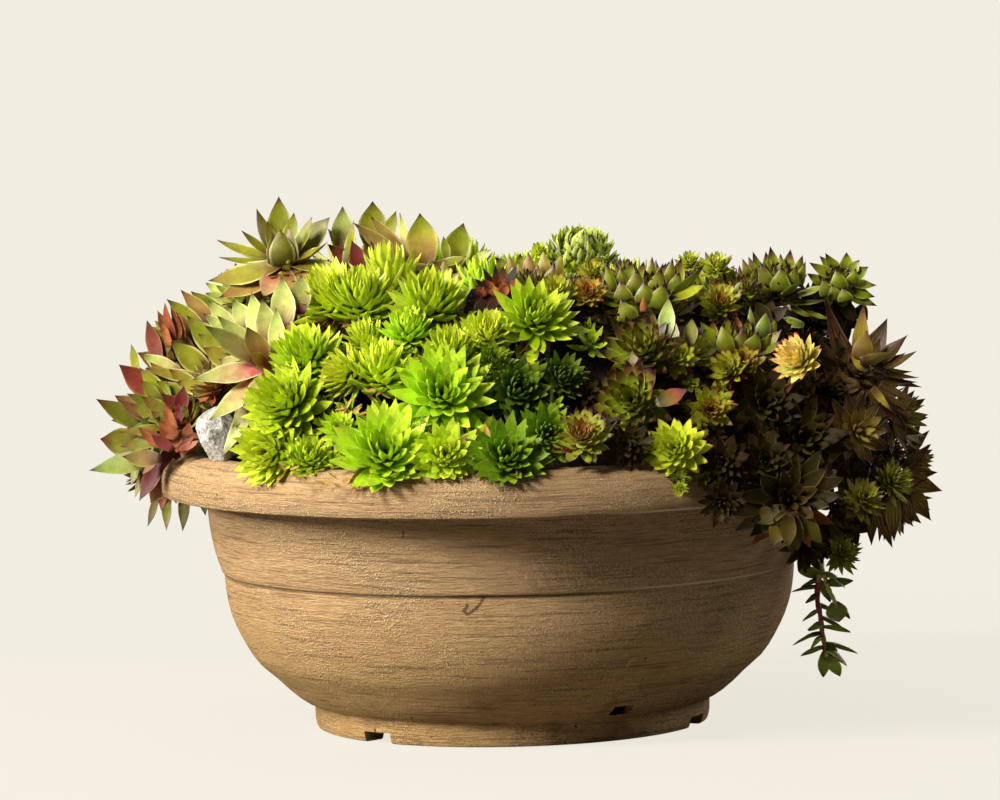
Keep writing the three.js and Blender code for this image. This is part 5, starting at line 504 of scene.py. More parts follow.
    ("bronze_hen_1", "CD", 176.1, -60.0, 175.4, 193.7, -60.2, 173.3, 9.8, 0.0, -0.91, 0.41, 14, 0.6, 0, 2.7),
    ("bronze_hen_1", "CD", 177.3, -63.0, 178.0, 188.9, -64.3, 162.3, 9.8, 0.0, -0.91, 0.41, 14, 0.6, 0, 2.7),
    ("bronze_hen_1", "CD", 179.7, -66.0, 179.0, 177.3, -67.5, 160.3, 9.8, 0.0, -0.91, 0.41, 14, 0.6, 0, 2.7),
    ("bronze_hen_1", "CD", 182.3, -60.0, 177.1, 168.3, -60.9, 166.3, 9.8, 0.0, -0.91, 0.41, 14, 0.6, 0, 2.7),
    ("bronze_hen_1", "CD", 182.9, -63.0, 174.8, 164.1, -62.8, 177.2, 9.8, 0.0, -0.91, 0.41, 14, 0.6, 0, 2.7),
    ("bronze_hen_1", "CD", 181.4, -66.0, 172.8, 169.1, -64.8, 187.6, 9.8, 0.0, -0.91, 0.41, 14, 0.6, 0, 2.7),
    ("bronze_hen_1", "CD", 179.2, -60.0, 171.5, 181.3, -58.6, 189.1, 9.8, 0.0, -0.91, 0.41, 14, 0.6, 0, 2.7),
    ("bronze_hen_1", "CD", 176.7, -63.0, 173.1, 191.6, -62.0, 185.4, 9.8, 0.0, -0.91, 0.41, 14, 0.6, 0, 2.7),
    ("bronze_hen_5", "CD", 188.6, -70.0, 119.1, 203.6, -70.5, 112.4, 9.1, 0.0, -0.91, 0.41, 14, 0.6, 0, 2.5),
    ("bronze_hen_5", "CD", 190.0, -73.0, 121.0, 197.5, -74.4, 104.4, 9.1, 0.0, -0.91, 0.41, 14, 0.6, 0, 2.5),
    ("bronze_hen_5", "CD", 192.0, -76.0, 121.6, 187.4, -77.4, 104.7, 9.1, 0.0, -0.91, 0.41, 14, 0.6, 0, 2.5),
    ("bronze_hen_5", "CD", 194.1, -70.0, 119.7, 180.8, -70.8, 110.1, 9.1, 0.0, -0.91, 0.41, 14, 0.6, 0, 2.5),
    ("bronze_hen_5", "CD", 194.6, -73.0, 117.9, 177.1, -72.9, 119.2, 9.1, 0.0, -0.91, 0.41, 14, 0.6, 0, 2.5),
    ("bronze_hen_5", "CD", 193.5, -76.0, 116.2, 180.2, -75.0, 128.4, 9.1, 0.0, -0.91, 0.41, 14, 0.6, 0, 2.5),
    ("bronze_hen_5", "CD", 191.9, -70.0, 114.6, 190.2, -68.7, 130.9, 9.1, 0.0, -0.91, 0.41, 14, 0.6, 0, 2.5),
    ("bronze_hen_5", "CD", 189.6, -73.0, 115.4, 199.4, -71.7, 130.8, 9.1, 0.0, -0.91, 0.41, 14, 0.6, 0, 2.5),
    ("bronze_hen_5", "CD", 188.1, -76.0, 117.6, 206.0, -75.6, 122.3, 9.1, 0.0, -0.91, 0.41, 14, 0.6, 0, 2.5),
    ("bronze_hen_5", "CD", 175.5, -80.0, 112.7, 190.5, -80.1, 110.9, 8.4, 0.0, -0.91, 0.41, 14, 0.6, 0, 2.3),
    ("bronze_hen_5", "CD", 176.5, -83.0, 115.0, 186.4, -84.1, 101.6, 8.4, 0.0, -0.91, 0.41, 14, 0.6, 0, 2.3),
    ("bronze_hen_5", "CD", 178.5, -86.0, 115.9, 176.5, -87.3, 100.0, 8.4, 0.0, -0.91, 0.41, 14, 0.6, 0, 2.3),
    ("bronze_hen_5", "CD", 180.8, -80.0, 114.2, 168.9, -80.8, 104.9, 8.4, 0.0, -0.91, 0.41, 14, 0.6, 0, 2.3),
    ("bronze_hen_5", "CD", 181.3, -83.0, 112.3, 165.3, -82.8, 114.4, 8.4, 0.0, -0.91, 0.41, 14, 0.6, 0, 2.3),
    ("bronze_hen_5", "CD", 180.0, -86.0, 110.6, 169.5, -85.0, 123.3, 8.4, 0.0, -0.91, 0.41, 14, 0.6, 0, 2.3),
    ("bronze_hen_5", "CD", 178.1, -80.0, 109.4, 180.0, -78.8, 124.3, 8.4, 0.0, -0.91, 0.41, 14, 0.6, 0, 2.3),
    ("bronze_hen_5", "CD", 176.0, -83.0, 110.8, 188.7, -82.1, 121.4, 8.4, 0.0, -0.91, 0.41, 14, 0.6, 0, 2.3),
    ("olive_hen_10", "CD", 198.9, -70.0, 140.6, 215.2, -70.2, 138.6, 9.1, 0.0, -0.91, 0.41, 14, 0.6, 0, 2.5),
    ("olive_hen_10", "CD", 199.9, -73.0, 143.1, 210.7, -74.2, 128.5, 9.1, 0.0, -0.91, 0.41, 14, 0.6, 0, 2.5),
    ("olive_hen_10", "CD", 202.1, -76.0, 144.0, 199.9, -77.4, 126.7, 9.1, 0.0, -0.91, 0.41, 14, 0.6, 0, 2.5),
    ("olive_hen_10", "CD", 204.6, -70.0, 142.2, 191.7, -70.8, 132.2, 9.1, 0.0, -0.91, 0.41, 14, 0.6, 0, 2.5),
    ("olive_hen_10", "CD", 205.1, -73.0, 140.1, 187.7, -72.8, 142.4, 9.1, 0.0, -0.91, 0.41, 14, 0.6, 0, 2.5),
    ("olive_hen_10", "CD", 203.7, -76.0, 138.3, 192.3, -74.9, 152.0, 9.1, 0.0, -0.91, 0.41, 14, 0.6, 0, 2.5),
    ("olive_hen_10", "CD", 201.7, -70.0, 137.0, 203.7, -68.7, 153.3, 9.1, 0.0, -0.91, 0.41, 14, 0.6, 0, 2.5),
    ("olive_hen_10", "CD", 199.4, -73.0, 138.5, 213.2, -72.0, 150.0, 9.1, 0.0, -0.91, 0.41, 14, 0.6, 0, 2.5),
    ("bronze_hen_3", "CD", 191.0, -80.0, 154.7, 205.3, -80.8, 144.5, 9.8, 0.0, -0.91, 0.41, 14, 0.6, 0, 2.7),
    ("bronze_hen_3", "CD", 193.1, -83.0, 156.4, 196.1, -84.6, 136.8, 9.7, 0.0, -0.91, 0.41, 14, 0.6, 0, 2.7),
    ("bronze_hen_3", "CD", 195.5, -86.0, 156.1, 183.9, -87.3, 140.9, 9.7, 0.0, -0.91, 0.41, 14, 0.6, 0, 2.7),
    ("bronze_hen_3", "CD", 197.3, -80.0, 153.2, 179.9, -80.2, 150.4, 9.8, 0.0, -0.91, 0.41, 14, 0.6, 0, 2.7),
    ("bronze_hen_3", "CD", 196.5, -83.0, 150.9, 181.3, -82.1, 162.5, 9.7, 0.0, -0.91, 0.41, 14, 0.6, 0, 2.7),
    ("bronze_hen_3", "CD", 194.1, -86.0, 149.8, 190.8, -84.5, 168.3, 9.7, 0.0, -0.91, 0.41, 14, 0.6, 0, 2.7),
    ("bronze_hen_3", "CD", 191.8, -80.0, 149.9, 202.1, -78.8, 164.1, 9.8, 0.0, -0.91, 0.41, 14, 0.6, 0, 2.7),
    ("bronze_hen_3", "CD", 190.3, -83.0, 152.4, 208.8, -82.7, 155.6, 9.7, 0.0, -0.91, 0.41, 14, 0.6, 0, 2.7),
    ("olive_hen_3", "CD", 50.4, -92.0, 226.2, 66.3, -92.3, 222.6, 9.0, 0.0, -0.91, 0.41, 14, 0.6, 0, 2.5),
    ("olive_hen_3", "CD", 51.8, -95.0, 228.4, 61.0, -96.3, 212.9, 9.0, 0.0, -0.91, 0.41, 14, 0.6, 0, 2.5),
    ("olive_hen_3", "CD", 54.2, -98.0, 229.1, 50.1, -99.4, 212.2, 9.0, 0.0, -0.91, 0.41, 14, 0.6, 0, 2.5),
    ("olive_hen_3", "CD", 56.3, -92.0, 227.2, 42.5, -92.7, 218.6, 9.0, 0.0, -0.91, 0.41, 14, 0.6, 0, 2.5),
    ("olive_hen_3", "CD", 56.6, -95.0, 225.0, 39.7, -94.7, 229.1, 9.0, 0.0, -0.91, 0.41, 14, 0.6, 0, 2.5),
    ("olive_hen_3", "CD", 55.2, -98.0, 223.2, 45.3, -96.8, 237.9, 9.0, 0.0, -0.91, 0.41, 14, 0.6, 0, 2.5),
    ("olive_hen_3", "CD", 52.8, -92.0, 222.4, 56.4, -90.7, 238.2, 9.0, 0.0, -0.91, 0.41, 14, 0.6, 0, 2.5),
    ("olive_hen_3", "CD", 50.8, -95.0, 224.0, 65.5, -94.2, 233.8, 9.0, 0.0, -0.91, 0.41, 14, 0.6, 0, 2.5),
    ("olive_hen_3", "CD", 101.2, -100.0, 226.6, 113.4, -100.2, 223.9, 6.9, 0.0, -0.91, 0.41, 14, 0.6, 0, 1.9),
    ("olive_hen_3", "CD", 102.5, -103.0, 228.5, 108.3, -104.0, 215.8, 6.9, 0.0, -0.91, 0.41, 14, 0.6, 0, 1.9),
    ("olive_hen_3", "CD", 104.5, -106.0, 228.7, 98.4, -107.0, 216.8, 6.9, 0.0, -0.91, 0.41, 14, 0.6, 0, 1.9),
    ("olive_hen_3", "CD", 106.0, -100.0, 226.6, 93.9, -100.2, 223.8, 6.9, 0.0, -0.91, 0.41, 14, 0.6, 0, 1.9),
    ("olive_hen_3", "CD", 105.5, -103.0, 224.8, 95.1, -102.3, 233.5, 6.9, 0.0, -0.91, 0.41, 14, 0.6, 0, 1.9),
    ("olive_hen_3", "CD", 103.5, -106.0, 224.0, 103.4, -104.9, 237.3, 6.9, 0.0, -0.91, 0.41, 14, 0.6, 0, 1.9),
    ("olive_hen_3", "CD", 101.7, -100.0, 224.5, 111.5, -99.4, 232.3, 6.9, 0.0, -0.91, 0.41, 14, 0.6, 0, 1.9),
    ("olive_hen_6", "CD", 145.3, -80.0, 234.4, 160.0, -80.3, 231.1, 8.3, 0.0, -0.91, 0.41, 14, 0.6, 0, 2.3),
    ("olive_hen_6", "CD", 146.5, -83.0, 236.4, 155.0, -84.2, 222.1, 8.3, 0.0, -0.91, 0.41, 14, 0.6, 0, 2.3),
    ("olive_hen_6", "CD", 148.6, -86.0, 237.0, 144.8, -87.3, 221.4, 8.3, 0.0, -0.91, 0.41, 14, 0.6, 0, 2.3),
    ("olive_hen_6", "CD", 150.7, -80.0, 235.3, 137.9, -80.7, 227.3, 8.3, 0.0, -0.91, 0.41, 14, 0.6, 0, 2.3),
    ("olive_hen_6", "CD", 150.9, -83.0, 233.3, 135.3, -82.7, 237.0, 8.3, 0.0, -0.91, 0.41, 14, 0.6, 0, 2.3),
    ("olive_hen_6", "CD", 149.5, -86.0, 231.6, 140.4, -84.9, 245.2, 8.3, 0.0, -0.91, 0.41, 14, 0.6, 0, 2.3),
    ("olive_hen_6", "CD", 147.5, -80.0, 230.8, 150.9, -78.8, 245.5, 8.3, 0.0, -0.91, 0.41, 14, 0.6, 0, 2.3),
    ("olive_hen_6", "CD", 145.6, -83.0, 232.4, 159.2, -82.2, 241.5, 8.3, 0.0, -0.91, 0.41, 14, 0.6, 0, 2.3),
    ("bronze_hen_5", "DL", 152.1, -172.0, 136.8, 132.8, -172.7, 129.1, 10.9, -0.2, -0.84, 0.5, 22, 0.6, 0, 3.1),
    ("bronze_hen_5", "DL", 152.6, -174.0, 135.4, 143.9, -175.6, 115.9, 12.0, -0.21, -0.96, 0.21, 22, 0.6, 0, 3.4),
    ("bronze_hen_5", "DL", 154.7, -174.0, 134.8, 157.5, -175.8, 112.9, 10.9, -0.1, -0.97, 0.2, 22, 0.6, 0, 3.1),
    ("bronze_hen_5", "DL", 157.0, -172.0, 135.1, 171.9, -173.5, 116.2, 10.4, 0.0, -0.98, 0.21, 22, 0.6, 0, 2.9),
    ("bronze_hen_5", "DL", 153.5, -177.0, 134.6, 151.4, -178.6, 115.5, 9.3, -0.1, -0.97, 0.2, 22, 0.6, 0, 2.6),
    ("bronze_hen_5", "DG", 149.0, -168.0, 137.6, 138.8, -169.2, 122.5, 9.9, -0.31, -0.93, 0.21, 22, 0.6, 0, 2.8),
]
# Rosettes whose own leaves are placed one by one; a smaller rosette fills in behind
# them, as (share of the reach, how far it is sunk).
UNDER = {"K7": (.88, 8), "K52": (.92, 4), "L1": (.50, 7), "L2": (.72, 16), "L3": (.80, 9), "L4": (.85, 6), "L5": (.85, 9), "L5b": (.8, 8), "R16": (.72, 12), "L6": (.72, 12), "L7": (.70, 14), "L8": (.7, 8), "L10": (.62, 8), "L9": (.8, 6), "L5c": (.62, 6), "R1": (.78, 8), "R12": (.78, 8), "R13": (.74, 7), "R8": (.80, 8), "R11": (.8, 6), "R1d": (.8, 6)}

# Every rosette: name, growth point, facing direction, leaf reach, style, node.
ROSETTES = [
    ('L1', -124.5, -20, 268.4, -0.05, -0.361, 0.931, 39.9, 'A', 'blue_hen_1'),
    ('L2', -135.4, -102.4, 214.9, -0.346, -0.909, 0.233, 41.3, 'A', 'blue_hen_2'),
    ('L3', -167.2, -10.4, 222.9, -0.691, -0.591, 0.416, 32, 'A', 'blue_hen_3'),
    ('L4', -196.5, 4.8, 228.8, -0.639, -0.573, 0.513, 17.2, 'AR', 'blue_hen_3'),
    ('L5', -201.3, -53.7, 185, -0.797, -0.575, 0.186, 28, 'A', 'blue_hen_4'),
    ('L5b', -183.7, -53.1, 178.3, -0.598, -0.791, 0.129, 16.8, 'AD', 'blue_hen_4'),
    ('L5c', -193.1, 70.2, 135.9, -0.512, -0.711, -0.482, 19.9, 'A', 'blue_hen_5'),
    ('L6', -76.7, -10, 273, 0.07, -0.399, 0.914, 29.7, 'A', 'blue_hen_6'),
    ('L7', -37.8, -25, 266.1, 0.12, -0.391, 0.913, 26.2, 'A', 'blue_hen_7'),
    ('L8', -39.9, -66, 259.6, 0.019, -0.532, 0.846, 13.5, 'AT', 'blue_hen_7'),
    ('L9', -14, -20, 263, 0.269, -0.478, 0.836, 17.1, 'A', 'blue_hen_7'),
    ('L10', 12.6, -40, 259.1, 0.019, -0.503, 0.864, 19.3, 'AT', 'blue_hen_8'),
    ('R0', -1.8, -97.2, 251.8, -0.037, -0.786, 0.618, 19, 'AM', 'maroon_hen_1'),
    ('L11', -151.6, 14.1, 245.6, -0.286, -0.69, 0.665, 23, 'A', 'blue_hen_1'),
    ('G1', -96.8, -70.4, 249.9, -0.399, -0.618, 0.678, 24.7, 'BY', 'green_hen_1'),
    ('G2', -79.1, -83.8, 249.3, 0, -0.552, 0.834, 23.5, 'B', 'green_hen_1'),
    ('G2b', -64.5, -81.8, 253.3, 0.011, -0.853, 0.522, 6.2, 'BB', 'green_hen_1'),
    ('G3', -40.9, -104.6, 248.1, 0, -0.6, 0.8, 24.5, 'B', 'green_hen_2'),
    ('G4', -53.2, -120.6, 234.5, 0, -0.6, 0.8, 16.6, 'B', 'green_hen_2'),
    ('G5', -110.3, -116, 219.8, -0.3, -0.699, 0.649, 23.3, 'B', 'green_hen_3'),
    ('G6', -88.3, -135, 213, -0.756, -0.605, 0.252, 16.6, 'BY', 'green_hen_3'),
    ('G7', -69, -136.2, 213.8, 0, -0.503, 0.865, 22.1, 'BY', 'green_hen_4'),
    ('G8', -121.6, -138.4, 196.9, -0.42, -0.799, 0.43, 24.9, 'B', 'green_hen_5'),
    ('G9', -129.5, -141.1, 171.2, -0.504, -0.858, 0.101, 23.2, 'BY', 'green_hen_6'),
    ('G10', -108.9, -152.2, 168.4, 0.1, -0.796, 0.597, 16, 'B', 'green_hen_6'),
    ('G11', -66.2, -175.2, 170.6, 0, -0.865, 0.503, 29.6, 'BO', 'green_hen_7'),
    ('G13', -34.3, -153.2, 200.5, 0, -0.906, 0.423, 29.7, 'BO', 'green_hen_8'),
    ('G14', -29, -135.5, 221.7, 0, -0.622, 0.783, 19.9, 'B', 'green_hen_8'),
    ('G15', -8.9, -130.9, 232.5, 0.1, -0.723, 0.683, 16.6, 'BY', 'green_hen_9'),
    ('G16', 17.3, -123.4, 239.7, 0.121, -0.804, 0.583, 24.9, 'BO', 'green_hen_10'),
    ('G17', -5.9, -142.7, 218.4, 0.059, -0.904, 0.424, 12.1, 'B', 'green_hen_9'),
    ('G18', 6.4, -147.5, 202.4, 0.127, -0.937, 0.325, 22, 'BD', 'green_hen_11'),
    ('G19', -33.3, -184.3, 170.6, 0, -0.954, 0.301, 19.7, 'BY', 'green_hen_12'),
    ('G20', -0.5, -187.3, 169.1, 0.101, -0.886, 0.453, 24.1, 'BO', 'green_hen_13'),
    ('G21', -91.4, -156.4, 183.9, -0.192, -0.905, 0.38, 12.1, 'B', 'green_hen_4'),
    ('G22', 31.3, -137.1, 208.2, 0.208, -0.905, 0.371, 16.5, 'BD', 'green_hen_11'),
    ('G23', 22.8, -174.7, 180.1, 0.104, -0.968, 0.228, 18.6, 'B', 'green_hen_13'),
    ('B1', 44.4, 4.2, 259.6, 0, -0.498, 0.867, 21.2, 'E', 'cobweb_hen_1'),
    ('B1b', 21.6, -12.2, 270.9, -0.088, -0.816, 0.571, 6.3, 'BB', 'cobweb_hen_1'),
    ('Y1', 29.5, -95.1, 252, 0.014, -0.748, 0.663, 13.4, 'Y', 'gold_hen_1'),
    ('X1', 47.4, -93.1, 251.5, 0.011, -0.853, 0.522, 11.2, 'X', 'gold_hen_1'),
    ('Y2', 50.6, -45, 259.6, 0.014, -0.748, 0.663, 10.2, 'Y', 'gold_hen_1'),
    ('H1', 40.9, -182.9, 178.7, 0, -0.853, 0.522, 18.1, 'X', 'olive_hen_1'),
    ('R1', 85.1, -80.5, 249.8, -0.03, -0.502, 0.864, 30.3, 'C', 'olive_hen_2'),
    ('R1b', 106.3, -40, 263.7, 0.018, -0.598, 0.802, 9.1, 'Y', 'olive_hen_2'),
    ('R1d', 60, -101.3, 233.7, -0.091, -0.899, 0.427, 15.6, 'CD', 'olive_hen_3'),
    ('R2', 76, -130.3, 221.1, -0.038, -0.821, 0.57, 24.3, 'C', 'olive_hen_3'),
    ('R3', 95.3, -128.7, 216.1, 0.008, -0.926, 0.377, 12.7, 'Y', 'olive_hen_4'),
    ('R4', 69.5, -151.6, 195.3, -0.112, -0.918, 0.379, 24.2, 'C', 'olive_hen_4'),
    ('R4b', 64.9, -175.7, 173.7, 0.003, -0.983, 0.181, 16.5, 'CD', 'olive_hen_4'),
    ('R5', 124.3, -124.7, 209.1, -0.349, -0.848, 0.399, 12.8, 'Y', 'olive_hen_5'),
    ('R5b', 133, -117.5, 212.2, -0.101, -0.858, 0.504, 12.2, 'X', 'olive_hen_5'),
    ('R6', 112.6, -141.7, 189.1, 0.022, -0.991, 0.131, 15.4, 'X', 'olive_hen_5'),
    ('R7', 92.7, -170.2, 169.9, -0.248, -0.922, 0.297, 19.2, 'YB', 'gold_hen_2'),
    ('R7b', 94, -184.4, 149.8, -0.006, -0.975, -0.221, 5.5, 'Y', 'gold_hen_2'),
    ('R8', 131.8, -93.7, 225, 0, -0.552, 0.834, 26.8, 'C', 'olive_hen_6'),
    ('R9', 120.8, -45, 261.4, 0.018, -0.598, 0.802, 11.3, 'Y', 'olive_hen_7'),
    ('R10', 121.8, -70.2, 242.7, 0.012, -0.822, 0.569, 13.5, 'X', 'olive_hen_7'),
    ('R11', 136.1, -55, 252.7, 0.067, -0.631, 0.773, 15.8, 'C', 'olive_hen_8'),
    ('R12', 157.6, -29.9, 255.1, 0.1, -0.5, 0.86, 25, 'C', 'olive_hen_8'),
    ('R13', 192.3, -19.7, 251.4, 0.351, -0.701, 0.621, 21.7, 'CG', 'olive_hen_9'),
    ('R14', 163.7, -122.5, 213.2, -0.496, -0.744, 0.447, 16.8, 'XP', 'bronze_hen_1'),
    ('R15', 178.6, -85.5, 193, 0.304, -0.927, 0.22, 15.7, 'CD', 'bronze_hen_1'),
    ('R16', 202.7, -60, 205.1, 0.558, -0.728, 0.398, 33.9, 'D', 'bronze_hen_2'),
    ('R16b', 172.6, -3.9, 225, 0.261, -0.818, 0.513, 18.3, 'CD', 'bronze_hen_2'),
    ('S1', 143.1, -121.3, 189.4, 0.054, -0.972, 0.229, 24.4, 'CD', 'bronze_hen_3'),
    ('S2', 163.5, -125.2, 169.8, 0.123, -0.98, 0.158, 26.6, 'CD', 'bronze_hen_3'),
    ('S3', 194.3, -107.4, 172, 0.403, -0.904, 0.145, 22.3, 'D', 'bronze_hen_3'),
    ('S4', 141.7, -157.7, 161, 0.022, -0.991, 0.131, 19.8, 'CD', 'bronze_hen_4'),
    ('S5', 117.8, -165.3, 162.3, -0.018, -0.991, 0.132, 17.5, 'CD', 'bronze_hen_4'),
    ('S6', 117, -176.8, 140.9, -0.007, -0.962, -0.272, 14.2, 'CD', 'bronze_hen_4'),
    ('R17', 153.9, -159.4, 140, 0.051, -0.993, 0.102, 31.9, 'DG', 'bronze_hen_5'),
    ('R18', 196.6, -122.6, 135.4, 0.303, -0.808, 0.505, 15, 'CY', 'olive_hen_10'),
    ('R18b', 215.5, -98.7, 142.7, 0.608, -0.71, 0.355, 14.5, 'CY', 'olive_hen_10'),
    ('R19', 223.3, -30, 172.6, 0.804, -0.567, 0.179, 23.9, 'D', 'bronze_hen_6'),
    ('R20', 219.3, -35, 126.2, 0.537, -0.629, -0.563, 28.5, 'D', 'bronze_hen_7'),
    ('R20b', 233.2, -20, 146.2, 0.849, -0.528, -0.026, 16, 'D', 'bronze_hen_6'),
    ('R21', 184.4, -123, 105.5, 0.316, -0.895, 0.316, 12.8, 'CY', 'bronze_hen_5'),
    ('R22', 164.2, -139.6, 111.1, 0.089, -0.898, -0.43, 15.5, 'CD', 'bronze_hen_5'),
    ('K1', -20.7, 127.1, 236.8, -0.032, 0.483, 0.875, 33.9, 'BY', 'green_hen_17'),
    ('K2', -51.6, 169.4, 178.9, -0.123, 0.817, 0.564, 33.9, 'BO', 'green_hen_14'),
    ('K3', 203.3, 19.2, 182.6, 0.762, 0.055, 0.645, 37.3, 'CD', 'bronze_hen_8'),
    ('K4', -51.6, 93.9, 238.1, -0.097, 0.297, 0.95, 33.7, 'BY', 'green_hen_17'),
    ('K5', -119.7, 125.3, 209.9, -0.362, 0.544, 0.757, 35.5, 'A', 'blue_hen_9'),
    ('K6', 183.3, 116.3, 143.2, 0.695, 0.605, 0.387, 35.8, 'CD', 'bronze_hen_9'),
    ('K7', 51.5, 83.7, 248.1, 0.083, 0.245, 0.966, 36.9, 'C', 'olive_hen_11'),
    ('K8', -171.1, 118, 153.4, -0.675, 0.589, 0.444, 33, 'A', 'blue_hen_9'),
    ('K9', 170.2, 79.7, 209.7, 0.539, 0.316, 0.78, 30.6, 'D', 'bronze_hen_9'),
    ('K10', -0.3, 39.6, 248.7, -0, 0.069, 0.998, 24.3, 'BO', 'green_hen_15'),
    ('K11', 99.6, 152.1, 191.3, 0.263, 0.718, 0.645, 31.1, 'C', 'olive_hen_11'),
    ('K12', -91.1, 58.5, 255, -0.198, 0.157, 0.968, 33.1, 'A', 'blue_hen_10'),
    ('K13', -187.8, 58.4, 189.4, -0.716, 0.222, 0.662, 33.4, 'A', 'blue_hen_12'),
    ('K14', 9, 197.8, 150.3, 0.011, 0.923, 0.384, 30.6, 'BY', 'green_hen_14'),
    ('K15', 108.4, 166.3, 142.3, 0.319, 0.873, 0.369, 29.5, 'C', 'olive_hen_11'),
    ('K16', 132.5, 33.6, 236.7, 0.317, 0.084, 0.945, 25.2, 'C', 'olive_hen_12'),
    ('K17', 72.5, -19.8, 243.7, 0.114, -0.037, 0.993, 25.8, 'B', 'green_hen_15'),
    ('K18', 29, 161, 200.4, 0.05, 0.731, 0.68, 32.6, 'C', 'olive_hen_11'),
    ('K19', 121.9, -12.1, 240, 0.275, -0.024, 0.961, 28.6, 'CG', 'olive_hen_12'),
    ('K20', 140, 146.4, 162.7, 0.448, 0.746, 0.493, 30.5, 'CD', 'bronze_hen_9'),
    ('K21', -44, 26.1, 254.2, -0.058, 0.042, 0.997, 30.1, 'B', 'green_hen_15'),
    ('K22', 114.9, 76.2, 238.4, 0.267, 0.246, 0.932, 26.6, 'CD', 'bronze_hen_9'),
    ('K23', 52.5, 190.9, 157.1, 0.107, 0.9, 0.422, 28.3, 'C', 'olive_hen_11'),
    ('K24', 56.4, 125.7, 234.3, 0.109, 0.486, 0.867, 27.6, 'C', 'olive_hen_11'),
    ('K25', 95.3, 111.2, 234.7, 0.219, 0.42, 0.881, 26.9, 'C', 'olive_hen_11'),
    ('K26', 134.7, 108.4, 218.6, 0.376, 0.445, 0.813, 27.1, 'D', 'bronze_hen_9'),
    ('K27', -142.1, 57.1, 234.4, -0.417, 0.18, 0.891, 27.9, 'A', 'blue_hen_10'),
    ('K28', 82.8, 32.3, 241.4, 0.143, 0.066, 0.988, 22.7, 'BO', 'green_hen_15'),
    ('K29', -63.9, -48.2, 257.7, -0.113, -0.124, 0.986, 26.3, 'BY', 'green_hen_16'),
    ('K30', 203.9, 66.1, 170.9, 0.776, 0.282, 0.564, 28.1, 'CD', 'bronze_hen_8'),
    ('K31', -205.3, 5.6, 155.2, -0.886, 0.011, 0.464, 21.7, 'AR', 'blue_hen_12'),
    ('K32', -152.1, 93.9, 210.9, -0.504, 0.381, 0.775, 26.3, 'A', 'blue_hen_9'),
    ('K33', 2.2, 97.3, 241.6, 0.001, 0.305, 0.952, 22.2, 'BY', 'green_hen_17'),
    ('K34', -129.6, 146.2, 169.9, -0.438, 0.725, 0.531, 28.3, 'A', 'blue_hen_9'),
    ('K35', -73.4, 127.8, 228.4, -0.176, 0.512, 0.841, 25.2, 'BO', 'green_hen_17'),
    ('K36', -92.3, 175.1, 161.4, -0.261, 0.85, 0.458, 25.1, 'AR', 'blue_hen_9'),
    ('K37', 41, -67.5, 247.5, 0.058, -0.196, 0.979, 18, 'C', 'olive_hen_13'),
    ('K38', 163.4, 112.5, 190.3, 0.536, 0.519, 0.666, 25.4, 'D', 'bronze_hen_9'),
    ('K39', -94.2, 97.8, 241, -0.231, 0.344, 0.91, 27.3, 'BO', 'green_hen_17'),
    ('K40', -12.9, 159.7, 203.3, -0.019, 0.718, 0.696, 28.5, 'B', 'green_hen_14'),
    ('K41', -184, 18.8, 198.5, -0.688, 0.05, 0.724, 26.2, 'A', 'blue_hen_12'),
    ('K42', 173.1, 32.9, 222.5, 0.524, 0.095, 0.846, 25.3, 'D', 'bronze_hen_8'),
    ('K43', -95.4, 154.2, 187.5, -0.277, 0.732, 0.622, 22.8, 'AR', 'blue_hen_9'),
    ('K44', -12.4, -60.8, 253.3, -0.013, -0.161, 0.987, 22.5, 'B', 'green_hen_16'),
    ('K45', -209.2, 39.1, 144, -0.909, 0.146, 0.391, 17.3, 'AR', 'blue_hen_12'),
    ('K46', -32.7, 195.3, 155.8, -0.063, 0.909, 0.412, 21.4, 'B', 'green_hen_14'),
    ('K47', 19.7, 137, 229, 0.028, 0.55, 0.835, 23, 'BO', 'green_hen_17'),
    ('K48', 62.3, 165.9, 184, 0.141, 0.792, 0.594, 21.3, 'C', 'olive_hen_11'),
    ('K49', 219.4, 36.3, 144.4, 0.906, 0.137, 0.4, 21.8, 'D', 'bronze_hen_8'),
    ('K50', -93.1, 17.5, 255.1, -0.195, 0.031, 0.98, 22.8, 'A', 'blue_hen_10'),
    ('K51', -60.6, 188.5, 147.8, -0.148, 0.913, 0.38, 21.2, 'BO', 'green_hen_14'),
    ('K52', 42.9, 38, 259.6, 0.053, 0.071, 0.996, 22.1, 'BY', 'green_hen_15'),
    ('K53', -29.5, 62, 251.1, -0.04, 0.147, 0.988, 21.2, 'B', 'green_hen_17'),
    ('K54', -45.5, 148.8, 214.3, -0.097, 0.644, 0.759, 24.2, 'BO', 'green_hen_17'),
    ('K55', -122.6, -53, 234.7, -0.339, -0.18, 0.924, 18.4, 'AR', 'blue_hen_11'),
    ('K56', -171.7, 98.3, 184.3, -0.641, 0.44, 0.629, 18.1, 'A', 'blue_hen_9'),
    ('K57', 151.2, -49.9, 223.3, 0.437, -0.182, 0.881, 19.6, 'D', 'bronze_hen_10'),
    ('K58', -180.4, -57.4, 182.6, -0.719, -0.256, 0.647, 19.5, 'A', 'blue_hen_11'),
    ('K59', -1.6, 174.9, 173.5, -0.001, 0.848, 0.531, 19.4, 'BY', 'green_hen_14'),
    ('K60', -162.2, -65.6, 202.2, -0.583, -0.284, 0.761, 17.7, 'AR', 'blue_hen_11'),
    ('K61', -20.1, 3.9, 263.8, -0.016, 0.003, 1, 17.5, 'B', 'green_hen_15'),
    ('K62', -186.3, -23.1, 185.4, -0.743, -0.076, 0.664, 19.9, 'A', 'blue_hen_11'),
    ('K63', 150.5, 60.3, 232.4, 0.413, 0.198, 0.889, 18.7, 'D', 'bronze_hen_9'),
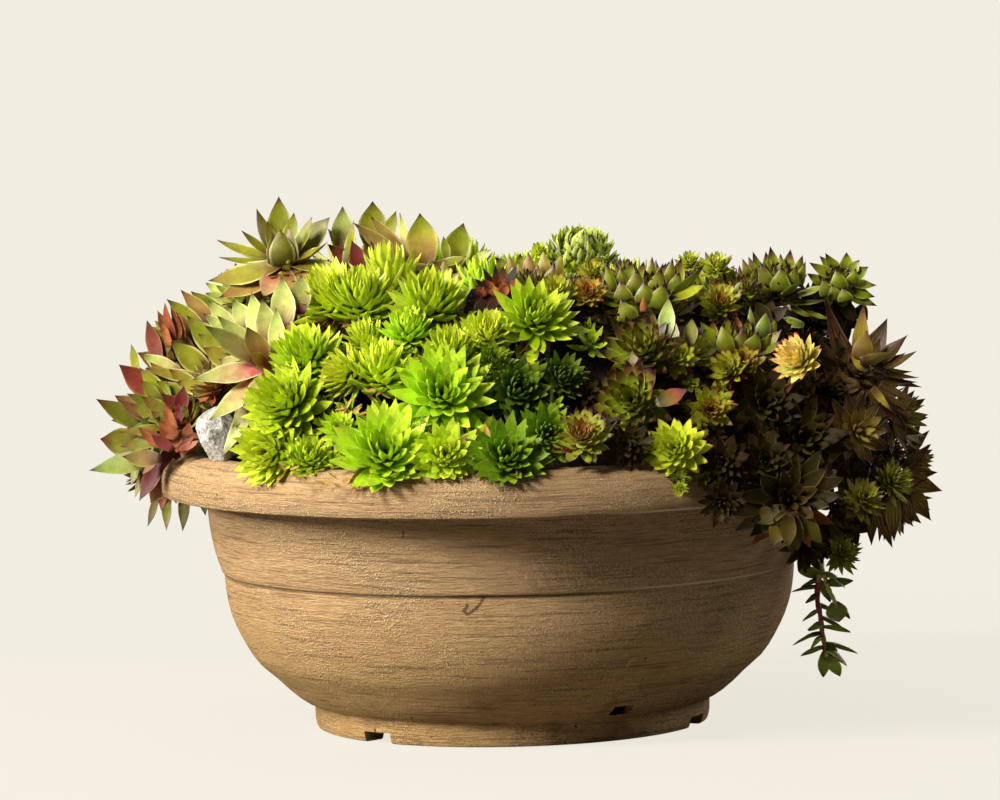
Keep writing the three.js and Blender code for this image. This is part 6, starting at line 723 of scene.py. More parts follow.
    ('K64', 59.5, 148.2, 212.6, 0.126, 0.647, 0.752, 18.3, 'X', 'olive_hen_11'),
    ('K65', 38.1, -26.4, 250.6, 0.043, -0.046, 0.998, 12.8, 'BO', 'green_hen_15'),
    ('K66', 189, 52.2, 202.3, 0.64, 0.189, 0.745, 18.9, 'CD', 'bronze_hen_8'),
    ('K67', -151.6, 118.8, 188.1, -0.532, 0.548, 0.645, 17.6, 'A', 'blue_hen_9'),
    ('K68', -165.6, 40.9, 221, -0.544, 0.125, 0.83, 17.6, 'A', 'blue_hen_10'),
    ('K69', 6.9, -5.1, 256, 0.003, -0.003, 1, 19.8, 'BO', 'green_hen_15'),
    ('K70', 171.4, -28.9, 212.5, 0.549, -0.094, 0.831, 19.3, 'CD', 'bronze_hen_10'),
    ('K71', -123.9, 20.4, 249, -0.314, 0.043, 0.948, 15.7, 'AR', 'blue_hen_10'),
    ('K72', -123.1, 83.5, 235.8, -0.341, 0.292, 0.894, 14.6, 'AR', 'blue_hen_10'),
    ('K73', 196, -28.4, 183.3, 0.739, -0.104, 0.665, 15.3, 'CD', 'bronze_hen_10'),
    ('K74', 15.6, -80.9, 253.8, 0.017, -0.259, 0.966, 14.6, 'C', 'olive_hen_13'),
    ('K75', 104.1, -110.1, 217, 0.264, -0.509, 0.819, 14.6, 'Y', 'olive_hen_13'),
    ('K76', 216.3, 0.9, 150.9, 0.895, 0.001, 0.446, 14.2, 'CD', 'bronze_hen_8'),
    ('K77', 186, 97.9, 174.3, 0.673, 0.459, 0.58, 14.9, 'CD', 'bronze_hen_9'),
    ('K78', -148.2, -51.1, 220.2, -0.478, -0.189, 0.858, 14.4, 'AT', 'blue_hen_11'),
    ('K79', -76.8, -104.1, 229.4, -0.184, -0.441, 0.878, 14.8, 'BY', 'green_hen_16'),
    ('K80', 17.1, 72.1, 255.4, 0.018, 0.186, 0.982, 14.1, 'B', 'green_hen_15'),
    ('K81', -170.6, -39.8, 203, -0.623, -0.147, 0.768, 16.1, 'AT', 'blue_hen_11'),
    ('K82', 91.9, 175.4, 167, 0.231, 0.842, 0.487, 14, 'Y', 'olive_hen_11'),
    ('K83', 163.3, -101.1, 180.1, 0.563, -0.538, 0.627, 15, 'CD', 'bronze_hen_10'),
    ('K84', 147.3, 5.9, 236.8, 0.389, 0.009, 0.921, 14.1, 'C', 'olive_hen_12'),
    ('K85', 125.7, 134.8, 198.9, 0.359, 0.619, 0.699, 13.9, 'CD', 'bronze_hen_9'),
    ('K86', 68.7, -53.7, 256.5, 0.115, -0.146, 0.983, 15.4, 'C', 'olive_hen_13'),
]

SPRIG_STEMS = [
    (1.7, [(174.7, -93.0, 98.6), (174.5, -96.0, 92.7), (172.7, -96.0, 87.1), (172.2, -96.0, 77.0), (173.4, -97.0, 69.7), (174.4, -96.0, 60.0), (175.5, -95.0, 53.1), (177.0, -96.0, 44.7)]),
    (1.5, [(174.5, -96.0, 96.1), (176.6, -97.0, 89.4), (178.6, -99.0, 82.8), (181.3, -100.0, 77.2), (182.9, -100.0, 72.7)]),
]
SPRIG_LEAVES = [
    (173.7, -96.0, 90.1, 160.9, -101.0, 96.9, 12.1), (173.0, -96.0, 88.0, 162.7, -92.0, 83.5, 6.0),
    (172.6, -96.0, 84.2, 156.8, -99.0, 82.2, 6.0), (172.3, -96.0, 79.2, 164.9, -102.0, 76.1, 7.8),
    (172.6, -96.3, 74.6, 180.9, -93.0, 70.2, 4.3), (173.2, -96.8, 71.1, 162.5, -101.0, 65.9, 6.0),
    (173.6, -96.8, 67.7, 187.5, -93.0, 59.9, 4.3), (174.1, -96.3, 62.8, 166.7, -104.0, 60.0, 8.7),
    (174.2, -96.2, 61.6, 191.0, -100.0, 58.4, 4.3), (174.7, -95.7, 58.0, 157.6, -92.0, 50.9, 7.0),
    (175.1, -95.4, 55.6, 167.7, -103.0, 48.6, 7.8), (176.0, -95.3, 50.4, 161.4, -93.0, 45.8, 5.3),
    (175.6, -95.1, 52.3, 194.7, -100.0, 47.0, 5.3), (176.3, -95.5, 48.7, 174.6, -93.0, 32.5, 7.0),
    (176.5, -95.7, 47.3, 187.7, -103.0, 39.7, 10.4), (176.9, -96.0, 45.1, 184.9, -91.0, 33.1, 7.0),
    (175.9, -96.7, 91.5, 187.9, -104.0, 84.3, 8.7), (177.6, -98.0, 86.1, 192.8, -98.0, 88.6, 10.4),
    (173.2, -96.0, 88.7, 180.0, -91.0, 74.5, 5.3), (181.9, -100.0, 75.6, 183.7, -102.0, 64.4, 12.1),
    (182.1, -100.0, 74.8, 190.9, -94.0, 65.6, 4.3), (174.5, -96.0, 96.1, 162.5, -90.0, 98.5, 5.3),
    (175.8, -95.2, 51.5, 182.4, -88.0, 44.7, 7.8),
]

# How each kind of rosette grows. n: leaves at the reach ref; el: elevation of the
# inner and outer leaves in degrees, ep: how it falls off; bend: how much inner and
# outer leaves curve towards the middle; ln: inner leaf length over reach; w: width
# over length; t: thickness over length; b0, sm, p, r: outline; cup: hollow of the
# upper side; dry: share of withered outer leaves.
GROW = {
    "A":  dict(n=34, ref=35, el=(80, 4), ep=.80, bend=(52, 18), ln=.50, w=.40, t=.11, b0=.45, sm=.54, p=1.8, r=1.15, cup=.26, dry=.10, h=(.16, .22)),
    "AT": dict(n=30, ref=17, el=(80, 10), ep=.85, bend=(46, 12), ln=.60, w=.38, t=.12, b0=.45, sm=.50, p=1.8, r=1.15, cup=.2, dry=.12, h=(.16, .22)),
    "AR": dict(n=28, ref=20, el=(78, 6), ep=.85, bend=(44, 14), ln=.55, w=.38, t=.11, b0=.45, sm=.50, p=1.8, r=1.15, cup=.25, dry=.18, h=(.16, .22)),
    "AD": dict(n=26, ref=20, el=(72, 0), ep=.85, bend=(30, 10), ln=.6, w=.38, t=.07, b0=.45, sm=.50, p=1.8, r=1.15, cup=.35, dry=.62, h=(.12, .2)),
    "AM": dict(n=40, ref=19, el=(84, 10), ep=.8, bend=(40, 30), ln=.42, w=.30, t=.10, b0=.5, sm=.50, p=1.9, r=1.1, cup=.2, dry=.12, h=(.18, .24)),
    "B":  dict(n=76, ref=24, el=(86, 16), ep=.80, bend=(42, 32), ln=.62, w=0.291, t=.15, b0=.60, sm=.47, p=1.7, r=1.06, cup=.12, dry=.04, h=(.22, .40)),
    "BO": dict(n=74, ref=28, el=(85, 8), ep=.80, bend=(44, 26), ln=.52, w=0.279, t=.14, b0=.55, sm=.50, p=1.75, r=1.10, cup=.16, dry=.05, h=(.16, .30)),
    "BY": dict(n=70, ref=22, el=(86, 16), ep=.80, bend=(46, 32), ln=.62, w=0.310, t=.15, b0=.60, sm=.47, p=1.7, r=1.06, cup=.12, dry=.04, h=(.24, .38)),
    "BD": dict(n=66, ref=24, el=(86, 20), ep=.82, bend=(42, 34), ln=.62, w=0.322, t=.17, b0=.60, sm=.47, p=1.7, r=1.06, cup=.12, dry=.04, h=(.22, .40)),
    "BB": dict(n=26, ref=8, el=(86, 22), ep=.9, bend=(60, 50), ln=.7, w=.42, t=.18, b0=.6, sm=.55, p=2.0, r=.95, cup=.0, dry=.0, h=(.30, .15)),
    "C":  dict(n=52, ref=26, el=(86, 12), ep=.84, bend=(54, 30), ln=.58, w=.37, t=.14, b0=.60, sm=.48, p=1.75, r=1.15, cup=.24, dry=.07, h=(.20, .32)),
    "CG": dict(n=48, ref=22, el=(86, 12), ep=.84, bend=(56, 32), ln=.58, w=.39, t=.14, b0=.60, sm=.48, p=1.75, r=1.15, cup=.20, dry=.05, h=(.20, .32)),
    "CY": dict(n=56, ref=14, el=(84, 10), ep=.78, bend=(34, 12), ln=.58, w=.26, t=.12, b0=.6, sm=.42, p=1.6, r=1.1, cup=.08, dry=.08, h=(.24, .30)),
    "CD": dict(n=40, ref=20, el=(84, 6), ep=.82, bend=(48, 20), ln=.54, w=.33, t=.12, b0=.5, sm=.50, p=1.8, r=1.15, cup=.22, dry=.14, h=(.16, .25)),
    "D":  dict(n=40, ref=28, el=(78, -4), ep=.82, bend=(24, 8), ln=.5, w=.33, t=.12, b0=.5, sm=.46, p=1.65, r=1.15, cup=.22, dry=.10, h=(.14, .28)),
    "DG": dict(n=38, ref=30, el=(78, -2), ep=.8, bend=(26, 8), ln=.36, w=.32, t=.11, b0=.5, sm=.50, p=1.7, r=1.12, cup=.2, dry=.12, h=(.10, .2)),
    "E":  dict(n=235, ref=24, el=(86, -14), ep=.70, bend=(26, 26), ln=.80, w=.168, t=.05, b0=.8, sm=.40, p=1.7, r=1.0, cup=.15, dry=.0, h=(.22, .20)),
    "X":  dict(n=58, ref=15, el=(86, 16), ep=.76, bend=(50, 22), ln=.54, w=.35, t=.11, b0=.6, sm=.48, p=1.7, r=1.1, cup=.14, dry=.10, h=(.22, .25)),
    "XP": dict(n=62, ref=14, el=(86, 26), ep=.78, bend=(34, 14), ln=.70, w=.33, t=.13, b0=.6, sm=.45, p=1.6, r=1.1, cup=.12, dry=.04, h=(.30, .25)),
    "Y":  dict(n=44, ref=13, el=(84, 14), ep=.78, bend=(44, 26), ln=.62, w=.34, t=.14, b0=.55, sm=.50, p=1.7, r=1.1, cup=.14, dry=.05, h=(.24, .25)),
    "YB": dict(n=60, ref=18, el=(86, 12), ep=.80, bend=(50, 30), ln=.56, w=.32, t=.15, b0=.5, sm=.55, p=1.9, r=1.12, cup=.2, dry=.04, h=(.22, .28)),
}

# ------------------------------------------------------------ mesh building
HI = (np.array([0, .12, .28, .44, .58, .71, .82, .91, .965]),
      np.array([-1, -.52, 0, .52, 1, .64, 0, -.64]), 5)
MID = (np.array([0, .14, .32, .50, .66, .80, .92]),
       np.array([-1, 0, 1, .62, 0, -.62]), 3)
LO = (np.array([0, .22, .46, .68, .87]),
      np.array([-1, 0, 1, 0]), 3)


class Build:
    """One piece: vertices with their values, and faces with their material."""

    def __init__(self):
        self.v, self.lf, self.lv, self.lr, self.mg = [], [], [], [], []
        self.loops, self.sizes, self.mats = [], [], []
        self.count = 0

    def add(self, v, faces, mat, lf=None, lv=None, lr=0.0, mg=None):
        n = len(v)
        self.v.append(v)
        self.lf.append(np.zeros((n, 3)) if lf is None else lf)
        self.lv.append(np.zeros((n, 3)) if lv is None else lv)
        self.lr.append(np.full(n, lr) if np.isscalar(lr) else lr)
        self.mg.append(np.zeros(n, bool) if mg is None else mg)
        for f in faces:
            f = np.asarray(f)
            if len(f) == 0:
                continue
            self.loops.append((f + self.count).ravel())
            self.sizes.append(np.full(len(f), f.shape[1]))
            self.mats.append(np.full(len(f), mat))
        self.count += n

    def make(self, name, materials, smooth=True):
        v = np.concatenate(self.v)
        me = bpy.data.meshes.new(name)
        loops, sizes = np.concatenate(self.loops), np.concatenate(self.sizes)
        me.vertices.add(len(v))
        me.vertices.foreach_set("co", ((v + OFFSET) * MM).astype(np.float32).ravel())
        me.loops.add(len(loops))
        me.loops.foreach_set("vertex_index", loops.astype(np.int32))
        me.polygons.add(len(sizes))
        me.polygons.foreach_set("loop_start", np.concatenate([[0], np.cumsum(sizes)[:-1]]).astype(np.int32))
        me.polygons.foreach_set("material_index", np.concatenate(self.mats).astype(np.int32))
        me.polygons.foreach_set("use_smooth", np.full(len(sizes), smooth))
        me.update(calc_edges=True)
        for key, kind, data in (("lf", "FLOAT_VECTOR", self.lf), ("lv", "FLOAT_VECTOR", self.lv)):
            a = me.attributes.new(key, kind, "POINT")
            a.data.foreach_set("vector", np.concatenate(data).astype(np.float32).ravel())
        a = me.attributes.new("lr", "FLOAT", "POINT")
        a.data.foreach_set("value", np.concatenate(self.lr).astype(np.float32))
        mg = np.concatenate(self.mg)
        if mg.any():
            e = np.zeros(len(me.edges) * 2, np.int32)
            me.edges.foreach_get("vertices", e)
            e = e.reshape(-1, 2)
            a = me.attributes.new("sharp_edge", "BOOLEAN", "EDGE")
            a.data.foreach_set("value", mg[e[:, 0]] & mg[e[:, 1]])
        for m in materials:
            me.materials.append(m)
        o = bpy.data.objects.new(name, me)
        bpy.context.scene.collection.objects.link(o)
        return o


def faces_of(rings, section, top):
    """Side quads, tip triangles and base cap of one leaf."""
    k, m = len(rings), len(section)
    quads = [[a * m + j, a * m + (j + 1) % m, (a + 1) * m + (j + 1) % m, (a + 1) * m + j]
             for a in range(k - 1) for j in range(m)]
    tips = [[(k - 1) * m + j, (k - 1) * m + (j + 1) % m, k * m] for j in range(m)]
    base = [list(range(m))[::-1]]
    return np.array(quads), np.array(tips), np.array(base)


FACES = {id(d): faces_of(*d) for d in (HI, MID, LO)}


def outline(s, b0, sm, p, r):
    q = np.clip((s - sm) / (1 - sm), 0, 1)
    lo = b0 + (1 - b0) * np.sin(0.5 * math.pi * np.clip(s / sm, 0, 1)) ** .9
    return np.where(s < sm, lo, (1 - q ** p) ** r)


def basis(n, spin=0.0):
    n = np.asarray(n, float)
    n = n / np.linalg.norm(n)
    a = np.cross([0, 0, 1.0], n)
    if np.linalg.norm(a) < 1e-3:
        a = np.array([1.0, 0, 0])
    a /= np.linalg.norm(a)
    b = np.cross(n, a)
    c, s = math.cos(spin), math.sin(spin)
    return np.stack([a * c + b * s, b * c - a * s, n])     # rows: A, B, N


def bend_line(el, bend, L, rb, hb, svals):
    """Midline of leaves in the (outward, axial) plane: positions and slope at svals.
    All arguments but svals are arrays of the same shape; adds one axis for svals."""
    fine = np.linspace(0, 1, 13)
    el, bend, L, rb, hb = (np.asarray(x, float)[..., None] for x in (el, bend, L, rb, hb))
    th = np.radians(el + bend * (fine - .5) * 1.0)
    mid = (th[..., 1:] + th[..., :-1]) / 2
    step = np.diff(fine)
    x = np.concatenate([np.zeros(mid.shape[:-1] + (1,)), np.cumsum(np.cos(mid) * step, -1)], -1) * L + rb
    h = np.concatenate([np.zeros(mid.shape[:-1] + (1,)), np.cumsum(np.sin(mid) * step, -1)], -1) * L + hb
    pos = np.asarray(svals) * 12
    i = np.clip(pos.astype(int), 0, 11)
    f = pos - i
    pick = lambda q: q[..., i] * (1 - f) + q[..., i + 1] * f
    return pick(x), pick(h), pick(th)


def grow_leaves(out, P, F, az, el, bend, L, W, T, cup, rb, hb, roll, shape, detail, mat, age, rnd, dry, lr, curl=None, wave=None):
    """Adds closed leaves to a Build. F: rows A, B, N of the rosette's frame."""
    rings, sec, top = detail
    n, k, m = len(az), len(rings), len(sec)
    s_all = np.append(rings, 1.0)
    x, h, th = bend_line(el, bend, L, rb, hb, s_all)              # n, k+1
    ca, sa = np.cos(az)[:, None], np.sin(az)[:, None]
    A, B, N = F
    out_dir = ca[..., None] * A + sa[..., None] * B               # n,1,3
    side = -sa[..., None] * A + ca[..., None] * B
    mid = P + x[..., None] * out_dir + h[..., None] * N           # n,k+1,3
    up = -np.sin(th)[..., None] * out_dir + np.cos(th)[..., None] * N
    if curl is not None:                                          # sideways sweep of withered or loose leaves
        mid = mid + side * (curl[:, None] * (s_all ** 2) * L[:, None])[..., None]
    ro = roll[:, None] * (0.3 + 0.7 * s_all)
    cr, sr = np.cos(ro)[..., None], np.sin(ro)[..., None]
    side2 = side * cr + up * sr
    up2 = up * cr - side * sr
    w = 0.5 * W[:, None] * outline(rings[None, :], *shape)
    t = T[:, None] * (.62 + .38 * np.sin(math.pi * np.clip(rings / .62, 0, 1)))[None, :] * (1 - rings[None, :] ** 3) ** .7
    t = np.minimum(t, 1.35 * w)
    X = sec[None, None, :] * w[..., None]
    lift = cup[:, None, None] * w[..., None] * (sec ** 2)[None, None, :] * (1 - .5 * rings[None, :, None])
    if wave is not None:
        lift = lift + wave[:, None, None] * w[..., None] * np.sin(rings[None, :, None] * 9 + rnd[:, None, None] * 20) * sec[None, None, :]
    under = np.zeros(m)
    under[top:] = 1 - np.abs(sec[top:]) ** 1.35
    crown = np.zeros(m)
    crown[:top] = 1 - sec[:top] ** 2
    Z = lift - t[..., None] * under * .92 + t[..., None] * crown * .10
    ring = mid[:, :k, None, :] + X[..., None] * side2[:, :k, None, :] + Z[..., None] * up2[:, :k, None, :]
    tip = mid[:, k:, :] + up2[:, k:, :] * (cup[:, None, None] * w[:, -1:, None] * .3)
    v = np.concatenate([ring.reshape(n, k * m, 3), tip], 1)       # n, k*m+1, 3
    per = k * m + 1
    sv = np.append(np.repeat(rings, m), 1.0)
    xv = np.append(np.tile(np.abs(sec), k), 0.0)
    flag = np.zeros(m)
    flag[:top] = 1.0
    flag[top:] = -1.0
    flag[0] = flag[top - 1] = 0.0
    fv = np.append(np.tile(flag, k), 0.0)
    mg1 = np.append(np.tile(np.abs(sec) == 1, k), True)
    lf = np.broadcast_to(np.stack([sv, xv, fv], -1), (n, per, 3))
    lv = np.broadcast_to(np.stack([age, rnd, dry], -1)[:, None, :], (n, per, 3))
    q, tr, cap = FACES[id(detail)]
    offs = (np.arange(n) * per)[:, None, None]
    faces = [(f[None] + offs).reshape(-1, f.shape[1])[:, ::-1] for f in (q, tr, cap)]
    out.add(v.reshape(-1, 3), faces, mat, lf.reshape(-1, 3), lv.reshape(-1, 3), lr, np.tile(mg1, n))


# ------------------------------------------------------- where leaves may go
RIM = np.array([(0.0, 118), (14, 118), (22, 129), (29, 136.5), (38, 146.5), (48, 153), (61, 160), (76, 164.2), (90, 165.4), (105, 170.6), (119, 173.2),
                (133.6, 174), (134.4, 196), (137, 199), (144, 200.8), (151, 200.2), (155, 197.8), (159, 194.4), (161.5, 190), (163.2, 184), (163.6, 175), (163.7, 0)])


def pot_depth(p):
    """How far points lie inside the pot, in mm (0 outside)."""
    r = np.hypot(p[..., 0], p[..., 1])
    return np.where(p[..., 2] < 163.7, np.maximum(np.interp(p[..., 2], RIM[:, 0], RIM[:, 1]) + .5 - r, 0), 0)


class Plant:
    pass


plants = []
for name, x, y, z, nx, ny, nz, reach, style, node in ROSETTES:
    q = Plant()
    q.name, q.p, q.n, q.R, q.style, q.node = name, np.array([x, y, z]), np.array([nx, ny, nz]), reach, style, node
    q.n = q.n / np.linalg.norm(q.n)
    plants.append(q)
for q in plants:
    near = []
    for o in plants:
        if o is q:
            continue
        d = o.p - q.p
        dist = np.linalg.norm(d)
        if dist < 1.25 * (q.R + o.R):
            near.append(np.append(d / dist, dist * q.R / (q.R + o.R)))
    q.near = np.array(near).reshape(-1, 4)


def settle(q, F, az, el, bend, L, rb, hb, T):
    """Turns up, bends or shortens leaves that would cross a neighbour or the pot."""
    ups = np.array([0, 7, 14, 22, 30, 39, 48, 58, 68, 80.0])
    dbs = np.array([0, -30, -60.0])
    sc = np.array([1, .86, .72, .58])
    U, D, S = (g.ravel() for g in np.meshgrid(ups, dbs, sc, indexing="ij"))
    n, c = len(az), len(U)
    el2 = np.minimum(el[:, None] + U[None], np.maximum(el[:, None], 88))
    x, h, _ = bend_line(el2, bend[:, None] + D[None], L[:, None] * S[None], np.broadcast_to(rb[:, None], (n, c)), np.broadcast_to(hb[:, None], (n, c)), [.45, .75, 1.0])
    ca, sa = np.cos(az)[:, None, None], np.sin(az)[:, None, None]
    A, B, N = F
    pt = q.p + (x * ca)[..., None] * A + (x * sa)[..., None] * B + h[..., None] * N     # n,c,3,3
    bad = np.zeros((n, c))
    if len(q.near):
        rel = pt - q.p
        cross = np.einsum("ncsk,jk->ncsj", rel, q.near[:, :3]) - q.near[:, 3]
        bad = np.maximum(cross.max((-1, -2)) - .26 * q.R, 0)
    inside = pot_depth(pt - up_shift(F, az, T)).max(-1)
    cost = (U / 90 * .55 + np.abs(D) / 60 * .22 + (1 - S) * .9)[None] + 3.2 * bad / q.R + 14 * inside / q.R
    best = cost.argmin(1)
    i = np.arange(n)
    return el2[i, best], bend + D[best], L * S[best], inside[i, best]


def up_shift(F, az, T):
    return np.zeros(3)


def rosette(out, q, mat, detail, dry_mat=None):
    g = GROW[q.style]
    r = np.random.default_rng(abs(hash_name(q.name)) % (2 ** 31))
    R = q.R
    n = int(round(g["n"] * (0.72 + 0.28 * min(R / g["ref"], 1.25))))
    if q.name[0] in "FK":
        n = min(n, 15 if q.name[0] == "F" else 46)
    i = np.arange(n)
    a = (i + .5) / n
    spin = r.uniform(0, 6.283)
    F = basis(q.n, spin)
    az = i * GOLDEN + r.normal(0, .07, n)
    e0, e1 = g["el"]
    el = e0 + (e1 - e0) * a ** g["ep"] + r.normal(0, 3.0, n)
    bend = g["bend"][0] + (g["bend"][1] - g["bend"][0]) * a ** .8 + r.normal(0, 4.0, n)
    L = R * (g["ln"] + (1.0 - g["ln"]) * np.clip(a / .8, 0, 1) ** .75) * r.normal(1, .045, n)
    hb = R * (g["h"][0] * (1 - a) - g["h"][1] * a)
    rb = R * (.02 + .09 * a)
    if q.style == "E":                # a globe: short leaves all over a ball, curving up and in
        fi = np.radians(4 + 126 * a ** .60)
        rb, hb = .78 * R * np.sin(fi), R * (.20 + .72 * np.cos(fi))
        el = 90 - np.degrees(fi) + 40 + r.normal(0, 13, n)
        bend, L = np.full(n, 30.0) + r.normal(0, 22, n), R * .38 * r.normal(1, .12, n)
        az = az + r.normal(0, .10, n)
    dry = ((a > .80) & (r.random(n) < g["dry"] * 4)).astype(float)
    if g["dry"] > .5:
        dry = (r.random(n) < g["dry"]).astype(float)
    dry = np.where(r.random(n) < .02 * (a > .5), 1.0, dry)
    el = np.where(dry > 0, el - 8, el)
    L = np.where(dry > 0, L * .82, L)
    T = g["t"] * L * r.normal(1, .08, n)
    if q.style == "E":
        deep, T, W = np.zeros(n), .07 * R * np.ones(n), g["w"] * R * r.normal(1, .1, n)
    else:
        el, bend, L, deep = settle(q, F, az, el, bend, L, rb, hb, T)
        W = g["w"] * np.maximum(L, .62 * R) * r.normal(1, .06, n) * np.where(a < .25, .55 + 1.8 * a, 1.0)
    T = np.where(dry > 0, .3 * T, T)
    cup = np.full(n, g["cup"]) * r.normal(1, .25, n) + np.where(dry > 0, .7, 0)
    roll = r.normal(0, .09, n) + np.where(dry > 0, r.normal(0, .5, n), 0)
    curl = r.normal(0, .025, n) + np.where(dry > 0, r.normal(0, .16, n), 0)
    wave = r.normal(0, .05, n) + np.where(dry > 0, r.normal(0, .3, n), 0)
    keep = deep < 4.0
    s = lambda z: z[keep]
    grow_leaves(out, q.p, F, s(az), s(el), s(bend), s(L), s(W), s(T), s(cup), s(rb), s(hb), s(roll), (g["b0"], g["sm"], g["p"], g["r"]),
                detail, mat, s(a), r.random(n)[keep], s(dry), r.random(), s(curl), s(wave))


def hash_name(t):
    h = 7
    for ch in t:
        h = (h * 131 + ord(ch)) % 1000003
    return h


# ----------------------------------------------------------------- materials
def lin(c):
    """sRGB 0-255 to linear, with alpha."""
    c = np.asarray(c, float) / 255
    c = np.where(c <= .04045, c / 12.92, ((c + .055) / 1.055) ** 2.4)
    return (float(c[0]), float(c[1]), float(c[2]), 1.0)


class Tree:
    def __init__(self, name):
        self.mat = bpy.data.materials.new(name)
        self.mat.use_nodes = True
        self.t = self.mat.node_tree
        self.t.nodes.clear()
        self.out = self.t.nodes.new("ShaderNodeOutputMaterial")

    def put(self, socket, value):
        if isinstance(value, bpy.types.NodeSocket):
            self.t.links.new(value, socket)
        elif value is not None:
            socket.default_value = value

    def node(self, kind, ins=(), **props):
        n = self.t.nodes.new(kind)
        for k, v in props.items():
            setattr(n, k, v)
        for k, v in dict(ins).items():
            self.put(n.inputs[k], v)
        return n

    def math(self, op, a, b=None, c=None, clamp=False):
        n = self.t.nodes.new("ShaderNodeMath")
        n.operation, n.use_clamp = op, clamp
        for i, v in enumerate((a, b, c)):
            if v is not None:
                self.put(n.inputs[i], v)
        return n.outputs[0]

    def step(self, v, lo, hi, a=0.0, b=1.0, smooth=True):
        n = self.t.nodes.new("ShaderNodeMapRange")
        n.interpolation_type = "SMOOTHSTEP" if smooth else "LINEAR"
        for k, x in zip(("Value", "From Min", "From Max", "To Min", "To Max"), (v, lo, hi, a, b)):
            self.put(n.inputs[k], x)
        return n.outputs[0]

    def mix(self, fac, a, b, mode="MIX"):
        n = self.t.nodes.new("ShaderNodeMix")
        n.data_type, n.blend_type = "RGBA", mode
        self.put(n.inputs[0], fac)
        self.put(n.inputs[6], a)
        self.put(n.inputs[7], b)
        return n.outputs[2]

    def noise(self, vec, scale, detail=2.0, rough=.5, distort=0.0):
        n = self.node("ShaderNodeTexNoise", {"Vector": vec, "Scale": scale, "Detail": detail, "Roughness": rough, "Distortion": distort})
        return n.outputs["Fac"]

    def ramp(self, fac, stops, mode="LINEAR"):
        n = self.t.nodes.new("ShaderNodeValToRGB")
        n.color_ramp.interpolation = mode
        el = n.color_ramp.elements
        while len(el) > 1:
            el.remove(el[-1])
        el[0].position, el[0].color = stops[0][0], lin(stops[0][1])
        for p, c in stops[1:]:
            e = el.new(p)
            e.color = lin(c)
        self.put(n.inputs[0], fac)
        return n.outputs[0]

    def vec(self, name):
        a = self.node("ShaderNodeAttribute", attribute_name=name)
        s = self.t.nodes.new("ShaderNodeSeparateXYZ")
        self.t.links.new(a.outputs["Vector"], s.inputs[0])
        return s.outputs[0], s.outputs[1], s.outputs[2]

    def fac(self, name):
        return self.node("ShaderNodeAttribute", attribute_name=name).outputs["Fac"]

    def place(self):
        return self.node("ShaderNodeTexCoord").outputs["Object"]

    def finish(self, colour, rough, height=None, distance=.0004, strength=.5, **fixed):
        b = self.t.nodes.new("ShaderNodeBsdfPrincipled")
        self.put(b.inputs["Base Color"], colour)
        self.put(b.inputs["Roughness"], rough)
        for k, v in fixed.items():
            b.inputs[k.replace("_", " ")].default_value = v
        if height is not None:
            bump = self.node("ShaderNodeBump", {"Height": height, "Distance": distance, "Strength": strength})
            self.t.links.new(bump.outputs[0], b.inputs["Normal"])
        self.t.links.new(b.outputs[0], self.out.inputs[0])
        return self.mat


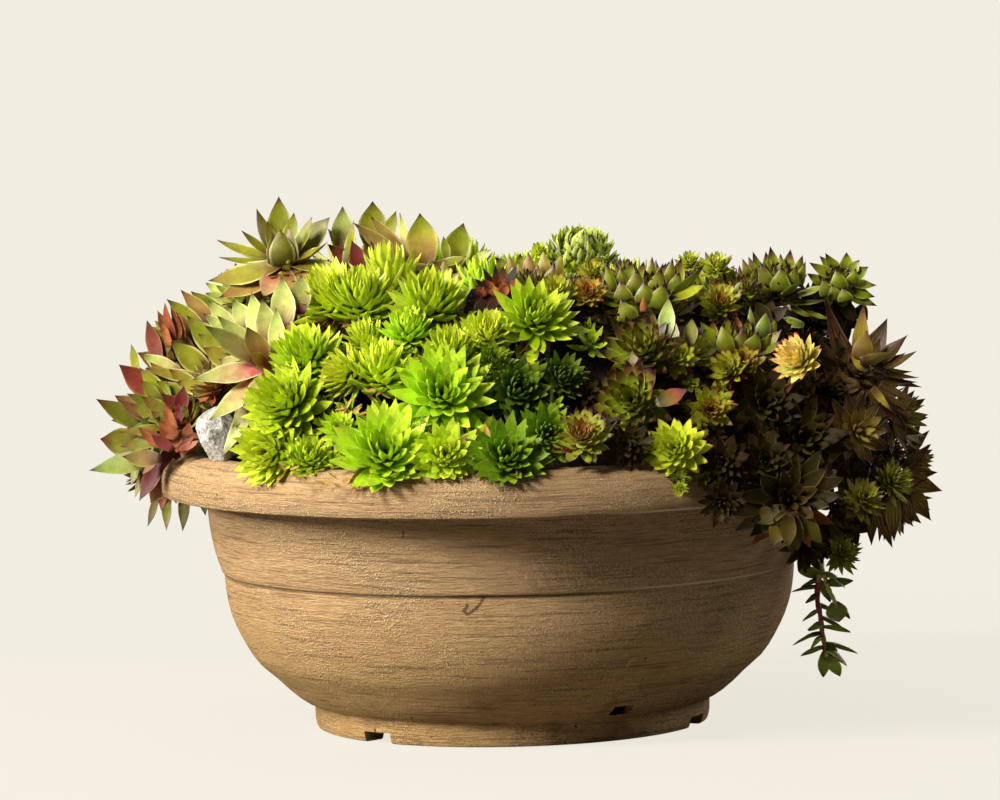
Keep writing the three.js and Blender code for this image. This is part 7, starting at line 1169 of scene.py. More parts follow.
def leaf_material(name, stops, margin, tip, under, young=None, old=None, young_amt=.6, old_amt=.5, margin_amt=.7, tip_from=.93,
                  dried=((0, (92, 52, 24)), (.45, (150, 84, 36)), (1, (196, 150, 92))), rough=.42, vary=.16, hue=.015, sss=.10, veins=.0, tip_amt=1.0, deep=.6, streak=None, dark=0.0, blush=None, spec=.45):
    t = Tree(name)
    s, x, side = t.vec("lf")
    age, rnd, dry = t.vec("lv")
    lr = t.fac("lr")
    pos = t.place()
    blot = t.noise(pos, 190, 3)
    fine = t.noise(pos, 1100, 3, .6)
    s2 = t.math("ADD", s, t.math("MULTIPLY", t.math("SUBTRACT", blot, .5), .30))
    col = t.ramp(s2, stops)
    if streak is not None:
        f = t.step(t.math("SINE", t.math("ADD", t.math("MULTIPLY", x, 15.0), t.math("MULTIPLY", t.math("SUBTRACT", t.noise(pos, 90, 2), .5), 9.0))), .1, .9)
        col = t.mix(t.math("MULTIPLY", t.math("MULTIPLY", f, t.step(s, .95, .45)), streak[1]), col, lin(streak[0]))
    if young is not None:
        col = t.mix(t.math("MULTIPLY", t.step(age, .55, .05), young_amt), col, lin(young))
    if old is not None:
        f = t.math("MULTIPLY", t.step(age, .62, 1.0), t.step(rnd, .35, .95, 0, old_amt))
        col = t.mix(f, col, lin(old))
    col = t.mix(t.math("MULTIPLY", t.step(side, -.15, -.7), .75), col, lin(under))
    if blush is not None:
        f = t.step(t.math("ADD", t.noise(pos, 75, 3, .6), t.math("MULTIPLY", t.math("SUBTRACT", rnd, .5), .34)), .46, .66)
        f = t.math("MULTIPLY", f, t.math("MAXIMUM", t.step(s, .30, .85, .25, 1), t.step(x, .5, .9)))
        col = t.mix(t.math("MULTIPLY", f, blush[1]), col, lin(blush[0]))
        col = t.mix(t.step(t.math("ADD", s, t.math("MULTIPLY", t.math("SUBTRACT", blot, .5), .25)), .58, .90, 0, blush[2]), col, lin(blush[0]))
    edge = t.math("MULTIPLY", t.step(x, .74, .97), t.math("SUBTRACT", 1.0, t.step(s, tip_from - .05, tip_from + .03)))
    rim = t.mix(t.math("MULTIPLY", t.step(s, .50, .84), dark), lin(margin), lin(tip))
    col = t.mix(t.math("MULTIPLY", edge, margin_amt), col, rim)
    tipm = t.math("MULTIPLY", t.step(t.math("ADD", s, t.math("MULTIPLY", t.math("SUBTRACT", fine, .5), .05)), tip_from - .04, tip_from + .05), tip_amt)
    col = t.mix(tipm, col, lin(tip))
    # light and dark leaves and plants, blotches and specks
    v = t.math("ADD", 1.0, t.math("MULTIPLY", t.math("SUBTRACT", rnd, .5), vary * 2))
    v = t.math("MULTIPLY", v, t.math("ADD", 1.0, t.math("MULTIPLY", t.math("SUBTRACT", lr, .5), vary * 1.2)))
    v = t.math("MULTIPLY", v, t.step(blot, .25, .75, .86, 1.12))
    v = t.math("MULTIPLY", v, t.step(fine, .30, .70, .93, 1.06))
    # painted shade: each leaf darkens towards its base, deep inside the rosette
    v = t.math("MULTIPLY", v, t.step(s, 0.0, .58, deep * .72, 1.06))
    h = t.math("ADD", .5, t.math("MULTIPLY", t.math("SUBTRACT", lr, .5), hue * 2))
    h = t.math("ADD", h, t.math("MULTIPLY", t.math("SUBTRACT", blot, .5), hue * 2))
    col = t.node("ShaderNodeHueSaturation", {"Hue": h, "Value": v, "Color": col}).outputs[0]
    # withered leaves
    fib = t.noise(pos, 420, 4, .7, .4)
    rust = t.ramp(t.math("ADD", t.math("MULTIPLY", fib, .8), t.math("MULTIPLY", t.math("SUBTRACT", rnd, .3), .4)), dried)
    col = t.mix(dry, col, rust)
    ro = t.math("ADD", t.step(blot, .2, .8, rough - .06, rough + .10), t.math("MULTIPLY", dry, .3))
    vein = t.math("MULTIPLY", t.math("SINE", t.math("MULTIPLY", x, 26.0)), t.math("ADD", veins, t.math("MULTIPLY", dry, .6)))
    height = t.math("ADD", t.math("ADD", t.math("MULTIPLY", fine, .5), t.math("MULTIPLY", blot, .8)), t.math("MULTIPLY", vein, .35))
    return t.finish(col, ro, height, .0005, .45, Subsurface_Weight=sss, Subsurface_Radius=(.004, .006, .0015), Subsurface_Scale=.35,
                    Specular_IOR_Level=spec)


GREEN_DRY = ((0, (112, 74, 22)), (.45, (176, 128, 44)), (1, (222, 190, 110)))
RED_DRY = ((0, (74, 26, 14)), (.45, (150, 66, 26)), (1, (206, 140, 84)))
LEAF = {
    "A":  leaf_material("leaf_A", [(0, (206, 67, 85)), (.13, (211, 114, 97)), (.30, (211, 192, 113)), (.75, (195, 204, 107)), (.93, (132, 135, 67))], (250, 250, 173), (75, 42, 41), (194, 192, 101),
                        young=(153, 174, 51), young_amt=.6, old=(187, 162, 93), old_amt=.7, sss=.12, rough=.46, dried=RED_DRY, vary=.2, deep=.42),
    "AP":  leaf_material("leaf_AP", [(0, (206, 50, 84)), (.20, (212, 88, 100)), (.40, (206, 164, 120)), (.75, (186, 194, 105)), (.93, (126, 129, 66))], (238, 238, 170), (71, 40, 40), (185, 183, 99),
                        young=(146, 166, 50), young_amt=.6, old=(178, 154, 91), old_amt=.7, sss=.12, rough=.46, dried=RED_DRY, vary=.2, deep=1.15),
    "AG": leaf_material("leaf_AG", [(0, (134, 49, 46)), (.13, (138, 82, 53)), (.30, (138, 139, 61)), (.75, (129, 148, 58)), (.93, (87, 97, 36))], (141, 155, 82), (49, 30, 22), (127, 139, 54),
                        young=(100, 127, 27), young_amt=.6, old=(123, 117, 50), old_amt=.7, sss=.12, rough=.46, dried=RED_DRY, vary=.2, deep=.42),
    "AT": leaf_material("leaf_AT", [(0, (196, 120, 80)), (.3, (176, 150, 80)), (.7, (158, 150, 70)), (1, (130, 90, 60))], (210, 198, 124), (84, 50, 40), (158, 124, 76),
                        young=(170, 164, 66), old=(176, 122, 76), old_amt=.8, rough=.48, dried=RED_DRY, vary=.2, deep=.42),
    "AR": leaf_material("leaf_AR", [(0, (170, 74, 46)), (.3, (150, 92, 46)), (.65, (126, 112, 46)), (1, (100, 44, 32))], (190, 150, 88), (60, 22, 20), (140, 66, 36),
                        young=(150, 156, 56), old=(134, 58, 34), old_amt=.9, rough=.45, dried=RED_DRY, vary=.2, deep=.42),
    "AD": leaf_material("leaf_AD", [(0, (130, 38, 30)), (.3, (110, 36, 26)), (.65, (104, 70, 38)), (1, (76, 28, 22))], (176, 116, 66), (50, 18, 16), (116, 34, 26),
                        young=(150, 134, 56), old=(100, 30, 22), old_amt=1.0, rough=.42, dried=((0, (70, 28, 14)), (.45, (140, 72, 34)), (1, (196, 132, 80)))),
    "AM": leaf_material("leaf_AM", [(0, (150, 60, 36)), (.12, (110, 44, 34)), (.30, (70, 44, 34)), (.6, (52, 40, 30)), (1, (40, 30, 24))], (110, 96, 66), (28, 18, 16), (56, 44, 34),
                        young=(206, 92, 52), young_amt=1.0, rough=.5, sss=.04, dried=RED_DRY, spec=.22),
    "B":  leaf_material("leaf_B", [(0, (194, 210, 46)), (.22, (186, 216, 26)), (.65, (188, 220, 24)), (.93, (222, 238, 62))], (224, 234, 112), (226, 214, 132), (176, 208, 30),
                        young=(206, 220, 52), young_amt=.7, old=(196, 200, 50), rough=.36, sss=.10, dried=GREEN_DRY, tip_from=.965, tip_amt=.6, margin_amt=.6, vary=.19, hue=.010, deep=.46),
    "BO": leaf_material("leaf_BO", [(0, (202, 216, 50)), (.22, (188, 220, 26)), (.65, (188, 222, 24)), (.93, (220, 238, 62))], (220, 234, 108), (216, 208, 122), (176, 208, 28),
                        young=(170, 196, 34), young_amt=.5, old=(196, 204, 52), rough=.34, sss=.10, dried=GREEN_DRY, tip_from=.965, tip_amt=.6, margin_amt=.6, vary=.19, hue=.010, deep=.46),
    # BM: a darker copy of the green BO leaves, for rosettes low at the front in half shade; the darkness is painted
    # shade
    "BM": leaf_material("leaf_BM", [(0, (137, 156, 36)), (.22, (128, 158, 19)), (.65, (128, 160, 17)), (.93, (150, 171, 45))], (150, 168, 78), (147, 150, 88), (120, 150, 20),
                        young=(116, 141, 24), young_amt=.5, old=(133, 147, 37), rough=.34, sss=.10, dried=GREEN_DRY, tip_from=.965, tip_amt=.6, margin_amt=.6, vary=.19, hue=.010, deep=.46),
    "BY": leaf_material("leaf_BY", [(0, (212, 216, 56)), (.25, (208, 222, 42)), (.7, (206, 224, 36)), (.93, (228, 238, 78))], (234, 238, 126), (224, 212, 126), (196, 214, 40),
                        young=(224, 230, 64), young_amt=.8, old=(206, 208, 58), rough=.35, sss=.10, dried=GREEN_DRY, tip_from=.965, tip_amt=.6, margin_amt=.6, vary=.17, hue=.010, deep=.46),
    "C":  leaf_material("leaf_C", [(0, (160, 130, 50)), (.2, (150, 152, 34)), (.55, (140, 156, 26)), (.66, (132, 132, 36)), (.84, (96, 60, 34))], (204, 204, 96), (50, 26, 24), (140, 146, 34),
                        young=(166, 178, 40), old=(150, 104, 44), old_amt=.6, rough=.36, sss=.12, tip_from=.80, dried=RED_DRY, hue=.010, vary=.2, dark=.9, margin_amt=.85, blush=((112, 64, 38), .75, .85)),
    "CG": leaf_material("leaf_CG", [(0, (166, 160, 44)), (.3, (152, 164, 26)), (.66, (142, 154, 28)), (.86, (104, 74, 36))], (204, 214, 96), (52, 26, 28), (140, 148, 32),
                        young=(168, 190, 44), old=(134, 120, 44), old_amt=.5, rough=.34, sss=.12, tip_from=.82, dried=RED_DRY, hue=.008, vary=.2, dark=.9, margin_amt=.85, blush=((116, 76, 40), .45, .80)),
    "CY": leaf_material("leaf_CY", [(0, (180, 164, 54)), (.3, (170, 164, 44)), (.75, (160, 156, 42)), (1, (130, 96, 50))], (186, 184, 90), (60, 32, 26), (112, 110, 36),
                        young=(166, 166, 50), old=(110, 80, 38), old_amt=.7, rough=.42, tip_from=.88, dried=RED_DRY, dark=.8),
    # CD: a dark, brownish copy of the olive leaves, used for shaded rosettes, gap-filling fans and chicks in hollows;
    # its darkness is painted shade
    "CD": leaf_material("leaf_CD", [(0, (80, 49, 30)), (.25, (73, 54, 25)), (.65, (65, 50, 22)), (1, (46, 26, 20))], (111, 98, 53), (27, 13, 13), (62, 44, 26),
                        young=(81, 74, 24), old=(62, 34, 22), old_amt=.8, rough=.40, sss=.06, tip_from=.88, dried=((0, (41, 17, 9)), (.45, (77, 40, 20)), (1, (118, 74, 46))), dark=.8, spec=.22),
    "D":  leaf_material("leaf_D", [(0, (201, 181, 61)), (.22, (181, 167, 58)), (.48, (125, 99, 53)), (.75, (102, 68, 50)), (1, (70, 41, 36))], (205, 181, 119), (49, 27, 25), (119, 75, 58),
                        young=(181, 162, 53), old=(102, 63, 48), old_amt=.7, rough=.38, sss=.08, tip_from=.90, dried=RED_DRY, streak=((213, 193, 71), .75), spec=.22),
    "DP":  leaf_material("leaf_DP", [(0, (123, 94, 36)), (.22, (111, 87, 34)), (.48, (77, 52, 31)), (.75, (62, 35, 29)), (1, (43, 21, 21))], (125, 94, 69), (30, 14, 15), (73, 39, 34),
                        young=(111, 84, 31), old=(62, 32, 28), old_amt=.7, rough=.38, sss=.08, tip_from=.90, dried=RED_DRY, streak=((130, 100, 41), .75), spec=.22),
    "DG": leaf_material("leaf_DG", [(0, (87, 36, 23)), (.16, (75, 45, 24)), (.38, (71, 63, 25)), (.75, (63, 56, 23)), (1, (47, 34, 22))], (117, 105, 56), (32, 17, 14), (60, 47, 26),
                        young=(79, 45, 25), old=(66, 47, 26), old_amt=.6, rough=.42, sss=.08, dried=RED_DRY, spec=.22),
    "E":  leaf_material("leaf_E", [(0, (133, 155, 43)), (.4, (167, 193, 62)), (.8, (219, 234, 107)), (1, (254, 255, 164))], (254, 255, 159), (231, 215, 130), (196, 219, 95),
                        young=(212, 228, 103), old=(133, 153, 49), rough=.5, sss=.10, margin_amt=.9, tip_from=.97, tip_amt=.4, dried=GREEN_DRY, vary=.24, deep=.5, hue=.008),
    "X":  leaf_material("leaf_X", [(0, (194, 134, 58)), (.3, (187, 183, 52)), (.7, (180, 183, 48)), (1, (165, 110, 56))], (244, 227, 116), (143, 74, 34), (165, 161, 46),
                        young=(183, 119, 52), young_amt=1.0, old=(151, 143, 38), rough=.46, tip_from=.86, dried=RED_DRY, vary=.2, dark=.8),
    "XH":  leaf_material("leaf_XH", [(0, (159, 84, 44)), (.3, (171, 166, 55)), (.7, (176, 182, 55)), (1, (127, 84, 48))], (255, 250, 143), (81, 43, 28), (146, 142, 48),
                        young=(178, 106, 55), young_amt=1.0, old=(137, 142, 44), rough=.46, tip_from=.86, dried=RED_DRY, vary=.2, dark=.8),
    "XO":  leaf_material("leaf_XO", [(0, (205, 121, 56)), (.3, (203, 162, 62)), (.7, (190, 164, 58)), (1, (173, 104, 54))], (244, 201, 116), (152, 65, 32), (173, 140, 52),
                        young=(192, 119, 56), young_amt=1.0, old=(160, 125, 36), rough=.46, tip_from=.86, dried=RED_DRY, vary=.2, dark=.8),
    "XP": leaf_material("leaf_XP", [(0, (220, 224, 86)), (.45, (228, 233, 101)), (.78, (249, 231, 120)), (1, (255, 177, 134))], (255, 249, 180), (240, 85, 91), (254, 242, 115),
                        young=(255, 220, 156), young_amt=.6, old=(209, 185, 72), rough=.44, tip_from=.91, dried=RED_DRY, vary=.2),
    "Y":  leaf_material("leaf_Y", [(0, (199, 200, 66)), (.3, (187, 194, 44)), (.75, (179, 184, 44)), (1, (163, 122, 55))], (225, 217, 114), (126, 72, 40), (174, 176, 48),
                        young=(206, 208, 66), old=(168, 153, 55), rough=.42, tip_from=.88, dried=RED_DRY, vary=.2, dark=.8),
    "YB": leaf_material("leaf_YB", [(0, (231, 224, 64)), (.3, (224, 235, 50)), (.75, (215, 229, 44)), (.93, (231, 227, 84))], (255, 253, 140), (168, 121, 60), (179, 200, 40),
                        young=(190, 209, 40), old=(202, 202, 50), rough=.38, sss=.12, tip_from=.92, dried=RED_DRY, dark=.8),
}
LEAF["BB"] = LEAF["BY"]
# BD: a darker copy of the green leaves, for rosettes in the shade of their neighbours; the darkness is painted shade
LEAF["BD"] = leaf_material("leaf_BD", [(0, (84, 92, 28)), (.22, (88, 110, 24)), (.65, (94, 120, 26)), (.93, (130, 152, 46))], (120, 140, 50), (130, 130, 60), (84, 108, 24),
                           young=(84, 110, 24), old=(80, 90, 24), rough=.36, sss=.06, dried=GREEN_DRY, tip_from=.965, tip_amt=.5, margin_amt=.5, vary=.15, hue=.006, deep=.4)
LEAF.update({
    "A1": leaf_material("leaf_A1", [(0, (171, 82, 37)), (.14, (162, 120, 34)), (.36, (150, 149, 26)), (.8, (141, 144, 20)), (.95, (98, 82, 19))], (222, 216, 132), (49, 29, 15), (124, 123, 28),
                        young=(131, 137, 17), young_amt=.6, old=(158, 142, 37), old_amt=.6, sss=.12, rough=.42, dried=RED_DRY, tip_from=.93, margin_amt=.95, vary=.2, dark=.75, deep=.42, blush=((150, 84, 60), .32, .10)),
    "AH": leaf_material("leaf_AH", [(0, (137, 67, 30)), (.14, (130, 98, 27)), (.36, (120, 122, 21)), (.8, (113, 118, 16)), (.95, (78, 67, 15))], (155, 156, 60), (39, 24, 12), (99, 101, 22),
                        young=(105, 112, 14), young_amt=.6, old=(126, 116, 30), old_amt=.6, sss=.12, rough=.42, dried=RED_DRY, tip_from=.93, margin_amt=.95, vary=.2, dark=.75, deep=.42, blush=((120, 56, 42), .50, .40)),
    "TAN": leaf_material("leaf_TAN", [(0, (149, 72, 40)), (.3, (164, 115, 58)), (.65, (160, 135, 63)), (.9, (136, 101, 50)), (1, (93, 52, 32))], (199, 184, 102), (56, 31, 22), (147, 112, 58),
                         old=(149, 97, 52), old_amt=.7, sss=.10, rough=.46, dried=RED_DRY, tip_from=.92, vary=.2, deep=.42),
    "TH": leaf_material("leaf_TH", [(0, (119, 58, 32)), (.3, (131, 92, 46)), (.65, (128, 108, 50)), (.9, (109, 81, 40)), (1, (74, 42, 26))], (159, 147, 82), (45, 25, 18), (118, 90, 46),
                         old=(119, 78, 42), old_amt=.7, sss=.10, rough=.46, dried=RED_DRY, tip_from=.92, vary=.2, deep=.42),
    "TANG": leaf_material("leaf_TANG", [(0, (154, 94, 52)), (.3, (182, 144, 69)), (.55, (167, 153, 54)), (.8, (140, 146, 28)), (1, (89, 90, 24))], (205, 193, 90), (56, 32, 21), (158, 140, 50),
                          sss=.12, rough=.42, dried=RED_DRY, tip_from=.93, dark=.75, deep=.42),
    "PINK": leaf_material("leaf_PINK", [(0, (190, 66, 66)), (.3, (206, 118, 92)), (.7, (206, 156, 112)), (1, (186, 150, 100))], (222, 186, 140), (110, 50, 44), (186, 110, 84),
                          sss=.12, rough=.42, dried=RED_DRY),
    "MAR": leaf_material("leaf_MAR", [(0, (160, 30, 30)), (.2, (130, 26, 20)), (.6, (112, 32, 20)), (.9, (90, 34, 22)), (1, (60, 22, 18))], (150, 96, 60), (44, 20, 18), (90, 34, 26),
                         sss=.06, rough=.48, dried=((0, (60, 20, 14)), (.45, (120, 48, 30)), (1, (176, 96, 62))), margin_amt=.6, vary=.2),
    "RUST": leaf_material("leaf_RUST", [(0, (110, 50, 28)), (.4, (150, 86, 42)), (1, (140, 74, 38))], (190, 134, 78), (70, 34, 22), (124, 62, 34),
                          sss=.05, rough=.5, dried=((0, (84, 36, 18)), (.45, (150, 78, 34)), (1, (206, 144, 82))), margin_amt=.6, vary=.25),
    "ST": leaf_material("leaf_straw", [(0, (150, 110, 50)), (.4, (190, 150, 70)), (1, (206, 176, 100))], (220, 196, 124), (120, 80, 44), (180, 140, 70),
                        sss=.05, rough=.6, dried=((0, (120, 80, 30)), (.45, (190, 146, 62)), (1, (226, 200, 124))), margin_amt=.3, vary=.25),
    "PALE": leaf_material("leaf_PALE", [(0, (170, 166, 110)), (.5, (196, 192, 146)), (1, (170, 160, 116))], (236, 234, 214), (120, 90, 70), (206, 200, 170), rough=.4, sss=.15),
    "PG": leaf_material("leaf_PG", [(0, (120, 116, 40)), (.3, (142, 158, 54)), (.7, (158, 172, 66)), (1, (104, 92, 40))], (226, 232, 180), (70, 44, 30), (130, 142, 54), rough=.4, sss=.15, dark=.75),
    "OR": leaf_material("leaf_OR", [(0, (87, 90, 13)), (.40, (126, 102, 16)), (.66, (148, 73, 16)), (.86, (109, 38, 13)), (1, (71, 22, 12))], (143, 89, 24), (54, 19, 12), (148, 96, 24), rough=.5, sss=.04, dark=.75),
    "YG": leaf_material("leaf_YG", [(0, (150, 130, 40)), (.3, (170, 180, 36)), (.75, (176, 190, 40)), (1, (130, 90, 40))], (206, 206, 90), (84, 50, 30), (160, 164, 40), rough=.36, sss=.12, dark=.75),
    "DY": leaf_material("leaf_DY", [(0, (127, 69, 63)), (.2, (158, 108, 63)), (.4, (217, 194, 63)), (.62, (201, 168, 65)), (.85, (137, 83, 63)), (1, (70, 35, 40))], (207, 174, 116), (53, 26, 29), (180, 148, 69), rough=.36, sss=.10, vary=.2, streak=((186, 158, 65), .75), dark=.75),
    "DL": leaf_material("leaf_DL", [(0, (88, 66, 14)), (.3, (97, 81, 15)), (.7, (86, 75, 14)), (.92, (61, 54, 13)), (1, (36, 25, 10))], (117, 99, 30), (29, 16, 8), (88, 78, 16), rough=.44, sss=.08, vary=.2, dark=.75, spec=.22),
    "DB": leaf_material("leaf_DB", [(0, (131, 99, 48)), (.3, (133, 99, 58)), (.8, (99, 69, 50)), (1, (57, 36, 31))], (178, 147, 101), (43, 26, 26), (107, 73, 53), rough=.40, sss=.08, vary=.2, streak=((210, 190, 74), .75), dark=.75, spec=.22),
    "DQ": leaf_material("leaf_DQ", [(0, (97, 66, 34)), (.3, (98, 66, 41)), (.8, (74, 46, 36)), (1, (42, 24, 22))], (132, 98, 71), (32, 17, 19), (79, 49, 37), rough=.40, sss=.08, vary=.2, streak=((155, 127, 53), .75), dark=.75, spec=.22),
})


def pot_material():
    t = Tree("pot_moulded")
    pos = t.place()
    mp = lambda sx, sz: t.node("ShaderNodeMapping", {"Vector": pos, "Scale": (sx, sx, sz)}).outputs[0]
    grain = t.noise(mp(75, 1050), 1.0, 4, .6, .3)
    grain2 = t.noise(mp(190, 2300), 1.0, 3, .6, .2)
    broad = t.noise(mp(8, 60), 1.0, 3, .5)
    grit = t.noise(pos, 1250, 2, .6)
    dots = t.node("ShaderNodeTexVoronoi", {"Vector": pos, "Scale": 420.0}).outputs["Distance"]
    z = t.node("ShaderNodeSeparateXYZ", {"Vector": pos}).outputs[2]
    px = t.node("ShaderNodeSeparateXYZ", {"Vector": pos}).outputs[0]
    col = t.ramp(t.math("ADD", t.math("MULTIPLY", grain, .7), t.math("MULTIPLY", broad, .3)), [(.25, (158, 124, 84)), (.5, (206, 166, 117)), (.75, (230, 192, 140))])
    v = t.math("MULTIPLY", t.step(grain2, .3, .7, .80, 1.09), t.step(grit, .35, .7, .86, 1.08))
    col = t.node("ShaderNodeHueSaturation", {"Value": v, "Color": col}).outputs[0]
    # long dark streaks along the wall, and patches of raised grit: pale specks on the grains that are partly painted
    # highlight, and dark pits that are partly painted shade
    streaks = t.step(t.noise(mp(22, 820), 1.0, 3, .55), .55, .64, 0, .58)
    col = t.mix(streaks, col, lin((104, 78, 50)))
    patch = t.step(t.noise(mp(16, 26), 1.0, 2, .5), .40, .56)
    grit_and_glints = t.math("MULTIPLY", t.step(t.node("ShaderNodeTexVoronoi", {"Vector": pos, "Scale": 660.0}).outputs["Distance"], .42, .16), patch)
    pits_and_shade = t.math("MULTIPLY", t.step(t.node("ShaderNodeTexVoronoi", {"Vector": mp(430, 560), "Scale": 1.0}).outputs["Distance"], .30, .12), patch)
    # dark pits and pale grains in the patches: partly painted shade and partly painted highlight
    col = t.mix(t.math("MULTIPLY", pits_and_shade, .68), col, lin((104, 74, 44)))
    col = t.mix(t.math("MULTIPLY", grit_and_glints, .68), col, lin((250, 222, 176)))
    # splashes and specks of dirt, more near the foot and at one side
    speck = t.noise(pos, 330, 2, .5)
    where = t.math("ADD", t.step(z, .11, .015), t.step(px, .02, .14, 0, .6))
    th = t.math("SUBTRACT", .775, t.math("MULTIPLY", where, .045))
    dirt = t.step(t.math("SUBTRACT", speck, th), 0.0, .012)
    film = t.math("MULTIPLY", t.step(t.noise(pos, 60, 4, .6), .50, .72), t.step(z, .05, .005, 0, .55))
    col = t.mix(film, col, lin((92, 66, 42)))
    col = t.mix(dirt, col, lin((30, 20, 14)))
    pale = t.math("MULTIPLY", t.step(t.noise(mp(120, 300), 1.0, 2, .5), .70, .74), .5)
    col = t.mix(pale, col, lin((222, 196, 160)))
    # a few marks on the front: a hooked brown smear, a nick and a pale scratch
    flat = t.node("ShaderNodeCombineXYZ", {0: px, 1: z, 2: 0.0}).outputs[0]

    def mark(points):
        best = None
        for (x0, z0), (x1, z1) in zip(points, points[1:]):
            a = ((x0 + OFFSET[0]) * MM, z0 * MM, 0.0)
            d = ((x1 - x0) * MM, (z1 - z0) * MM, 0.0)
            k = 1 / (d[0] ** 2 + d[1] ** 2)
            pa = t.node("ShaderNodeVectorMath", {0: flat, 1: a}, operation="SUBTRACT").outputs[0]
            h = t.math("MULTIPLY", t.node("ShaderNodeVectorMath", {0: pa, 1: d}, operation="DOT_PRODUCT").outputs["Value"], k, clamp=True)
            along = t.node("ShaderNodeVectorMath", {0: d, "Scale": h}, operation="SCALE").outputs[0]
            off = t.node("ShaderNodeVectorMath", {0: pa, 1: along}, operation="SUBTRACT").outputs[0]
            dist = t.node("ShaderNodeVectorMath", {0: off}, operation="LENGTH").outputs["Value"]
            best = dist if best is None else t.math("MINIMUM", best, dist)
        return best

    front = t.step(t.node("ShaderNodeSeparateXYZ", {"Vector": pos}).outputs[1], -.06, -.09)
    wob = t.math("MULTIPLY", t.math("SUBTRACT", grit, .5), .0014)
    smear = t.step(t.math("ADD", mark([(-14.3, 90.3), (-16.6, 86.6), (-19.4, 83.8), (-23.2, 81.0), (-25.6, 82.6), (-23.4, 86.0)]), t.math("MULTIPLY", wob, 2.0)), .0012, .0006)
    nick = t.step(t.math("ADD", mark([(-57.9, 127.6), (-58.1, 124.6)]), wob), .0006, .0002)
    pale2 = t.step(t.math("ADD", mark([(69.0, 51.9), (65.4, 49.8), (63.9, 47.0)]), wob), .0007, .0002)
    col = t.mix(t.math("MULTIPLY", t.math("MULTIPLY", smear, front), .8), col, lin((86, 58, 16)))
    col = t.mix(t.math("MULTIPLY", t.math("MULTIPLY", nick, front), .85), col, lin((46, 32, 20)))
    col = t.mix(t.math("MULTIPLY", t.math("MULTIPLY", pale2, front), .9), col, lin((220, 190, 150)))
    # painted highlights: thin pale lines along the edges of the step and of the rim at the front right, where those
    # edges catch light
    step_edge_highlight = t.math("MULTIPLY", t.math("MULTIPLY", t.step(z, .0911, .0914), t.step(z, .0926, .0922)), t.step(px, .028, .075))
    lip_highlight = t.math("MULTIPLY", t.math("MULTIPLY", t.step(z, .1366, .1369), t.step(z, .1386, .1380)), t.step(px, .040, .080))
    col = t.mix(t.math("MULTIPLY", t.math("MULTIPLY", t.math("MAXIMUM", step_edge_highlight, lip_highlight), front), t.step(grit, .2, .5, .5, .95)), col, lin((250, 226, 186)))
    # painted shadow: a thin dark line in the groove at the step, towards the left
    groove_shadow = t.math("MULTIPLY", t.math("MULTIPLY", t.step(z, .0892, .0897), t.step(z, .0914, .0909)), t.step(px, .070, .025))
    col = t.mix(t.math("MULTIPLY", groove_shadow, .55), col, lin((62, 42, 24)))
    col = t.mix(t.step(z, .110, .03, 0, .45), col, lin((255, 246, 190)), "MULTIPLY")
    height = t.math("ADD", t.math("ADD", t.math("MULTIPLY", grain, 1.25), t.math("MULTIPLY", grain2, .9)), t.math("ADD", t.math("ADD", t.math("MULTIPLY", grit, .9), t.math("MULTIPLY", grit_and_glints, .8)), t.math("MULTIPLY", t.step(dots, 0, .35), -.2)))
    return t.finish(col, t.step(grit, .3, .7, .50, .68), height, .0017, .72, Specular_IOR_Level=.32)


def soil_material():
    t = Tree("potting_soil")
    pos = t.place()
    a, b = t.noise(pos, 300, 4, .65), t.noise(pos, 60, 3)
    col = t.ramp(t.math("ADD", t.math("MULTIPLY", a, .8), t.math("MULTIPLY", b, .2)), [(.3, (14, 9, 6)), (.52, (34, 23, 16)), (.68, (64, 45, 30)), (.78, (120, 92, 62))])
    return t.finish(col, .95, a, .003, .8, Specular_IOR_Level=.2)


def rock_material():
    t = Tree("rock_speckled")
    pos = t.place()
    a, b, c = t.noise(pos, 260, 4, .7), t.noise(pos, 900, 2, .6), t.node("ShaderNodeTexVoronoi", {"Vector": pos, "Scale": 380.0}).outputs["Distance"]
    col = t.ramp(a, [(.30, (92, 88, 82)), (.45, (168, 164, 156)), (.60, (220, 217, 208)), (.8, (240, 238, 230))])
    col = t.mix(t.step(b, .60, .66, 0, .8), col, lin((44, 42, 40)))
    col = t.mix(t.step(c, .16, .05, 0, .5), col, lin((150, 146, 120)))
    return t.finish(col, .85, t.math("ADD", a, t.math("MULTIPLY", b, .5)), .002, .7, Specular_IOR_Level=.35)


def stem_material():
    t = Tree("sprig_stem")
    pos = t.place()
    s, x, side = t.vec("lf")
    n = t.noise(pos, 500, 3)
    col = t.ramp(t.math("ADD", s, t.math("MULTIPLY", t.math("SUBTRACT", n, .5), .12)), [(0, (206, 206, 110)), (.20, (200, 196, 110)), (.32, (160, 50, 44)), (.60, (150, 60, 48)), (.78, (190, 130, 80)), (1, (150, 150, 60))])
    return t.finish(col, .45, n, .0004, .4, Subsurface_Weight=.1, Subsurface_Radius=(.003, .002, .001), Subsurface_Scale=.4)


SEDUM = leaf_material("leaf_sedum", [(0, (170, 150, 70)), (.2, (140, 150, 46)), (.6, (116, 138, 38)), (.85, (96, 104, 34)), (1, (66, 48, 32))], (190, 190, 96), (44, 26, 20), (110, 118, 44),
                      young=None, old=None, rough=.36, sss=.12, margin_amt=.7, tip_from=.90, dark=.6)
TWIG = leaf_material("dry_scrap", [(0, (150, 110, 66)), (1, (150, 110, 66))], (150, 110, 66), (120, 80, 44), (140, 100, 60), margin_amt=0)

# ---------------------------------------------------------------- the plants
for q in plants:
    if q.style in ("B", "BO", "BY"):
        q.R *= 1.07
    if q.name in UNDER:
        f, sink = UNDER[q.name]
        q.R, q.p = q.R * f, q.p - q.n * sink
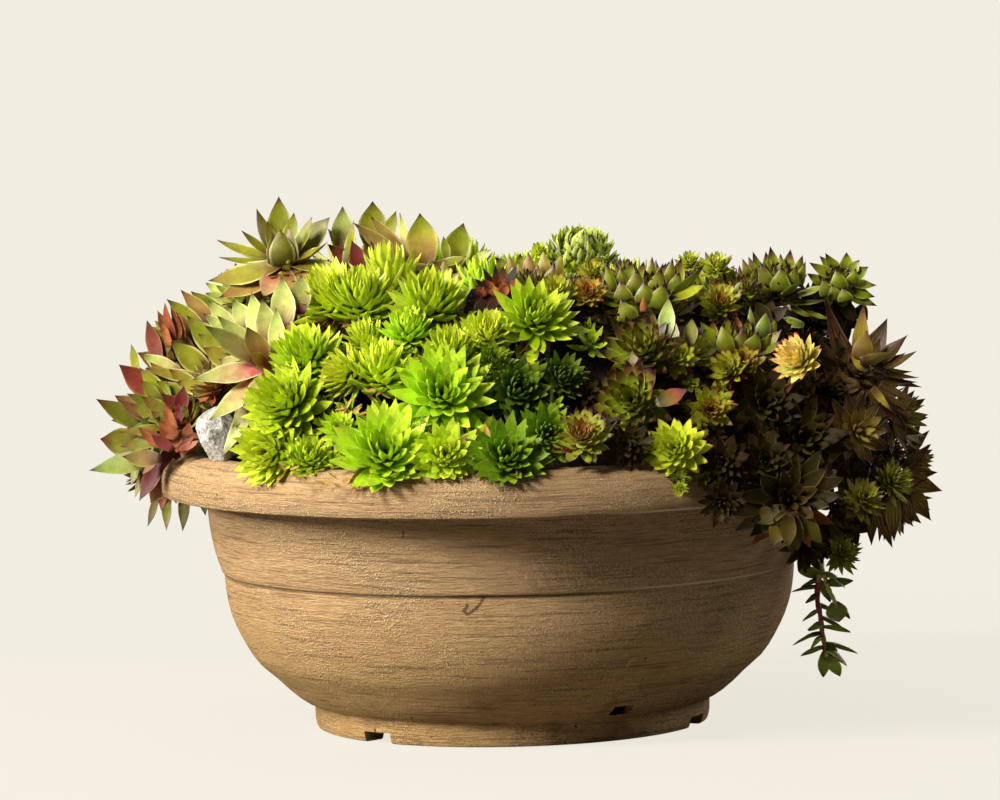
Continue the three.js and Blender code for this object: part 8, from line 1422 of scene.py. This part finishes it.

# small chicks fill the hollows between neighbouring rosettes; beside olive and bronze rosettes they mostly take the
# dark CD leaves, painted shade in the hollows
CHICK = {"A": "AT", "AT": "AT", "AR": "AR", "AD": "AR", "AM": "AR", "B": "B", "BO": "B", "BY": "B", "BB": "B", "BD": "BD", "C": "CD", "CG": "CG", "CY": "CD", "CD": "CD", "D": "CD", "DG": "CD", "E": "B", "X": "C", "XP": "CD", "Y": "C", "YB": "CG"}
fr = np.random.default_rng(77)
base = list(plants)
fill = []
pairs = []
for i, q in enumerate(base):
    for o in base[i + 1:]:
        d = np.linalg.norm(q.p - o.p) / (q.R + o.R)
        if .62 < d < 1.5:
            pairs.append((abs(d - 1.0), q, o))
pairs.sort(key=lambda t: t[0])
for _, q, o in pairs:
    n = q.n + o.n
    n /= max(np.linalg.norm(n), .2)
    mean = (q.R + o.R) / 2
    w = o.R / (q.R + o.R)
    p = q.p * w + o.p * (1 - w) - n * (.34 * mean)
    R = float(np.clip(.52 * mean, 8.5, 15))
    heap = np.interp(math.hypot(p[0], p[1]), [0, 30, 62, 92, 115, 132, 143, 151], [238, 237.6, 235, 229, 219, 206, 192, 166])
    if pot_depth(p) > 0 or (math.hypot(p[0], p[1]) < 151 and p[2] < heap - 3):
        continue
    if any(np.linalg.norm(p - t.p) < .50 * (R + t.R) for t in base) or any(np.linalg.norm(p - t.p) < .72 * (R + t.R) for t in fill):
        continue
    f = Plant()
    f.name, f.p, f.n, f.R, f.node = "F%d" % len(fill), p, n / np.linalg.norm(n), R, (q if q.R > o.R else o).node
    f.style = CHICK[(q if q.R > o.R else o).style]
    f.near = np.zeros((0, 4))
    fill.append(f)
plants += fill
nodes = []
for q in plants:
    if q.node not in nodes:
        nodes.append(q.node)
total = 0
for node in sorted(nodes):
    b = Build()
    mats, index = [], {}
    for q in plants:
        if q.node != node:
            continue
        # G20, G23 and G17 take the darker BM leaves as painted shade
        m = LEAF["AG" if q.style == "A" and node in ("blue_hen_4", "blue_hen_5") else "XH" if q.name == "H1" else "DP" if q.style == "D" and node == "bronze_hen_2" else "BM" if q.name in ("G20", "G23", "G17") else "XO" if q.name == "X1" else q.style]
        if m.name not in index:
            index[m.name] = len(mats)
            mats.append(m)
        if q.name[0] == "F" or q.style == "E":
            detail = LO
        elif q.name[0] == "K":
            detail = MID if q.R > 14 else LO
        elif q.style in ("CY", "X", "XP", "CD", "B", "BY", "BD"):
            detail = MID
        else:
            detail = HI if q.R > 15 else MID
        rosette(b, q, index[m.name], detail)
    for node2, style, bx, by, bz, tx, ty, tz, w, ux, uy, uz, bend, age, dry, thick in LEAVES:
        if node2 != node:
            continue
        m = LEAF[{"A": "AG", "A1": "AH", "TAN": "TH"}.get(style, style) if node in ("blue_hen_4", "blue_hen_5") else {"D": "DP", "DB": "DQ"}.get(style, style) if node == "bronze_hen_2" else style]
        if m.name not in index:
            index[m.name] = len(mats)
            mats.append(m)
        p0, d = np.array([bx, by, bz]), np.array([tx - bx, ty - by, tz - bz])
        L = np.linalg.norm(d)
        d /= L
        up = np.array([ux, uy, uz])
        up = up - d * up.dot(d)
        up /= np.linalg.norm(up)
        F = np.stack([d, np.cross(up, d), up])
        one = lambda x: np.array([float(x)])
        rr = np.random.default_rng(hash_name("%s%s%s" % (bx, tx, tz)))
        arc = math.radians(abs(bend)) / 2
        L = L * arc / math.sin(arc) if arc > .01 else L
        grow_leaves(b, p0, F, one(0), one(0), one(bend), one(L), one(w * (1.08 if uy > .5 else 1)), one(thick * (.5 if uy > .5 else .72 if style in ("C", "CG") else 1)), one((.10 if uy > .5 else .26) + (.5 if dry > .5 else 0)), one(0), one(0), one(rr.normal(0, .08)),
                    (.86, .28, 1.22, 1.10) if uy > .5 and style in ("C", "CG") else (.88, .34, 1.45, 1.05) if uy > .5 else (.70, .38, 1.22, 1.12) if style in ("C", "CG", "D", "DB", "DY") else (.42, .50, 1.65, 1.22), HI, index[m.name], one(age), one(rr.random()), one(dry), rr.random(), one(rr.normal(0, .03)), one(rr.normal(0, .05) + (.25 if dry > .5 else 0)))
    o = b.make(node + "_leaves", mats)
    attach(o, "root")
    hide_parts(node)
    total += sum(s - 2 for s in np.concatenate(b.sizes))

# --------------------------------------------------------------------- pot
POT_PROFILE = [
    (0, 6.5), (60, 6.5), (96.4, 6.5), (97.2, 5.9), (98.3, 1.0), (99.2, 0), (111.0, 0), (112.1, .5), (112.7, 1.6), (113.5, 5), (113.7, 11.6), (114.0, 13.0),
    (115.0, 14.2), (117.0, 15.0), (119.2, 16.0), (123.4, 18.8), (128, 22.6), (131.6, 26.0), (135, 29.4), (140.2, 33.9), (145, 38.2), (148.8, 43.2), (152, 48.5), (155.3, 54.6), (158.1, 60.6), (160.6, 67.6), (162.3, 74.8), (163.3, 82),
    (163.8, 89.4), (163.75, 90.6), (163.9, 91.1), (164.7, 91.3), (165.3, 91.9), (166.0, 94.0), (167.6, 98.8), (169.3, 104.6), (170.7, 111.4), (171.8, 119), (172.5, 127), (173.2, 133), (174.3, 141),
    (175.6, 148.6), (177.2, 151.3), (180.4, 152.3), (186, 152.4), (190.0, 151.8), (191.8, 149.8), (192.3, 147), (192.2, 140.4), (192.3, 138.0), (193.2, 137.1), (196.2, 136.9), (198.4, 137.6), (199.5, 139.6), (199.9, 142.4), (200.0, 146),
    (199.7, 149.6), (198.8, 153), (197.0, 156), (194.3, 158.7), (190.8, 160.9), (186.6, 162.3), (182, 162.7), (177.6, 162.1), (173.6, 160.1), (170.8, 157), (169.2, 152.6), (168.6, 146), (168.3, 137), (167.9, 127), (167.2, 119), (165.6, 109), (162.8, 100),
    (160.2, 92), (159, 84), (157, 72), (153.4, 61), (148, 51), (139, 39), (131, 31), (124, 25.5), (116, 19), (110, 15), (60, 15), (0, 15)]


def lathe(profile, segs, wob=None):
    a = np.arange(segs) * 2 * math.pi / segs
    pr = np.array(profile, float)
    v, faces4, faces3 = [], [], []
    rows = []
    for (r, z) in pr:
        if r == 0:
            rows.append([len(v)])
            v.append((0, 0, z))
        else:
            rows.append(list(range(len(v), len(v) + segs)))
            v += [(r * math.cos(t), r * math.sin(t), z) for t in a]
    for i in range(len(rows) - 1):
        p, n = rows[i], rows[i + 1]
        for j in range(segs):
            k = (j + 1) % segs
            if len(p) == 1:
                faces3.append((p[0], n[k], n[j]))
            elif len(n) == 1:
                faces3.append((p[j], p[k], n[0]))
            else:
                faces4.append((p[j], p[k], n[k], n[j]))
    return np.array(v, float), np.array(faces4), np.array(faces3)


def block(angle, width, z0, z1, r0, r1):
    """A cutting block through the wall at an angle."""
    a = math.radians(angle)
    c, s = math.cos(a), math.sin(a)
    v = np.array([(r * c - w * s, r * s + w * c, z) for z in (z0, z1) for r in (r0, r1) for w in (-width / 2, width / 2)])
    f = np.array([(0, 1, 3, 2), (4, 6, 7, 5), (0, 4, 5, 1), (2, 3, 7, 6), (0, 2, 6, 4), (1, 5, 7, 3)])
    t = v[f]
    vol = sum(np.dot(q[0], np.cross(q[1], q[2])) + np.dot(q[0], np.cross(q[2], q[3])) for q in t - v.mean(0))
    return v, f if vol > 0 else f[:, ::-1]


v, f4, f3 = lathe(POT_PROFILE, 256)
b = Build()
b.add(v, [f4, f3], 0)
POTM = pot_material()
pot = b.make("bowl_planter", [POTM])
cuts = Build()
for ang in (-132.6, -22, 101):
    v, f = block(ang, 20, -3, 6.2, 94, 120)
    cuts.add(v, [f], 0)
for ang in (-60.2, 63, 183):
    v, f = block(ang, 13, 15.6, 21.4, 106, 134)
    cuts.add(v, [f], 0)
cutter = cuts.make("cutter", [POTM], smooth=False)
mod = pot.modifiers.new("cut", "BOOLEAN")
mod.operation, mod.object, mod.solver = "DIFFERENCE", cutter, "EXACT"
dg = bpy.context.evaluated_depsgraph_get()
me = bpy.data.meshes.new_from_object(pot.evaluated_get(dg), depsgraph=dg)
pot.modifiers.clear()
pot.data = me
bpy.data.objects.remove(cutter)
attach(pot, "root")
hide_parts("pot")


def sharpen(o, angle):
    """Marks edges sharper than an angle, so that they shade crisply."""
    import bmesh
    bm = bmesh.new()
    bm.from_mesh(o.data)
    for e in bm.edges:
        e.smooth = e.calc_face_angle(0) < math.radians(angle)
    bm.to_mesh(o.data)
    bm.free()
    o.data.polygons.foreach_set("use_smooth", np.full(len(o.data.polygons), True))
    o.data.update()


sharpen(pot, 34)

# -------------------------------------------------------------------- soil
SOIL = [(0, 15.3), (109.4, 15.3), (123.2, 26), (138.2, 39.4), (147.2, 51.4), (156.1, 72.2), (158.5, 90), (161.8, 100), (166.2, 119), (167.2, 131), (167.6, 146), (166.0, 152), (162, 155.5), (157, 158), (152.5, 161),
        (150.6, 166), (148.2, 176), (145.8, 184), (143.2, 192), (138, 199.6), (131.8, 206), (124, 212.8), (114.8, 219), (104, 224.6), (92, 228.9), (78, 232.8), (62, 235.4), (46, 236.8), (30, 237.6), (15, 238), (0, 238)]
v, f4, f3 = lathe(SOIL, 150)
for i in range(len(v)):
    if v[i, 2] > 150:
        d = noise.noise(Vector(v[i] / 9.0)) * 2.4 + noise.noise(Vector(v[i] / 3.1)) * 1.3
        r = math.hypot(v[i, 0], v[i, 1])
        n = np.array([v[i, 0] / max(r, 1), v[i, 1] / max(r, 1), .6])
        v[i] += n / np.linalg.norm(n) * (d - 1.2)
b = Build()
b.add(v, [f4, f3], 0)
soil = b.make("potting_soil_heap", [soil_material()])
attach(soil, "root")
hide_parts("soil")

# -------------------------------------------------------------------- rock
import bmesh
bm = bmesh.new()
bmesh.ops.create_icosphere(bm, subdivisions=5, radius=1.0)
for vert in bm.verts:
    p = vert.co.copy()
    # a lump broken along a few flat faces
    s = 1.0
    for d, at in (((.8, -.5, .3), .74), ((-.75, -.45, .55), .72), ((.1, -.95, -.3), .76), ((-.2, -.3, .95), .76), ((.9, .2, -.3), .8), ((-.95, .1, -.1), .80), ((.3, -.70, .65), .76), ((-.7, -.6, -.45), .74), ((.65, -.4, -.7), .72), ((-.1, .2, -1), .86), ((0, 1, .2), .8)):
        dd = Vector(d).normalized()
        c = p.dot(dd)
        if c > at:
            s = min(s, at / c)
    s *= 1 + .03 * noise.noise(p * 2.3) + .020 * noise.noise(p * 6.0) + .012 * noise.noise(p * 15.0)
    vert.co = Vector((p.x * s * 12.6, p.y * s * 10.6, p.z * s * 16.4))
bmesh.ops.rotate(bm, verts=bm.verts, cent=(0, 0, 0), matrix=Matrix.Rotation(-.35, 3, "Y"))
me = bpy.data.meshes.new("garden_rock")
bm.to_mesh(me)
bm.free()
me.transform(Matrix.Translation(Vector((-161.5 + OFFSET[0], -92 + OFFSET[1], 177))))
me.transform(Matrix.Scale(MM, 4))
me.materials.append(rock_material())
rock = bpy.data.objects.new("garden_rock", me)
bpy.context.scene.collection.objects.link(rock)
me.polygons.foreach_set("use_smooth", np.full(len(me.polygons), True))
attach(rock, "root")
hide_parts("rock")

# ------------------------------------------------------------ trailing sprig
def spline(points, n):
    p = np.array(points, float)
    p = np.vstack([2 * p[0] - p[1], p, 2 * p[-1] - p[-2]])
    out = []
    segs = len(p) - 3
    for u in np.linspace(0, segs, n):
        i = min(int(u), segs - 1)
        t = u - i
        a, b_, c, d = p[i], p[i + 1], p[i + 2], p[i + 3]
        out.append(.5 * ((2 * b_) + (-a + c) * t + (2 * a - 5 * b_ + 4 * c - d) * t * t + (-a + 3 * b_ - 3 * c + d) * t ** 3))
    return np.array(out)


def tube(out, path, radius, sides, mat, s0=0.0, s1=1.0, lr=.5):
    n = len(path)
    tan = np.gradient(path, axis=0)
    tan /= np.linalg.norm(tan, axis=1)[:, None]
    ref = np.array([0, 1.0, 0.2])
    v = []
    for i in range(n):
        a = np.cross(tan[i], ref)
        a /= np.linalg.norm(a)
        b_ = np.cross(a, tan[i])
        rr = radius[i]
        for j in range(sides):
            ang = 2 * math.pi * j / sides
            v.append(path[i] + rr * (math.cos(ang) * a + math.sin(ang) * b_))
    q = np.array([(i * sides + j, i * sides + (j + 1) % sides, (i + 1) * sides + (j + 1) % sides, (i + 1) * sides + j) for i in range(n - 1) for j in range(sides)])[:, ::-1]
    caps = np.array([list(range(sides)), [(n - 1) * sides + j for j in range(sides)][::-1]])
    s = np.repeat(np.linspace(s0, s1, n), sides)
    out.add(np.array(v), [q, caps], mat, np.stack([s, np.zeros_like(s), np.zeros_like(s)], -1), None, lr)


b = Build()
for radius, pts in SPRIG_STEMS:
    path = spline(pts, 44)
    u = np.linspace(0, 1, 44)
    tube(b, path, radius * (1.0 - .25 * u + .10 * np.sin(u * 40)), 12, 0, 0, 1.0 if radius > 1.6 else .25)
r = np.random.default_rng(5)
for bx, by, bz, tx, ty, tz, w in SPRIG_LEAVES:
    p0, p1 = np.array([bx, by, bz]), np.array([tx, ty, tz])
    d = p1 - p0
    L = np.linalg.norm(d)
    d /= L
    # the leaf's upper side turns towards the stem's growing end, a little to the front
    grow = np.array([.05, -.45, -.9])
    n = grow - d * grow.dot(d)
    n /= np.linalg.norm(n)
    side = np.cross(n, d)
    F = np.stack([d, side, n])
    one = lambda x: np.array([x], float)
    grow_leaves(b, p0, F, one(0), one(r.uniform(-4, 4)), one(r.uniform(18, 40)), one(L * 1.03), one(w * 1.1), one(max(1.5, w * .30)), one(.25), one(-.6), one(0), one(r.normal(0, .3)),
                (.35, .52, 1.9, 1.0), HI, 1, one(.6), one(r.random()), one(0), r.random(), one(0), one(.03))
sprig = b.make("sedum_sprig_leaves", [stem_material(), SEDUM])
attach(sprig, "root")
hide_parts("sedum_sprig")

# ------------------------------------------------------------ floor and light
CREAM = (242, 237, 225)


def stage_material():
    t = Tree("floor_cream")
    pos = t.place()
    d = t.node("ShaderNodeVectorMath", {0: pos}, operation="LENGTH").outputs["Value"]
    soft = t.noise(pos, 3.0, 2)
    path = t.node("ShaderNodeLightPath").outputs["Is Camera Ray"]
    diff = t.node("ShaderNodeBsdfDiffuse", {"Color": lin((236, 230, 216))}).outputs[0]
    dim = t.node("ShaderNodeBsdfDiffuse", {"Color": lin((122, 117, 109))}).outputs[0]
    glow = t.node("ShaderNodeEmission", {"Color": lin(CREAM), "Strength": 1.0}).outputs[0]
    far = t.math("ADD", t.step(d, .15, .9, .90, 1.0), t.math("MULTIPLY", t.math("SUBTRACT", soft, .5), .004), clamp=True)
    m1 = t.t.nodes.new("ShaderNodeMixShader")
    t.put(m1.inputs[0], far)
    t.t.links.new(diff, m1.inputs[1])
    t.t.links.new(glow, m1.inputs[2])
    m2 = t.t.nodes.new("ShaderNodeMixShader")
    t.put(m2.inputs[0], path)
    t.t.links.new(dim, m2.inputs[1])
    t.t.links.new(m1.outputs[0], m2.inputs[2])
    t.t.links.new(m2.outputs[0], t.out.inputs[0])
    return t.mat


bm = bmesh.new()
bmesh.ops.create_circle(bm, cap_ends=True, segments=128, radius=60.0)
me = bpy.data.meshes.new("studio_floor")
bm.to_mesh(me)
bm.free()
me.materials.append(stage_material())
floor = bpy.data.objects.new("studio_floor", me)
floor.location = (0, 0, -.0004)
bpy.context.scene.collection.objects.link(floor)

scene = bpy.context.scene
world = bpy.data.worlds.new("studio")
scene.world = world
world.use_nodes = True
wt = world.node_tree
wt.nodes.clear()
wo = wt.nodes.new("ShaderNodeOutputWorld")
seen = wt.nodes.new("ShaderNodeBackground")
seen.inputs[0].default_value, seen.inputs[1].default_value = lin(CREAM), 1.0
lit = wt.nodes.new("ShaderNodeBackground")
lit.inputs[0].default_value, lit.inputs[1].default_value = lin((224, 234, 244)), .022
wm = wt.nodes.new("ShaderNodeMixShader")
lp = wt.nodes.new("ShaderNodeLightPath")
wt.links.new(lp.outputs["Is Camera Ray"], wm.inputs[0])
wt.links.new(lit.outputs[0], wm.inputs[1])
wt.links.new(seen.outputs[0], wm.inputs[2])
wt.links.new(wm.outputs[0], wo.inputs[0])


def area(name, toward, dist, size, power, colour, at=(0, 0, .18)):
    L = bpy.data.lights.new(name, "AREA")
    L.shape, L.size, L.energy, L.color = "SQUARE", size, power, colour
    o = bpy.data.objects.new(name, L)
    d = Vector(toward).normalized()
    o.location = Vector(at) + d * dist
    o.rotation_mode = "QUATERNION"
    o.rotation_quaternion = d.to_track_quat("Z", "Y")
    scene.collection.objects.link(o)
    return o


area("key", (-.90, -.31, .285), 2.4, .50, 57, (1.0, .97, .91))
area("second", (-.56, -.57, .56), 2.4, .6, 57, (1.0, .97, .91))
area("top", (-.15, .1, 1.0), 2.4, 1.0, 7, (1.0, .98, .93))
area("fill", (.1, -1, .5), 3.0, 2.0, .7, (1.0, .95, .88))
area("back", (.45, .95, .42), 2.8, 1.4, 12, (.97, .98, 1.0))
area("side", (.94, .26, .38), 2.6, .9, 17, (1.0, .98, .95))

# ------------------------------------------------------------------- camera
YAW, PITCH, ROLL, FOCAL = -0.0009, 0.0821, -0.0228, 6199.4
fw = Vector((math.sin(YAW) * math.cos(PITCH), math.cos(YAW) * math.cos(PITCH), -math.sin(PITCH)))
rt = fw.cross(Vector((0, 0, 1))).normalized()
up = rt.cross(fw)
R2 = rt * math.cos(ROLL) + up * math.sin(ROLL)
U2 = -rt * math.sin(ROLL) + up * math.cos(ROLL)
cam_data = bpy.data.cameras.new("view")
cam_data.sensor_width, cam_data.lens = 36.0, FOCAL * 36.0 / 1000.0
cam_data.clip_start, cam_data.clip_end = .1, 200.0
cam = bpy.data.objects.new("view", cam_data)
cam.matrix_world = Matrix(((R2.x, U2.x, -fw.x, OFFSET[0] * MM), (R2.y, U2.y, -fw.y, (-3549.1 + OFFSET[1]) * MM), (R2.z, U2.z, -fw.z, .4776), (0, 0, 0, 1)))
scene.collection.objects.link(cam)
scene.camera = cam
scene.view_settings.view_transform = "Standard"
scene.view_settings.look = "None"
scene.view_settings.exposure = 0.0
scene.view_settings.gamma = 1.0
